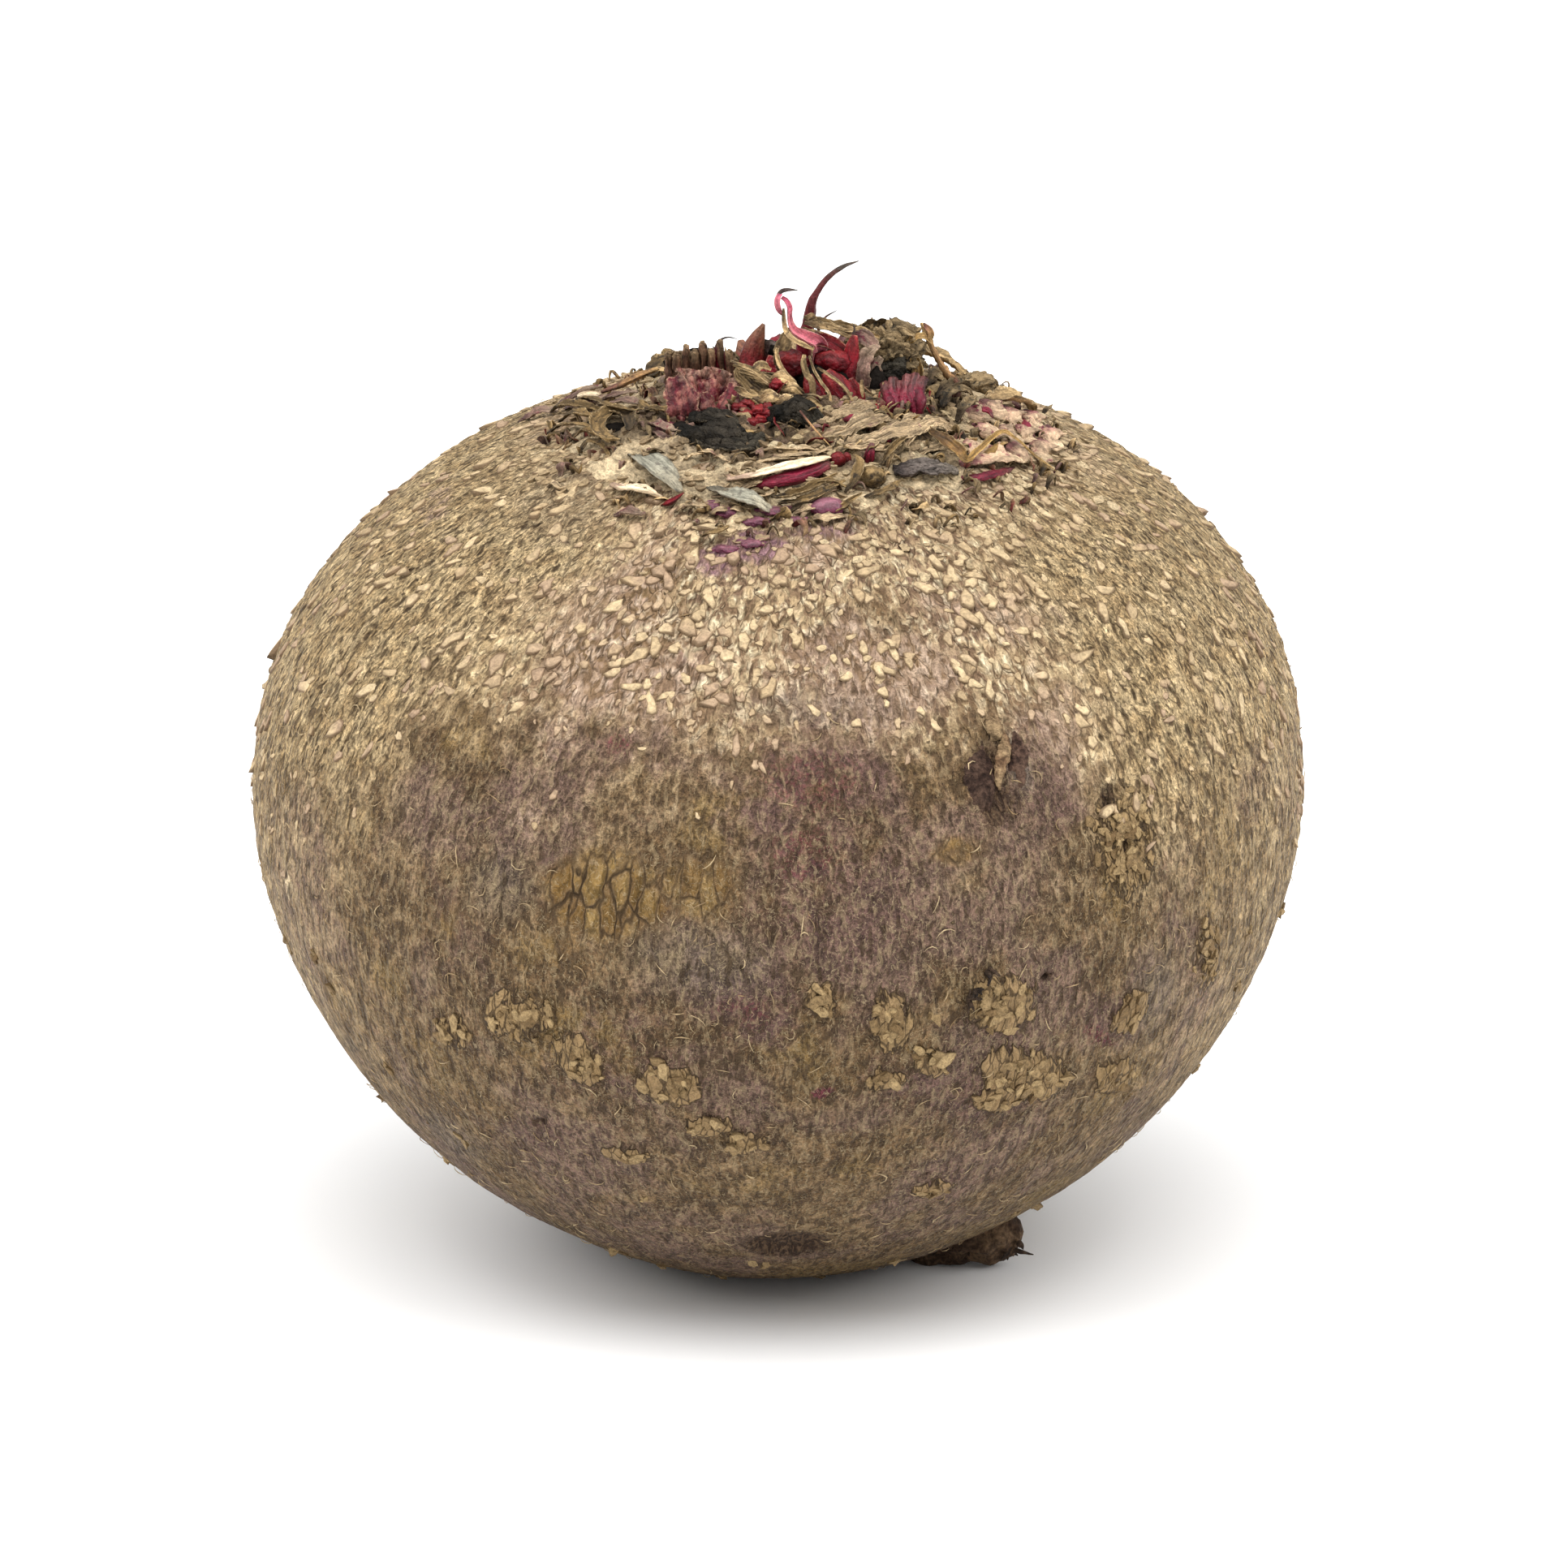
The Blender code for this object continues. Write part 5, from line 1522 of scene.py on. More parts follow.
def build_debris(t):
    """Torn dry bits that lie and stand all over the crown, thinner towards its edge."""
    kinds = (
        ("tan_crumbs", "tan", "tan_dry_leaf", 110, 501),
        ("olive_crumbs", "olive", "olive_dry_leaf", 190, 521),
        ("dark_crumbs", "pleat", "dark_dry_stalk", 90, 541),
        ("grey_crumbs", "crumbly", "grey_crumbly_leaf", 170, 561),
        ("mauve_crumbs", "mauve", "rose_flesh", 45, 581),
        ("crimson_crumbs", "crimson", "crimson_flesh", 24, 601),
    )
    for name, tissue, slot, count, seed in kinds:
        rng = np.random.default_rng(seed)
        s = Shape()
        for k in range(count):
            reach = CRUMB_REACH * rng.uniform(0.06, 1.0) ** 0.6 * (0.5 if tissue == "crimson" else 1.0)
            angle = rng.uniform(0.0, 2 * math.pi)
            if reach * math.cos(angle) > 9.0 and rng.uniform() < 0.45:
                continue
            inner = max(0.0, 1.0 - reach / 17.0)
            turn = angle + math.pi / 2 + rng.normal(0.0, 0.6)
            length = rng.uniform(0.7, 2.4) * (0.75 + 0.7 * inner)
            step = np.array([math.sin(turn), math.cos(turn)]) * length / 3.0
            spot = np.array([CROWN_MIDDLE + reach * math.sin(angle), reach * math.cos(angle)])
            bow = np.array([step[1], -step[0]]) * rng.normal(0.0, 0.5)
            high = 0.15 + 1.5 * inner + rng.uniform(0.0, 0.3 + 0.3 * inner)
            rows = [(*(spot - 1.5 * step), high - 0.5), (*(spot - 0.5 * step + bow), high + rng.uniform(0.0, 0.5)),
                    (*(spot + 0.5 * step + bow), high + rng.uniform(0.0, 0.6)), (*(spot + 1.5 * step), high - 0.5)]
            if rng.uniform() < 0.10 + 0.35 * inner:
                rows[3] = (*(spot + 1.3 * step), high + rng.uniform(0.4, 0.9 + 1.4 * inner))
            width = rng.uniform(0.16, 0.5)
            w = width * rng.uniform(0.35, 1.25, 4)
            if rng.uniform() < 0.3:
                stalk(s, crown_point(rows), (width * 0.3, width * 0.5, width * 0.4, 0.03), sides=7, flat=0.7,
                      ribs=3, rib_depth=0.15, rough=0.3, steps=12, seed=seed + k, tone=rng.uniform(0.0, 1.0))
            else:
                sheet(s, crown_point(rows), w, curl=rng.uniform(-1.0, 1.6), thick=0.12, ruffle=0.25, fold=0.35,
                      ragged=0.9, steps=14, across=6, twist=rng.normal(0.0, 0.7), seed=seed + k,
                      tone=rng.uniform(0.0, 1.0))
        s.make(name, t[tissue])


TOP_LIMIT = 86.4


def tissues():
    """Materials of the leaf remnants, by name."""
    return {
        "pink": leaf_material("pink_flesh", (0.34, 0.075, 0.10), (0.60, 0.17, 0.21), (0.58, 0.12, 0.19),
                              edge=(0.42, 0.24, 0.19), streak=0.6, rough=0.35, specular=0.3, subsurface=0.1),
        "crimson": leaf_material("crimson_flesh", (0.060, 0.002, 0.004), (0.115, 0.003, 0.007),
                                 (0.16, 0.014, 0.015), edge=(0.24, 0.11, 0.07), streak=1.0, rough=0.3,
                                 specular=0.2),
        "magenta": leaf_material("magenta_flesh", (0.12, 0.006, 0.018), (0.175, 0.010, 0.028), (0.13, 0.045, 0.042),
                                 blotch=(0.24, 0.075, 0.09), blotch_low=0.60, streak=1.0, rough=0.35,
                                 specular=0.25),
        "rose": leaf_material("rose_flesh", (0.08, 0.010, 0.012), (0.20, 0.065, 0.052), (0.26, 0.135, 0.095),
                              edge=(0.30, 0.19, 0.12), blotch=(0.085, 0.006, 0.011), blotch_low=0.45, streak=1.0,
                              rough=0.5, specular=0.25, subsurface=0.1),
        "fin": leaf_material("red_brown_stalk", (0.10, 0.004, 0.007), (0.125, 0.010, 0.011), (0.17, 0.075, 0.042),
                             edge=(0.21, 0.13, 0.075), streak=0.7, rough=0.4, specular=0.25),
        "tan": leaf_material("tan_dry_leaf", (0.17, 0.105, 0.05), (0.37, 0.252, 0.122), (0.30, 0.198, 0.09),
                             edge=(0.43, 0.32, 0.18), blotch=(0.12, 0.078, 0.045), blotch_low=0.54, streak=1.1,
                             rough=0.65),
        "paper": leaf_material("papery_leaf", (0.24, 0.165, 0.095), (0.38, 0.275, 0.16), (0.33, 0.235, 0.135),
                               edge=(0.46, 0.35, 0.21), blotch=(0.25, 0.14, 0.11), blotch_low=0.58, streak=1.0,
                               rough=0.6, spacing=4.5),
        "amber": leaf_material("amber_dry_leaf", (0.16, 0.085, 0.03), (0.27, 0.155, 0.045), (0.33, 0.21, 0.085),
                               edge=(0.40, 0.28, 0.12), streak=1.0, rough=0.5, specular=0.25),
        "olive": leaf_material("olive_dry_leaf", (0.070, 0.046, 0.023), (0.158, 0.100, 0.040), (0.245, 0.16, 0.068),
                               edge=(0.34, 0.245, 0.13), blotch=(0.045, 0.030, 0.017), streak=1.1, rough=0.65),
        "pleat": leaf_material("pleated_dry_leaf", (0.13, 0.022, 0.02), (0.145, 0.07, 0.042), (0.23, 0.15, 0.08),
                               edge=(0.30, 0.21, 0.12), blotch=(0.045, 0.026, 0.018), blotch_low=0.56, streak=1.0,
                               rough=0.6),
        "brown": leaf_material("brown_dry_stalk", (0.15, 0.065, 0.045), (0.27, 0.15, 0.065), (0.38, 0.24, 0.10),
                               blotch=(0.10, 0.055, 0.03), streak=0.9, rough=0.6),
        "dark": leaf_material("dark_dry_stalk", (0.20, 0.006, 0.018), (0.060, 0.036, 0.030), (0.080, 0.060, 0.048),
                              blotch=(0.09, 0.02, 0.025), blotch_low=0.64, streak=0.6, rough=0.5, specular=0.25),
        "wisp": leaf_material("wisp_stalk", (0.20, 0.006, 0.018), (0.105, 0.016, 0.017), (0.075, 0.055, 0.042),
                              streak=0.6, rough=0.45, specular=0.25),
        "crumbly": leaf_material("grey_crumbly_leaf", (0.072, 0.048, 0.028), (0.195, 0.137, 0.072),
                                 (0.27, 0.19, 0.10), edge=(0.04, 0.03, 0.02), blotch=(0.05, 0.04, 0.027),
                                 streak=0.9, rough=0.85, relief=0.5),
        "grey": leaf_material("grey_leaf", (0.16, 0.138, 0.10), (0.245, 0.232, 0.178), (0.30, 0.265, 0.19),
                              edge=(0.18, 0.145, 0.105), blotch=(0.13, 0.115, 0.09), streak=0.8, rough=0.6),
        "slate": leaf_material("slate_leaf", (0.07, 0.052, 0.046), (0.13, 0.105, 0.09), (0.17, 0.14, 0.11),
                               blotch=(0.045, 0.034, 0.03), streak=1.0, rough=0.75, relief=0.5, spacing=4.0),
        "black": leaf_material("black_leaf", (0.014, 0.012, 0.009), (0.032, 0.026, 0.019), (0.050, 0.042, 0.030),
                               edge=(0.12, 0.095, 0.06), streak=1.1, rough=0.55, specular=0.1, relief=0.7),
        "cream": leaf_material("cream_flesh", (0.46, 0.31, 0.22), (0.66, 0.53, 0.36), (0.55, 0.42, 0.27),
                               edge=(0.38, 0.27, 0.17), streak=0.8, rough=0.5, specular=0.2),
        "purple": leaf_material("purple_flesh", (0.11, 0.018, 0.042), (0.145, 0.030, 0.062), (0.20, 0.075, 0.10),
                                blotch=(0.24, 0.16, 0.12), blotch_low=0.66, streak=0.7, rough=0.35, specular=0.35,
                                subsurface=0.1),
        "blush": leaf_material("blush_leaf", (0.24, 0.10, 0.090), (0.43, 0.295, 0.19), (0.54, 0.41, 0.255),
                               edge=(0.44, 0.32, 0.20), blotch=(0.18, 0.05, 0.06), blotch_low=0.54, streak=0.8,
                               rough=0.6),
        "mauve": leaf_material("mauve_leaf", (0.105, 0.050, 0.042), (0.175, 0.105, 0.078), (0.25, 0.175, 0.12),
                               edge=(0.27, 0.195, 0.13), blotch=(0.13, 0.025, 0.035), streak=0.8, rough=0.55),
        # Near-black tissue that only stands for shade in gaps and hollows
        "shade_fill": leaf_material("shade_fill_tissue", (0.006, 0.005, 0.004), (0.010, 0.008, 0.007), (0.014, 0.011, 0.009),
                             streak=0.5, rough=0.9, specular=0.05),
    }


def build_middle(t):
    """The young stalks and fleshy leaf bases in the middle of the crown."""
    s = Shape()
    stem(s, [(990, 430, -4), (995, 406, -4), (998, 389, -4), (1001, 371, -4), (1008, 358, -4), (1021, 341, -4),
             (1039, 328.5, -4), (1058, 321.5, -4)], (0.8, 0.62, 0.55, 0.5, 0.38, 0.27, 0.24, 0.20, 0.04), sides=16,
         ribs=4, rib_depth=0.14, steps=64, seed=3)
    stem(s, [(1008, 412, -3), (1012, 399, -3), (1018, 390, -3), (1031, 382.5, -3)], (0.22, 0.16, 0.13, 0.09, 0.03),
         sides=8, steps=30, seed=4)
    s.detail("tall_stalk_wisp", t["wisp"], "dark_dry_stalk")

    # Pink stalk: loop at the top, channel of pink flesh below it, thin dark hook
    s = Shape()
    leaf(s, [(1010, 440, 0.4), (1008, 424, 0.6), (994, 416, 0.6), (981, 409, 0.5), (975, 400, 0.4), (973, 389, 0.3),
             (973, 379, 0.2), (969, 371, 0.1), (963, 366.5, 0)],
         (0.9, 0.9, 0.85, 0.72, 0.52, 0.36, 0.26, 0.3, 0.3, 0.2), curl=1.7, thick=0.26, ruffle=0.08, ragged=0.06,
         steps=90, across=18, seed=11, tone=0.6)
    flap(s, [(966, 389, 0.5), (960, 383, 0.6), (957.5, 374, 0.5), (959, 366, 0.3), (963, 362, 0.1)],
         (0.1, 0.24, 0.28, 0.25, 0.14), curl=0.9, ruffle=0.06, ragged=0.08, steps=40, across=8, seed=12, tone=0.3)
    s.detail("pink_curled_stalk", t["pink"], "pink_flesh")
    s = Shape()
    stalk(s, seen([(958, 372, 0.2), (959, 364, 0.1), (963, 359, 0), (971, 357, 0), (983, 357.6, 0)]),
          (0.1, 0.17, 0.19, 0.15, 0.03), sides=10, flat=0.6, steps=40, seed=14, tone=0.5)
    stem(s, [(1051, 420, 0), (1053, 408, 0), (1051.5, 399, 0)], (0.4, 0.3, 0.18, 0.03), sides=8, flat=0.5, steps=20,
         seed=45, tone=0.6)
    stem(s, [(887, 440, -3), (884, 428, -3), (888, 419, -3), (897, 415.5, -3), (908, 417.5, -3)],
         (0.7, 0.45, 0.25, 0.12, 0.08, 0.03), sides=8, steps=36, seed=46)
    leaf(s, [(940, 440, -2.6), (944, 428, -2.5), (950, 422, -2.4), (960, 427, -2.2)], (0.6, 0.55, 0.4, 0.25, 0.06),
         curl=0.8, ruffle=0.15, steps=30, across=8, seed=47)
    stalk(s, seen([(1098, 406, -4.4), (1099, 398, -4.4), (1096, 391, -4.4)]), (0.45, 0.25, 0.04), seed=48, sides=8)
    stalk(s, seen([(1110, 411, -4), (1122, 410, -4), (1133, 404, -4)]), (0.45, 0.22, 0.04), seed=49, sides=8)
    s.make("dark_spikes", t["dark"])

    # Dried rim down the left edge of the pink stalk, papery strips behind it and a pale rib
    s = Shape()
    flap(s, [(965.5, 380, 0.9), (966, 394, 1.1), (968, 407, 1.3), (976, 417, 1.5), (990, 425, 1.7),
             (1002, 431, 1.8)], (0.1, 0.2, 0.24, 0.24, 0.22, 0.1), curl=0.9, thick=0.2, ruffle=0.05, ragged=0.12,
         steps=56, across=6, seed=13, tone=0.9)
    strips = ((990, 391, 1016, 396, 1050, 411, 0.34), (991, 397, 1022, 404, 1060, 417, 0.34),
              (988, 404, 1008, 411, 1040, 424, 0.28), (1004, 394, 1036, 400, 1072, 409, 0.3),
              (1026, 403, 1058, 407, 1084, 416, 0.34), (1036, 411, 1060, 417, 1080, 425, 0.3),
              (993, 394, 1000, 388, 1006, 393, 0.3), (1010, 398, 1038, 408, 1064, 421, 0.24))
    for k, (x0, y0, x1, y1, x2, y2, width) in enumerate(strips):
        front = -2.4 + 0.4 * (k % 3)
        flap(s, [(x0, y0, front), (x1, y1, front + 0.3), (x2, y2, front + 0.5)], (0.5 * width, width, width, 0.12),
             curl=1.3 - 0.5 * (k % 2), ruffle=0.22, ribs=3, rib_depth=0.06, ragged=0.5, steps=40, across=8,
             twist=0.6 - 0.4 * (k % 3), seed=20 + k, tone=0.15 + 0.2 * (k % 3))
    leaf(s, [(980, 478, 2.8), (968, 462, 2.6), (960, 448, 2.4), (957, 435, 2.2), (958, 429, 2.0)],
         (0.3, 0.3, 0.28, 0.24, 0.2, 0.14), curl=1.2, thick=0.22, ruffle=0.06, ragged=0.1, steps=40, across=8,
         seed=31, tone=1.0)
    leaf(s, [(964, 446, -0.6), (966, 430, -0.8), (970, 414, -1.0), (974, 405, -1.1)], (0.8, 0.8, 0.75, 0.6, 0.3),
         curl=0.6, ruffle=0.15, steps=30, across=10, seed=32, tone=0.0)
    s.make("dried_stalk_rims", t["tan"])

    # Crimson heart: open channel, rounded block below it and the upright lobe at its right end
    s = Shape()
    flap(s, [(1003, 419, 0.2), (1016, 421, 0.4), (1030, 427, 0.5), (1042, 436, 0.5)], (0.75, 0.8, 0.75, 0.5),
         curl=1.4, thick=0.3, ruffle=0.12, ragged=0.1, steps=40, across=16, seed=40, tone=0.35)
    lump(s, seen((1026, 443, 0.6)), (1.55, 1.2, 1.05), rough=0.2, scale=0.6, count=30, seed=41, turn=0.3, tone=0.5)
    leaf(s, [(1043, 462, 1.2), (1047, 446, 0.9), (1050, 428, 0.6), (1053, 413, 0.3)], (0.85, 0.85, 0.75, 0.6, 0.25),
         curl=-0.7, thick=0.5, ruffle=0.1, ragged=0.1, steps=36, across=12, seed=42, tone=0.85)
    lump(s, seen((977, 450, 1.2)), (1.2, 1.0, 1.2), rough=0.3, count=20, seed=44, tone=0.1)
    lump(s, seen((941, 462, 0.8)), (1.0, 0.8, 0.8), rough=0.3, count=16, seed=46, tone=0.5)
    leaf(s, [(952, 466, 2.0), (948, 450, 1.6), (950, 438, 1.4)], (0.5, 0.5, 0.42, 0.2), curl=0.9, thick=0.3,
         ruffle=0.1, steps=26, across=8, seed=47, tone=0.8)
    s.make("crimson_heart", t["crimson"])
    s = Shape()
    flap(s, [(1054, 414, -0.2), (1064, 416, -0.2), (1076, 424, 0), (1083, 430, 0.2)], (0.55, 0.6, 0.5, 0.2),
         curl=0.7, thick=0.25, ruffle=0.15, steps=30, across=10, seed=33, tone=0.7)
    leaf(s, [(1058, 468, 1.0), (1062, 450, 0.7), (1070, 436, 0.4), (1080, 428, 0.2)], (0.8, 0.95, 0.85, 0.6, 0.3),
         curl=0.8, thick=0.25, ruffle=0.3, fold=0.3, steps=36, across=14, seed=34, tone=0.9)
    leaf(s, [(1076, 470, 0.6), (1078, 452, 0.3), (1086, 440, 0.1)], (0.7, 0.7, 0.6, 0.3), curl=0.6, ruffle=0.3,
         fold=0.3, steps=30, across=12, seed=35, tone=0.5)
    s.make("pinkish_dry_folds", t["mauve"])

    # Fleshy lobes with a dried rim, in front
    s = Shape()
    leaf(s, [(1014, 512, 4.2), (1009, 494, 3.9), (1001, 478, 3.5), (996, 462, 3.0)], (0.95, 1.05, 1.05, 0.85, 0.4),
         curl=-1.0, thick=0.5, ruffle=0.15, ragged=0.12, steps=44, across=14, seed=51, tone=0.5)
    s.detail("crimson_leaf_base_left", t["crimson"], "crimson_flesh")
    s = Shape()
    leaf(s, [(1046, 508, 3.9), (1040, 490, 3.6), (1030, 472, 3.1), (1018, 457, 2.6)], (1.2, 1.3, 1.3, 1.1, 0.5),
         curl=-0.8, thick=0.5, ruffle=0.18, ragged=0.15, steps=44, across=14, seed=52, tone=0.6)
    leaf(s, [(1060, 502, 3.0), (1056, 484, 2.8), (1048, 466, 2.5)], (0.5, 0.55, 0.5, 0.2), curl=-0.6, thick=0.4,
         ruffle=0.12, steps=30, across=10, seed=56, tone=0.7)
    s.detail("crimson_leaf_base_right", t["crimson"], "crimson_flesh")
    s = Shape()
    leaf(s, [(1001, 476, 3.9), (994, 462, 3.6), (990, 448, 3.3), (991, 437, 3.0)], (0.25, 0.28, 0.3, 0.26, 0.15),
         curl=0.7, ruffle=0.15, ragged=0.15, steps=36, across=10, seed=57, tone=0.35)
    flap(s, [(997, 438, 3.5), (1003, 456, 3.8), (1012, 471, 4.1), (1022, 486, 4.4), (1024, 505, 4.8)],
         (0.08, 0.11, 0.13, 0.12, 0.08), curl=0.9, thick=0.18, ruffle=0.06, ragged=0.15, steps=50, across=6,
         seed=53, tone=0.9)
    flap(s, [(1007, 453, 3.4), (1020, 461, 3.7), (1036, 473, 4.0), (1047, 487, 4.3), (1052, 499, 4.6)],
         (0.10, 0.15, 0.15, 0.13, 0.08), curl=0.9, thick=0.18, ruffle=0.07, ragged=0.15, steps=50, across=6,
         seed=54, tone=0.8)
    flap(s, [(1062, 468, 3.0), (1062, 480, 3.2), (1063, 490, 3.5)], (0.12, 0.2, 0.08), curl=0.9, ruffle=0.06,
         steps=24, across=6, seed=58, tone=0.6)
    s.make("lobe_rims", t["tan"])

    s = Shape()
    sheet(s, rooted(seen([(929, 472, -1.2), (926, 450, -1.8), (930, 424, -2.2), (941, 399, -2.4)]), 0.6),
          (1.1, 1.25, 1.35, 1.0, 0.14), FACING, curl=-1.2, thick=0.55, ruffle=0.08, ragged=0.06, steps=48,
          across=16, seed=61, tone=0.6)
    s.detail("fin_stalk_stub", t["fin"], "dark_red_stalk")

    # Fan of fibres, and crumpled bits below the middle
    s = Shape()
    for k, (x, y) in enumerate(((900, 445), (903, 450), (907, 456), (912, 462), (919, 468), (930, 474), (942, 478))):
        flap(s, [(958, 478, 3.6), (0.5 * (958 + x), 0.5 * (476 + y) - 4, 3.3), (x, y, 2.6)], (0.2, 0.26, 0.1),
             curl=1.2 - 0.25 * k, thick=0.16, ruffle=0.1, ribs=2, rib_depth=0.04, steps=34, across=6, seed=70 + k,
             tone=0.25 + 0.15 * (k % 4))
    leaf(s, [(948, 484, 3.5), (930, 470, 3.0), (908, 452, 2.4)], (1.5, 1.6, 1.3, 0.5), curl=-0.5, ruffle=0.3,
         ribs=9, rib_depth=0.12, steps=40, across=36, seed=77, tone=0.2)
    rows = (((926, 462, 3.2), (938, 452, 3.0), (950, 456, 3.2), 0.5),
            ((950, 470, 3.4), (964, 466, 3.6), (980, 474, 3.8), 0.5),
            ((962, 482, 4.0), (976, 478, 4.2), (990, 486, 4.4), 0.45),
            ((905, 478, 3.6), (920, 486, 4.0), (940, 490, 4.2), 0.4),
            ((934, 494, 4.6), (950, 488, 4.8), (966, 494, 5.0), 0.45),
            ((956, 498, 5.0), (972, 492, 5.4), (992, 500, 5.6), 0.5),
            ((990, 500, 5.4), (1000, 494, 5.4), (1012, 502, 5.4), 0.35))
    for k, (a, b, c, width) in enumerate(rows):
        flap(s, (a, b, c), (0.15, width, 0.15), curl=1.2 - 0.7 * (k % 3), ruffle=0.3, fold=0.3, ragged=0.5,
             steps=34, across=10, twist=0.4 * (k % 3) - 0.3, seed=85 + k, tone=0.5 + 0.2 * (k % 3))
    s.detail("tan_fibrous_scale", t["tan"], "tan_dry_leaf")
    s = Shape()
    for k, (x, y, front) in enumerate(((912, 503, 5.2), (924, 499, 5.0), (934, 508, 5.6), (944, 504, 5.4),
                                       (920, 512, 6.0), (938, 518, 6.4), (927, 522, 6.8), (950, 511, 5.8),
                                       (957, 474, 3.8), (1000, 508, 5.2))):
        lump(s, seen((x, y, front)), (0.6, 0.5, 0.5), rough=0.45, scale=1.6, count=12, seed=96 + k,
             tone=0.3 + 0.25 * (k % 3))
    s.make("crimson_crumbly_bits", t["crimson"])
    # Near-black lumps that stand for the shade in the gaps between the pieces
    s = Shape()
    for k, (x, y, front, a, b, c) in enumerate(((1078, 484, 0.4, 1.2, 1.0, 2.1), (978, 522, 5.6, 2.4, 1.0, 1.0),
                                                (1010, 470, 1.2, 2.6, 0.8, 1.4), (940, 440, -3.4, 1.8, 0.6, 1.6),
                                                (870, 450, -4.6, 3.4, 0.6, 1.4))):
        lump(s, seen((x, y, front)), (a, b, c), rough=0.2, scale=1.0, count=12, seed=106 + k, tone=0.3)
    s.make("shade_fill_gaps", t["shade_fill"])


def build_left(t):
    """Leaf bases, stalks and scales left of the middle."""
    s = Shape()
    tops = ((823, 432), (834, 433), (845, 424), (856, 430), (866, 420), (877, 429), (887, 418),
            (899, 430), (908, 442))
    for k, (x, y) in enumerate(tops):
        front = -2.8 + 0.25 * (k % 2)
        stem(s, [(x + 3, 474, front + 0.4), (x + 1, 455, front), (x, y + 6, front), (x - 1, y, front)],
             (0.44, 0.42, 0.38, 0.34, 0.12), sides=12, flat=0.8, rough=0.4, steps=26, seed=80 + k,
             tone=0.25 + 0.25 * (k % 3))
    leaf(s, [(866, 474, -3.4), (866, 452, -3.8), (866, 432, -4.0)], (2.9, 3.0, 2.9, 2.6), ruffle=0.3, ribs=9,
         rib_depth=0.25, ragged=0.15, steps=24, across=50, seed=91, tone=0.1)
    s.detail("pleated_leaf_base", t["pleat"], "olive_dry_leaf")

    s = Shape()
    sheet(s, rooted(seen([(868, 512, 3.8), (868, 492, 2.6), (866, 472, 1.4), (864, 456, 0.6)])),
          (2.6, 2.8, 2.9, 2.7, 2.0), TILTED, curl=0.35, thick=0.4, ruffle=1.3, fold=1.0, ragged=0.45, steps=40,
          across=44, seed=93, tone=0.5)
    leaf(s, [(842, 506, 4.2), (838, 490, 3.4), (834, 474, 2.6), (832, 464, 2.0)], (1.3, 1.4, 1.3, 1.0, 0.6),
         curl=0.5, thick=0.35, ruffle=0.5, fold=0.4, ragged=0.4, steps=34, across=20, seed=92, tone=0.4)
    leaf(s, [(872, 508, 4.4), (870, 496, 3.9), (866, 484, 3.4)], (1.0, 1.2, 1.0, 0.5), curl=-0.7, thick=0.35,
         ruffle=0.4, fold=0.4, ragged=0.4, steps=30, across=16, seed=95, tone=0.1)
    leaf(s, [(896, 508, 4.2), (903, 487, 3.4), (905, 472, 2.6)], (1.1, 1.1, 0.9, 0.6), curl=-0.6, thick=0.4,
         ruffle=0.25, steps=28, across=14, seed=94, tone=0.75)
    s.detail("rose_leaf_base", t["rose"], "rose_flesh")

    s = Shape()
    stalk(s, seen([(741, 483, -4.6), (760, 476, -4.5), (782, 465, -4.3), (805, 456, -4.2), (812, 455, -4.2)]),
          (0.2, 0.4, 0.46, 0.32, 0.08), sides=16, flat=0.6, ribs=5, rib_depth=0.12, rough=0.2, steps=50, seed=95,
          tone=0.6)
    s.detail("left_dry_stalk", t["brown"], "brown_dry_stalk")
    s = Shape()
    sheet(s, rooted(lying([(688, 500, 0.2), (706, 490, 0.9), (726, 481, 1.5), (748, 477, 1.4)])),
          (0.3, 0.4, 0.5, 0.45, 0.2), TILTED, curl=-1.3, thick=0.25, ruffle=0.15, steps=40, across=12, seed=96,
          tone=0.1)
    sheet(s, rooted(lying([(700, 502, 0.2), (716, 498, 0.8), (734, 495, 0.9), (752, 487, 0.9)])),
          (0.3, 0.35, 0.4, 0.35, 0.15), TILTED, curl=-1.0, thick=0.25, ruffle=0.15, steps=40, across=10, seed=99,
          tone=0.2)
    s.detail("seed_hull", t["mauve"], "dark_dry_stalk")
    s = Shape()
    lump(s, lying((731, 488.5, 1.0)), (1.05, 0.45, 0.34), rough=0.06, count=16, seed=97, turn=-0.25, tone=0.6)
    s.detail("cream_seed", t["cream"], "cream_flesh")
    s = Shape()
    for k, row in enumerate((((745, 496, 0.5), (766, 486, 1.2), (790, 484, 1.0)),
                             ((752, 503, 0.4), (772, 496, 1.1), (800, 500, 0.6)),
                             ((800, 520, 0.4), (818, 524, 1.0), (838, 530, 0.6)),
                             ((806, 534, 0.3), (822, 538, 0.7), (838, 536, 0.5)),
                             ((758, 632, 0.2), (777, 631, 0.5), (797, 634, 0.2)),
                             ((640, 520, 0.1), (662, 509, 0.6), (690, 505, 0.3)))):
        sheet(s, lying(row), (0.2, 0.42, 0.2), TILTED, curl=0.9 - 0.4 * (k % 2), thick=0.25, ruffle=0.35, fold=0.4,
              ragged=0.5, steps=30, across=12, seed=100 + k, tone=0.2 + 0.2 * (k % 3))
    s.make("mauve_folds", t["mauve"])

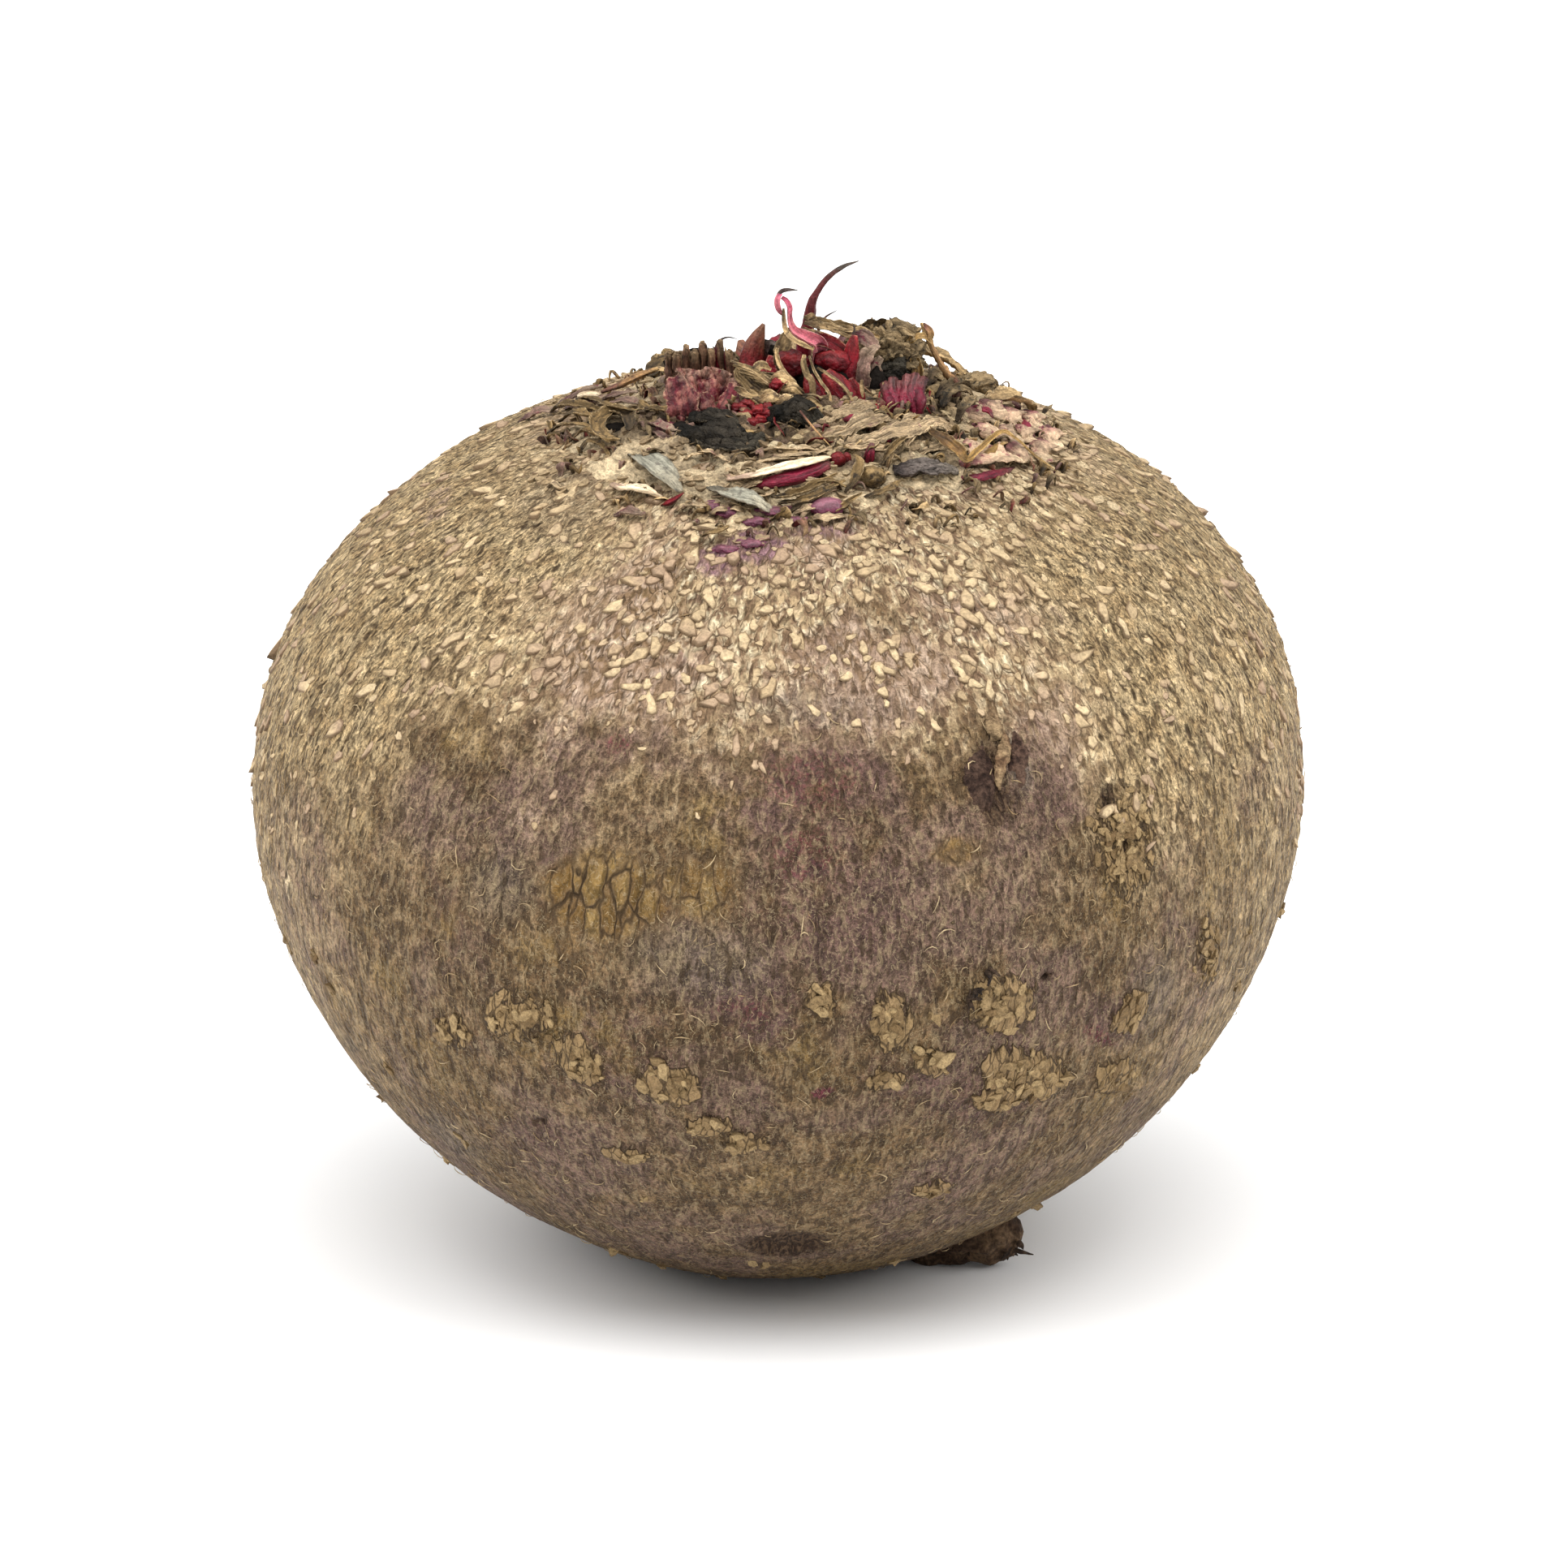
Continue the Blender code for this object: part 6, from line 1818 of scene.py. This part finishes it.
    # Curled scale with painted shade in its mouth, and folded strips round it
    s = Shape()
    turn = np.linspace(-0.3, 5.2, 9)
    loop = [(762 + 19 * math.cos(a), 527 - 17 * math.sin(a), 1.3 - 0.5 * math.sin(a)) for a in turn]
    sheet(s, lying(loop), (0.3, 0.8, 0.95, 0.95, 0.9, 0.85, 0.75, 0.6, 0.2), curl=1.1, ruffle=0.22, ragged=0.2,
          steps=70, across=10, seed=110, tone=0.5)
    s.detail("olive_curled_scale", t["olive"], "olive_dry_leaf")
    # Near-black lumps that stand for the shade inside the curl and in a hollow beside it
    s = Shape()
    lump(s, lying((762, 528, 0.35)), (1.25, 1.1, 0.35), rough=0.2, count=14, seed=112, tone=0.3)
    lump(s, lying((843, 527, 0.4)), (0.8, 0.7, 0.4), rough=0.3, count=12, seed=113, tone=0.3)
    s.make("shade_fill_mouth", t["shade_fill"])
    s = Shape()
    rows = (((680, 508, 0.3), (702, 500, 0.9), (728, 503, 0.8), (748, 510, 0.4), 0.5),
            ((690, 520, 0.3), (712, 510, 1.0), (738, 514, 0.9), (758, 506, 0.5), 0.45),
            ((676, 534, 0.2), (700, 523, 0.8), (730, 527, 0.9), (746, 540, 0.3), 0.45),
            ((702, 545, 0.3), (722, 532, 0.9), (742, 536, 0.8), (760, 550, 0.3), 0.4),
            ((716, 558, 0.3), (728, 544, 0.8), (744, 548, 0.5), (752, 562, 0.2), 0.3),
            ((700, 498, 0.6), (730, 492, 1.2), (768, 504, 1.3), (800, 508, 0.9), 0.4),
            ((788, 512, 0.8), (810, 505, 1.2), (834, 507, 1.2), (852, 500, 1.0), 0.35),
            ((852, 548, 0.7), (874, 540, 1.2), (905, 532, 1.4), (940, 534, 1.0), 0.35),
            ((865, 660, 0.3), (876, 655, 0.9), (890, 652, 1.0), (899, 646, 0.8), 0.45),
            ((852, 627, 0.3), (862, 621, 0.6), (873, 623, 0.5), (874, 629, 0.2), 0.2))
    for k, (a, b, c, d, width) in enumerate(rows):
        sheet(s, lying((a, b, c, d)), (0.12, width, width, 0.12), curl=1.5 - 0.6 * (k % 3), ruffle=0.25, ribs=2,
              rib_depth=0.06, ragged=0.4, steps=44, across=8, twist=0.7 - 0.5 * (k % 3), seed=120 + k,
              tone=0.35 + 0.15 * (k % 4))
    s.make("olive_folded_strips", t["olive"])

    s = Shape()
    sheet(s, lying([(840, 536, 0.4), (866, 530, 1.5), (893, 533, 1.7), (920, 541, 1.3), (945, 543, 0.6)]),
          (0.7, 1.5, 1.75, 1.4, 0.5), TILTED, curl=-0.5, thick=0.5, ruffle=0.5, fold=1.1, ragged=0.2, steps=70,
          across=34, seed=131)
    sheet(s, lying([(846, 517, 0.6), (872, 513, 1.5), (900, 519, 1.6), (926, 528, 1.0)]), (0.5, 0.9, 1.0, 0.3),
          TILTED, curl=-0.7, thick=0.4, ruffle=0.4, fold=0.9, steps=50, across=22, seed=132)
    sheet(s, lying([(944, 520, 0.8), (966, 506, 1.6), (988, 505, 1.8), (1010, 520, 1.2)]), (0.5, 1.3, 1.5, 0.5),
          TILTED, curl=-0.7, thick=0.4, ruffle=0.6, fold=1.3, steps=56, across=28, seed=133, tone=0.3)
    s.detail("black_crumpled_leaf", t["black"], "black_leaf")

    s = Shape()
    sheet(s, rooted(lying([(789, 561, 0.2), (806, 570, 0.9), (824, 585, 1.0), (840, 606, 0.4)]), 0.4),
          (0.5, 1.0, 1.35, 1.1, 0.3), curl=0.45, thick=0.22, ruffle=0.12, ragged=0.1, steps=44, across=14, seed=141,
          tone=0.6)
    s.detail("mouldy_scale", t["grey"], "grey_leaf")
    s = Shape()
    stalk(s, lying([(817, 622, 0.1), (830, 617, 0.5), (844, 607, 0.4)]), (0.15, 0.42, 0.1), sides=12, flat=0.6,
          steps=26, seed=142, tone=0.5)
    s.make("crimson_leaf_tip", t["crimson"])
    s = Shape()
    sheet(s, lying([(756, 597, 0.1), (775, 601, 0.75), (797, 604, 0.9), (818, 613, 0.2)]), (0.25, 0.7, 0.62, 0.15),
          curl=0.8, thick=0.35, ruffle=0.2, steps=36, across=10, seed=143, tone=0.95)
    s.detail("cream_flesh_flap", t["cream"], "cream_flesh")


def build_front(t):
    """Cut stalk, flaps, bud and strips in front of the middle."""
    s = Shape()
    sheet(s, lying([(898, 590, 0.5), (930, 584, 1.2), (965, 574, 1.6), (998, 567, 1.7), (1020, 563, 1.3)]),
          (0.2, 0.55, 0.75, 0.62, 0.3), curl=-0.3, thick=0.3, ruffle=0.12, steps=56, across=12, seed=151, tone=1.0)
    s.detail("cut_stalk_sliver", t["cream"], "cream_flesh")
    s = Shape()
    stalk(s, lying([(926, 600, 0.1), (950, 594, 0.6), (984, 586, 0.8), (1012, 575, 0.8), (1022, 569, 0.5)]),
          (0.2, 0.6, 0.78, 0.66, 0.25), sides=20, flat=0.7, face=TILTED, ribs=7, rib_depth=0.04, steps=56,
          seed=152, tone=0.6)
    stalk(s, rooted(lying([(1069, 568, 0.2), (1070, 558, 1.0), (1071, 547, 1.6)])), (0.5, 0.45, 0.4, 0.2),
          sides=12, flat=0.5, face=TILTED, steps=26, seed=153, tone=0.3)
    s.make("cut_stalk_underside", t["magenta"])
    s = Shape()
    rows = (((926, 560, 0.5), (950, 553, 1.0), (985, 553, 1.1), (1020, 558, 0.9), 0.45),
            ((930, 566, 0.4), (965, 561, 0.9), (1000, 558, 1.0), (1024, 552, 1.0), 0.35),
            ((918, 573, 0.3), (940, 569, 0.7), (964, 566, 0.8), (990, 563, 0.8), 0.3),
            ((878, 612, 0.2), (905, 607, 0.5), (935, 610, 0.5), (955, 606, 0.4), 0.5),
            ((676, 600, 0.1), (684, 596, 0.4), (692, 601, 0.3), (700, 598, 0.1), 0.3))
    for k, (a, b, c, d, width) in enumerate(rows):
        sheet(s, lying((a, b, c, d)), (0.15, width, width, 0.12), curl=0.6 - 0.5 * (k % 2), ruffle=0.2, ribs=3,
              rib_depth=0.05, steps=44, across=8, seed=160 + k, tone=0.6 + 0.1 * (k % 3))
    s.make("cream_fibre_layers", t["paper"])
    s = Shape()
    rng = np.random.default_rng(761)
    for k in range(30):
        x, y = rng.uniform(845, 1035), rng.uniform(546, 646)
        half, slope = rng.uniform(10, 26), rng.normal(0.0, 0.3)
        width = rng.uniform(0.16, 0.42)
        rows = [(x - half, y - slope * half, 0.15),
                (x - 0.3 * half, y - 0.3 * slope * half - 3, rng.uniform(0.4, 0.9)),
                (x + 0.3 * half, y + 0.3 * slope * half - 3, rng.uniform(0.4, 0.9)),
                (x + half, y + slope * half, 0.15)]
        sheet(s, lying(rows), (0.1, width, width, 0.1), TILTED, curl=rng.uniform(-0.5, 1.2), ruffle=0.2, fold=0.2,
              ribs=3, rib_depth=0.05, ragged=0.5, steps=26, across=7, seed=762 + k, tone=rng.uniform(0.2, 1.0))
    s.make("front_fibre_strips", t["paper"])

    s = Shape()
    sheet(s, lying([(876, 600, 0.2), (900, 608, 0.9), (928, 616, 0.9), (950, 628, 0.3)]), (0.4, 1.0, 1.15, 0.5),
          curl=0.35, thick=0.2, ruffle=0.25, ribs=5, rib_depth=0.06, steps=44, across=16, seed=171, tone=0.9)
    s.detail("grey_leaf_flap", t["grey"], "grey_leaf")
    s = Shape()
    lump(s, lying((1018, 624, 0.35)), (1.5, 1.15, 0.75), rough=0.12, scale=0.7, count=24, seed=172, turn=-0.25)
    for k, (x, y, a, b) in enumerate(((955, 628, 1.2, 0.9), (905, 628, 1.6, 1.0), (930, 640, 1.3, 0.8),
                                      (880, 622, 1.0, 0.7),
                                      (985, 640, 1.0, 0.6), (925, 668, 1.2, 0.8), (897, 676, 0.9, 0.5))):
        lump(s, lying((x, y, -0.05)), (a, b, 0.32), rough=0.45, scale=1.3, count=16, seed=173 + k, tone=0.3)
    s.detail("purple_bud", t["purple"], "magenta_flesh")
    s = Shape()
    lump(s, lying((1031, 567, 0.9)), (0.62, 0.6, 0.75), rough=0.2, count=16, seed=174, tone=0.15)
    lump(s, lying((1042, 566, 0.6)), (0.4, 0.4, 0.6), rough=0.2, count=12, seed=175, tone=0.1)
    s.detail("crimson_knob", t["crimson"], "crimson_flesh")

    s = Shape()
    rows = (((952, 612, 0.5), (972, 611, 1.1), (1000, 600, 1.4), (1030, 584, 1.1), 0.5),
            ((960, 620, 0.4), (985, 616, 1.0), (1012, 606, 1.2), (1040, 592, 0.9), 0.4),
            ((976, 600, 0.9), (1000, 594, 1.4), (1022, 590, 1.4), (1042, 600, 0.8), 0.4),
            ((1000, 632, 0.2), (1026, 630, 0.5), (1044, 618, 0.9), (1060, 608, 0.6), 0.35),
            ((1040, 606, 0.6), (1050, 590, 1.3), (1056, 572, 1.6), (1052, 560, 1.3), 0.45),
            ((1062, 614, 0.2), (1078, 606, 0.9), (1096, 600, 0.9), (1110, 590, 0.5), 0.4),
            ((1086, 574, 0.8), (1092, 560, 1.5), (1102, 547, 1.7), (1118, 538, 1.4), 0.35))
    for k, (a, b, c, d, width) in enumerate(rows):
        sheet(s, lying((a, b, c, d)), (0.12, width, width * 0.9, 0.1), curl=1.6 - 0.7 * (k % 3), ruffle=0.25,
              ribs=2, rib_depth=0.06, ragged=0.35, steps=44, across=10, twist=0.8 - 0.5 * (k % 3), seed=180 + k,
              tone=0.3 + 0.15 * (k % 4))
    s.detail("olive_curled_strip", t["olive"], "olive_dry_leaf")
    s = Shape()
    lump(s, lying((1075, 588, 0.7)), (1.0, 0.9, 0.75), rough=0.3, scale=1.2, count=20, seed=191, tone=0.2)
    s.detail("olive_bead", t["olive"], "olive_dry_leaf")
    s = Shape()
    stalk(s, lying([(986, 509, 2.2), (998, 524, 1.8), (1010, 538, 1.6), (1024, 553, 1.3)]), (0.1, 0.09, 0.07, 0.03),
          sides=6, steps=30, seed=192, tone=0.9)
    s.make("thin_fibre", t["brown"])


def build_right(t):
    """Crumbly lump, stubs and dry leaves right of the middle."""
    s = Shape()
    lump(s, seen((1098, 438, -3.2)), (2.5, 2.2, 2.5), rough=0.42, scale=1.7, count=44, seed=201, tone=0.45)
    lump(s, seen((1072, 420, -4.2)), (1.7, 1.5, 1.6), rough=0.42, scale=2.0, count=30, seed=202, tone=0.55)
    lump(s, seen((1120, 432, -3.6)), (1.1, 1.2, 1.7), rough=0.4, scale=2.0, count=24, seed=203, tone=0.8)
    lump(s, seen((1060, 446, -3.0)), (1.3, 1.3, 1.5), rough=0.4, scale=2.0, count=24, seed=204, tone=0.3)
    for k, row in enumerate((((1060, 412, -3.4), (1080, 402, -3.6), (1104, 402, -3.6)),
                             ((1086, 408, -2.8), (1106, 402, -2.8), (1128, 414, -2.6)),
                             ((1070, 430, -2.2), (1090, 420, -1.8), (1112, 426, -1.8)),
                             ((1066, 450, -1.6), (1080, 438, -1.4), (1096, 440, -1.2)),
                             ((1112, 444, -1.8), (1126, 430, -2.0), (1138, 420, -2.4)))):
        flap(s, row, (0.4, 0.8, 0.3), curl=1.2 - 0.8 * (k % 2), ruffle=0.5, fold=0.5, ragged=0.6, steps=34,
             across=12, twist=0.5 - 0.5 * (k % 3), seed=210 + k, tone=0.3 + 0.2 * (k % 4))
    s.detail("crumbly_leaf_lump", t["crumbly"], "grey_crumbly_leaf")
    s = Shape()
    lump(s, seen((1101, 458, -0.6)), (1.05, 0.8, 0.95), rough=0.5, scale=1.4, count=24, seed=221, tone=0.1)
    s.make("dark_green_spot", t["black"])

    s = Shape()
    for k, (x, y, top) in enumerate(((1096, 502, 474), (1103, 508, 468), (1110, 510, 472), (1118, 508, 464),
                                     (1126, 503, 462), (1133, 497, 468))):
        stem(s, [(x, y, 3.6), (x - 2, 0.5 * (y + top), 2.6), (x - 6 + 2 * k, top, 1.2)], (0.5, 0.5, 0.5, 0.42),
             sides=14, rough=0.3, steps=24, face=FACING, seed=230 + k, tone=(0.1, 0.3, 0.95, 0.8, 0.3, 0.1)[k])
    s.detail("magenta_stalk_stub", t["magenta"], "magenta_flesh")

    s = Shape()
    rows = (((1016, 545, 0.6), (1042, 530, 1.4), (1072, 518, 1.7), (1092, 518, 1.2), 0.9),
            ((1040, 556, 0.5), (1072, 542, 1.3), (1106, 530, 1.7), (1140, 522, 1.3), 1.1),
            ((1080, 532, 0.9), (1104, 522, 1.4), (1124, 517, 1.4), (1140, 518, 1.0), 0.6),
            ((1100, 548, 0.6), (1126, 532, 1.4), (1150, 522, 1.6), (1172, 530, 1.0), 0.9),
            ((1010, 528, 0.8), (1030, 512, 1.5), (1055, 506, 1.7), (1080, 500, 1.4), 0.7),
            ((1130, 556, 0.4), (1150, 548, 1.1), (1170, 548, 1.2), (1190, 556, 0.7), 0.8),
            ((1020, 560, 0.3), (1050, 552, 0.9), (1080, 550, 1.0), (1110, 552, 0.6), 0.6))
    for k, (a, b, c, d, width) in enumerate(rows):
        wide = (0.3 * width, 0.95 * width, 0.65 * width, 1.0 * width, 0.3 * width)
        sheet(s, rooted(lying((a, b, c, d)), 0.4), wide, TILTED, curl=0.35 - 0.3 * (k % 3), ruffle=0.4, fold=0.45,
              ribs=7, rib_depth=0.07, ragged=0.6, steps=50, across=30, seed=240 + k, tone=0.25 + 0.2 * (k % 4))
    s.make("papery_layers", t["paper"])

    s = Shape()
    stem(s, [(1178, 476, -3.2), (1168, 462, -3), (1158, 447, -3), (1149, 430, -3), (1142, 413, -3),
             (1135, 398, -3)], (0.45, 0.42, 0.3, 0.22, 0.22, 0.27, 0.1), sides=14, ribs=4, rib_depth=0.14,
         rough=0.25, steps=60, seed=251, tone=0.75)
    flap(s, [(1137, 399, -3), (1146, 408, -2.9), (1147, 417, -2.9)], (0.15, 0.4, 0.2), curl=1.2, ruffle=0.2,
         steps=24, across=8, seed=253, tone=0.9)
    s.detail("right_dry_stalk", t["brown"], "brown_dry_stalk")
    s = Shape()
    leaf(s, [(1130, 462, -1.6), (1127, 444, -2.0), (1121, 428, -2.4), (1126, 417, -2.6), (1138, 414, -2.8),
             (1148, 422, -3.0)], (0.5, 0.55, 0.62, 0.5, 0.4, 0.36, 0.2), curl=1.2, thick=0.25, ruffle=0.15,
         ragged=0.2, steps=56, across=12, seed=252, tone=0.6)
    s.make("amber_curled_leaf", t["amber"])

    s = Shape()
    for k, row in enumerate((((1150, 492, 1.0), (1160, 478, 1.8), (1178, 474, 1.8), (1194, 482, 1.2)),
                             ((1158, 502, 0.8), (1164, 488, 1.5), (1180, 484, 1.5), (1198, 494, 0.8)),
                             ((1138, 478, 0.8), (1148, 464, 1.6), (1160, 470, 1.6), (1166, 484, 1.0)),
                             ((1176, 520, 0.5), (1182, 506, 1.4), (1190, 496, 1.6), (1194, 490, 1.5)),
                             ((1200, 478, 0.3), (1206, 471, 0.8), (1218, 473, 0.8), (1228, 482, 0.3)),
                             ((1262, 497, 0.1), (1270, 489, 0.6), (1280, 491, 0.6), (1288, 499, 0.1)))):
        sheet(s, lying(row), (0.2, 0.6, 0.55, 0.15), TILTED, curl=1.4 - 0.5 * (k % 3), ruffle=0.35, fold=0.3,
              ragged=0.4, steps=36, across=12, seed=260 + k, tone=0.2 + 0.2 * (k % 4))
    s.make("right_crumbled_leaves", t["crumbly"])

    s = Shape()
    sheet(s, lying([(1138, 531, 1.4), (1158, 545, 1.6), (1178, 558, 1.5), (1187, 568, 1.2), (1200, 556, 1.5),
                    (1224, 534, 1.9), (1244, 541, 1.7), (1268, 560, 1.1), (1290, 574, 0.7), (1303, 582, 0.3)]),
          (0.4, 0.62, 0.55, 0.4, 0.3, 0.22, 0.14, 0.09, 0.07, 0.03), TILTED, curl=1.2, ruffle=0.18, ragged=0.3,
          steps=110, across=10, twist=0.9, seed=271, tone=0.55)
    sheet(s, lying([(1196, 570, 0.5), (1210, 560, 1.0), (1226, 548, 1.2), (1238, 545, 1.0)]),
          (0.3, 0.45, 0.35, 0.1), TILTED, curl=-0.9, ruffle=0.2, steps=34, across=10, seed=272, tone=0.35)
    s.detail("curled_dry_leaf", t["amber"], "tan_dry_leaf")

    s = Shape()
    lump(s, lying((1222, 520, -0.7)), (2.8, 2.1, 1.1), rough=0.3, scale=0.55, count=30, seed=281, tone=0.35)
    for k, (x, y, turn) in enumerate(((1200, 508, 0.5), (1222, 502, 0.7), (1246, 512, 0.9), (1214, 528, 0.3),
                                      (1238, 532, 0.6), (1262, 532, 1.0), (1196, 548, 0.0), (1228, 556, 0.3),
                                      (1256, 556, 0.8), (1280, 552, 1.1), (1270, 516, 1.0), (1292, 536, 1.1))):
        dx, dy = 20 * math.cos(turn), 14 * math.sin(turn)
        rows = [(x - dx, y - dy, 0.3), (x - 0.3 * dx, y - 0.3 * dy, 1.0), (x + 0.4 * dx, y + 0.4 * dy, 0.9),
                (x + dx, y + dy, 0.2)]
        sheet(s, lying(rows), (0.35, 0.95, 1.0, 0.35), TILTED, curl=-0.5, thick=0.3, ruffle=0.3, fold=0.3,
              ragged=0.4, steps=30, across=12, seed=830 + k, tone=0.25 + 0.2 * (k % 4))
    sheet(s, lying([(1180, 572, 0.3), (1206, 562, 0.9), (1236, 562, 0.9), (1262, 566, 0.4)]), (0.5, 1.0, 1.0, 0.4),
          curl=-0.4, thick=0.3, ruffle=0.3, steps=40, across=16, seed=283, tone=0.8)
    s.detail("pinkish_leaf_base", t["blush"], "rose_flesh")
    s = Shape()
    for k, row in enumerate((((1176, 590, 0.2), (1200, 588, 0.6), (1226, 583, 0.6), (1250, 576, 0.2), 0.6),
                             ((1190, 505, 0.6), (1200, 503, 1.1), (1212, 507, 1.1), (1220, 516, 0.7), 0.35),
                             ((1252, 512, 0.4), (1258, 522, 0.8), (1266, 534, 0.7), (1276, 546, 0.2), 0.4),
                             ((1036, 520, 1.2), (1044, 516, 1.7), (1052, 519, 1.6), (1056, 526, 1.1), 0.5),
                             ((1078, 546, 0.8), (1086, 541, 1.3), (1093, 543, 1.2), (1096, 548, 0.8), 0.3))):
        sheet(s, lying(row[:4]), (0.1, 0.8 * row[4], 0.8 * row[4], 0.1), TILTED, curl=-0.6, thick=0.25,
              ruffle=0.3, steps=30, across=10, seed=290 + k, tone=0.3 + 0.2 * (k % 3))
    s.make("magenta_streaks", t["magenta"])
    s = Shape()
    sheet(s, lying([(1100, 580, 0.4), (1122, 574, 1.0), (1150, 574, 1.1), (1176, 580, 0.5)]), (0.8, 1.3, 1.3, 0.8),
          curl=-0.3, thick=0.25, ruffle=0.4, ribs=9, rib_depth=0.14, ragged=0.35, steps=44, across=40, seed=301,
          tone=0.5)
    s.detail("grey_fibre_flap", t["slate"], "grey_leaf")


def build_back(t):
    """Leaf remnants of the same kinds on the back of the crown, which the photo hides."""
    s = Shape()
    stalk(s, rooted(crown_point([(-4.6, -9.4, 0.2), (-4.8, -10, 1.2), (-5.0, -10.8, 2.2)])), (1.1, 1.0, 0.8, 0.3),
          sides=20, flat=0.6, ribs=6, rib_depth=0.08, steps=30, seed=311)
    s.detail("back_stalk_stub_left", t["fin"], "dark_red_stalk")
    s = Shape()
    sheet(s, rooted(crown_point([(3.2, -10.2, 0.2), (3.3, -10.8, 1.4), (3.5, -11.6, 2.6)])), (1.3, 1.3, 1.1, 0.5),
          -FACING, curl=0.9, thick=0.5, ruffle=0.2, steps=30, across=14, seed=312)
    s.detail("back_stalk_stub_right", t["magenta"], "magenta_flesh")
    s = Shape()
    sheet(s, crown_point([(6.6, -12.4, 0.4), (9, -13.2, 1.5), (11.6, -13.8, 1.4), (14.4, -13.9, 0.4)]),
          (0.5, 1.1, 1.2, 0.3), curl=0.9, ruffle=0.4, ribs=4, rib_depth=0.1, steps=44, across=14, seed=313)
    s.detail("back_dry_leaf", t["tan"], "tan_dry_leaf")
    s = Shape()
    sheet(s, crown_point([(-4, -14.6, 0.4), (-1.6, -15.2, 1.4), (1, -15.4, 1.4), (3.8, -15, 0.4)]),
          (0.6, 1.4, 1.5, 0.5), curl=-0.5, thick=0.3, ruffle=0.5, fold=0.9, steps=50, across=24, seed=314)
    s.detail("back_crumpled_leaf", t["dark"], "dark_dry_stalk")
    s = Shape()
    sheet(s, crown_point([(-12.8, -10, 0.3), (-11.2, -11.2, 1.1), (-9.8, -12.4, 1.1), (-8.4, -13.2, 0.3)]),
          (0.5, 1.3, 1.2, 0.3), curl=0.7, ruffle=0.35, ribs=3, rib_depth=0.08, steps=40, across=14, seed=315)
    s.detail("back_leaf_scale_left", t["olive"], "olive_dry_leaf")
    s = Shape()
    sheet(s, crown_point([(15.2, -4.2, 0.3), (16.8, -5, 1.0), (18.4, -5.8, 1.0), (19.8, -6.6, 0.2)]),
          (0.5, 1.2, 1.1, 0.3), curl=0.7, ruffle=0.35, ribs=3, rib_depth=0.08, steps=40, across=14, seed=316)
    s.detail("back_leaf_scale_right", t["tan"], "tan_dry_leaf")
    s = Shape()
    lump(s, crown_point([(14.8, -9, 0.6)]), (1.4, 1.1, 0.8), rough=0.5, scale=1.2, count=20, seed=317)
    s.detail("right_shoulder_scale", t["crumbly"], "grey_crumbly_leaf")


def floor_material():
    g = Graph("pale_floor")
    return g.finish((0.95, 0.95, 0.948), 0.9, specular=0.05)


def build_stage():
    """Plain pale floor, soft light from above and all round, and the camera."""
    half = 6000.0
    mesh = bpy.data.meshes.new("floor")
    corners = [(-half, -half, 0), (half, -half, 0), (half, half, 0), (-half, half, 0)]
    mesh.from_pydata([tuple(c * MM for c in corner) for corner in corners], [], [(0, 1, 2, 3)])
    mesh.materials.append(floor_material())
    floor = bpy.data.objects.new("floor", mesh)
    bpy.context.scene.collection.objects.link(floor)

    world = bpy.data.worlds.new("studio")
    bpy.context.scene.world = world
    world.use_nodes = True
    back = world.node_tree.nodes["Background"]
    back.inputs["Color"].default_value = (1.0, 1.0, 0.995, 1.0)
    back.inputs["Strength"].default_value = WORLD_LIGHT

    for name, way, share in SOFTBOXES:
        light = bpy.data.lights.new(name, "SUN")
        light.angle = math.radians(SOFTBOX_SPREAD)
        light.energy = FLOOR_LIGHT * share * float(np.linalg.norm(way))
        lamp = bpy.data.objects.new(name, light)
        lamp.rotation_euler = direction_turn(-np.array(way))
        bpy.context.scene.collection.objects.link(lamp)

    camera = bpy.data.cameras.new("camera")
    camera.lens = LENS
    camera.sensor_width = SENSOR
    camera.clip_start = 0.01
    seat = bpy.data.objects.new("camera", camera)
    seat.location = CAMERA_PLACE * MM
    seat.rotation_euler = (math.pi / 2 - CAMERA_RISE, 0.0, 0.0)
    bpy.context.scene.collection.objects.link(seat)
    bpy.context.scene.camera = seat
    bpy.context.scene.view_settings.view_transform = "Standard"


def direction_turn(aim):
    """Rotation that points an object's -Z axis along aim."""
    return Vector(aim).to_track_quat("-Z", "Y").to_euler()


build_skin()
build_scales()
build_scabs()
build_fibres()
build_taproot()
build_scar()
tissue = tissues()
build_bed()
build_chips()
build_middle(tissue)
build_left(tissue)
build_front(tissue)
build_right(tissue)
build_back(tissue)
build_debris(tissue)
build_stage()
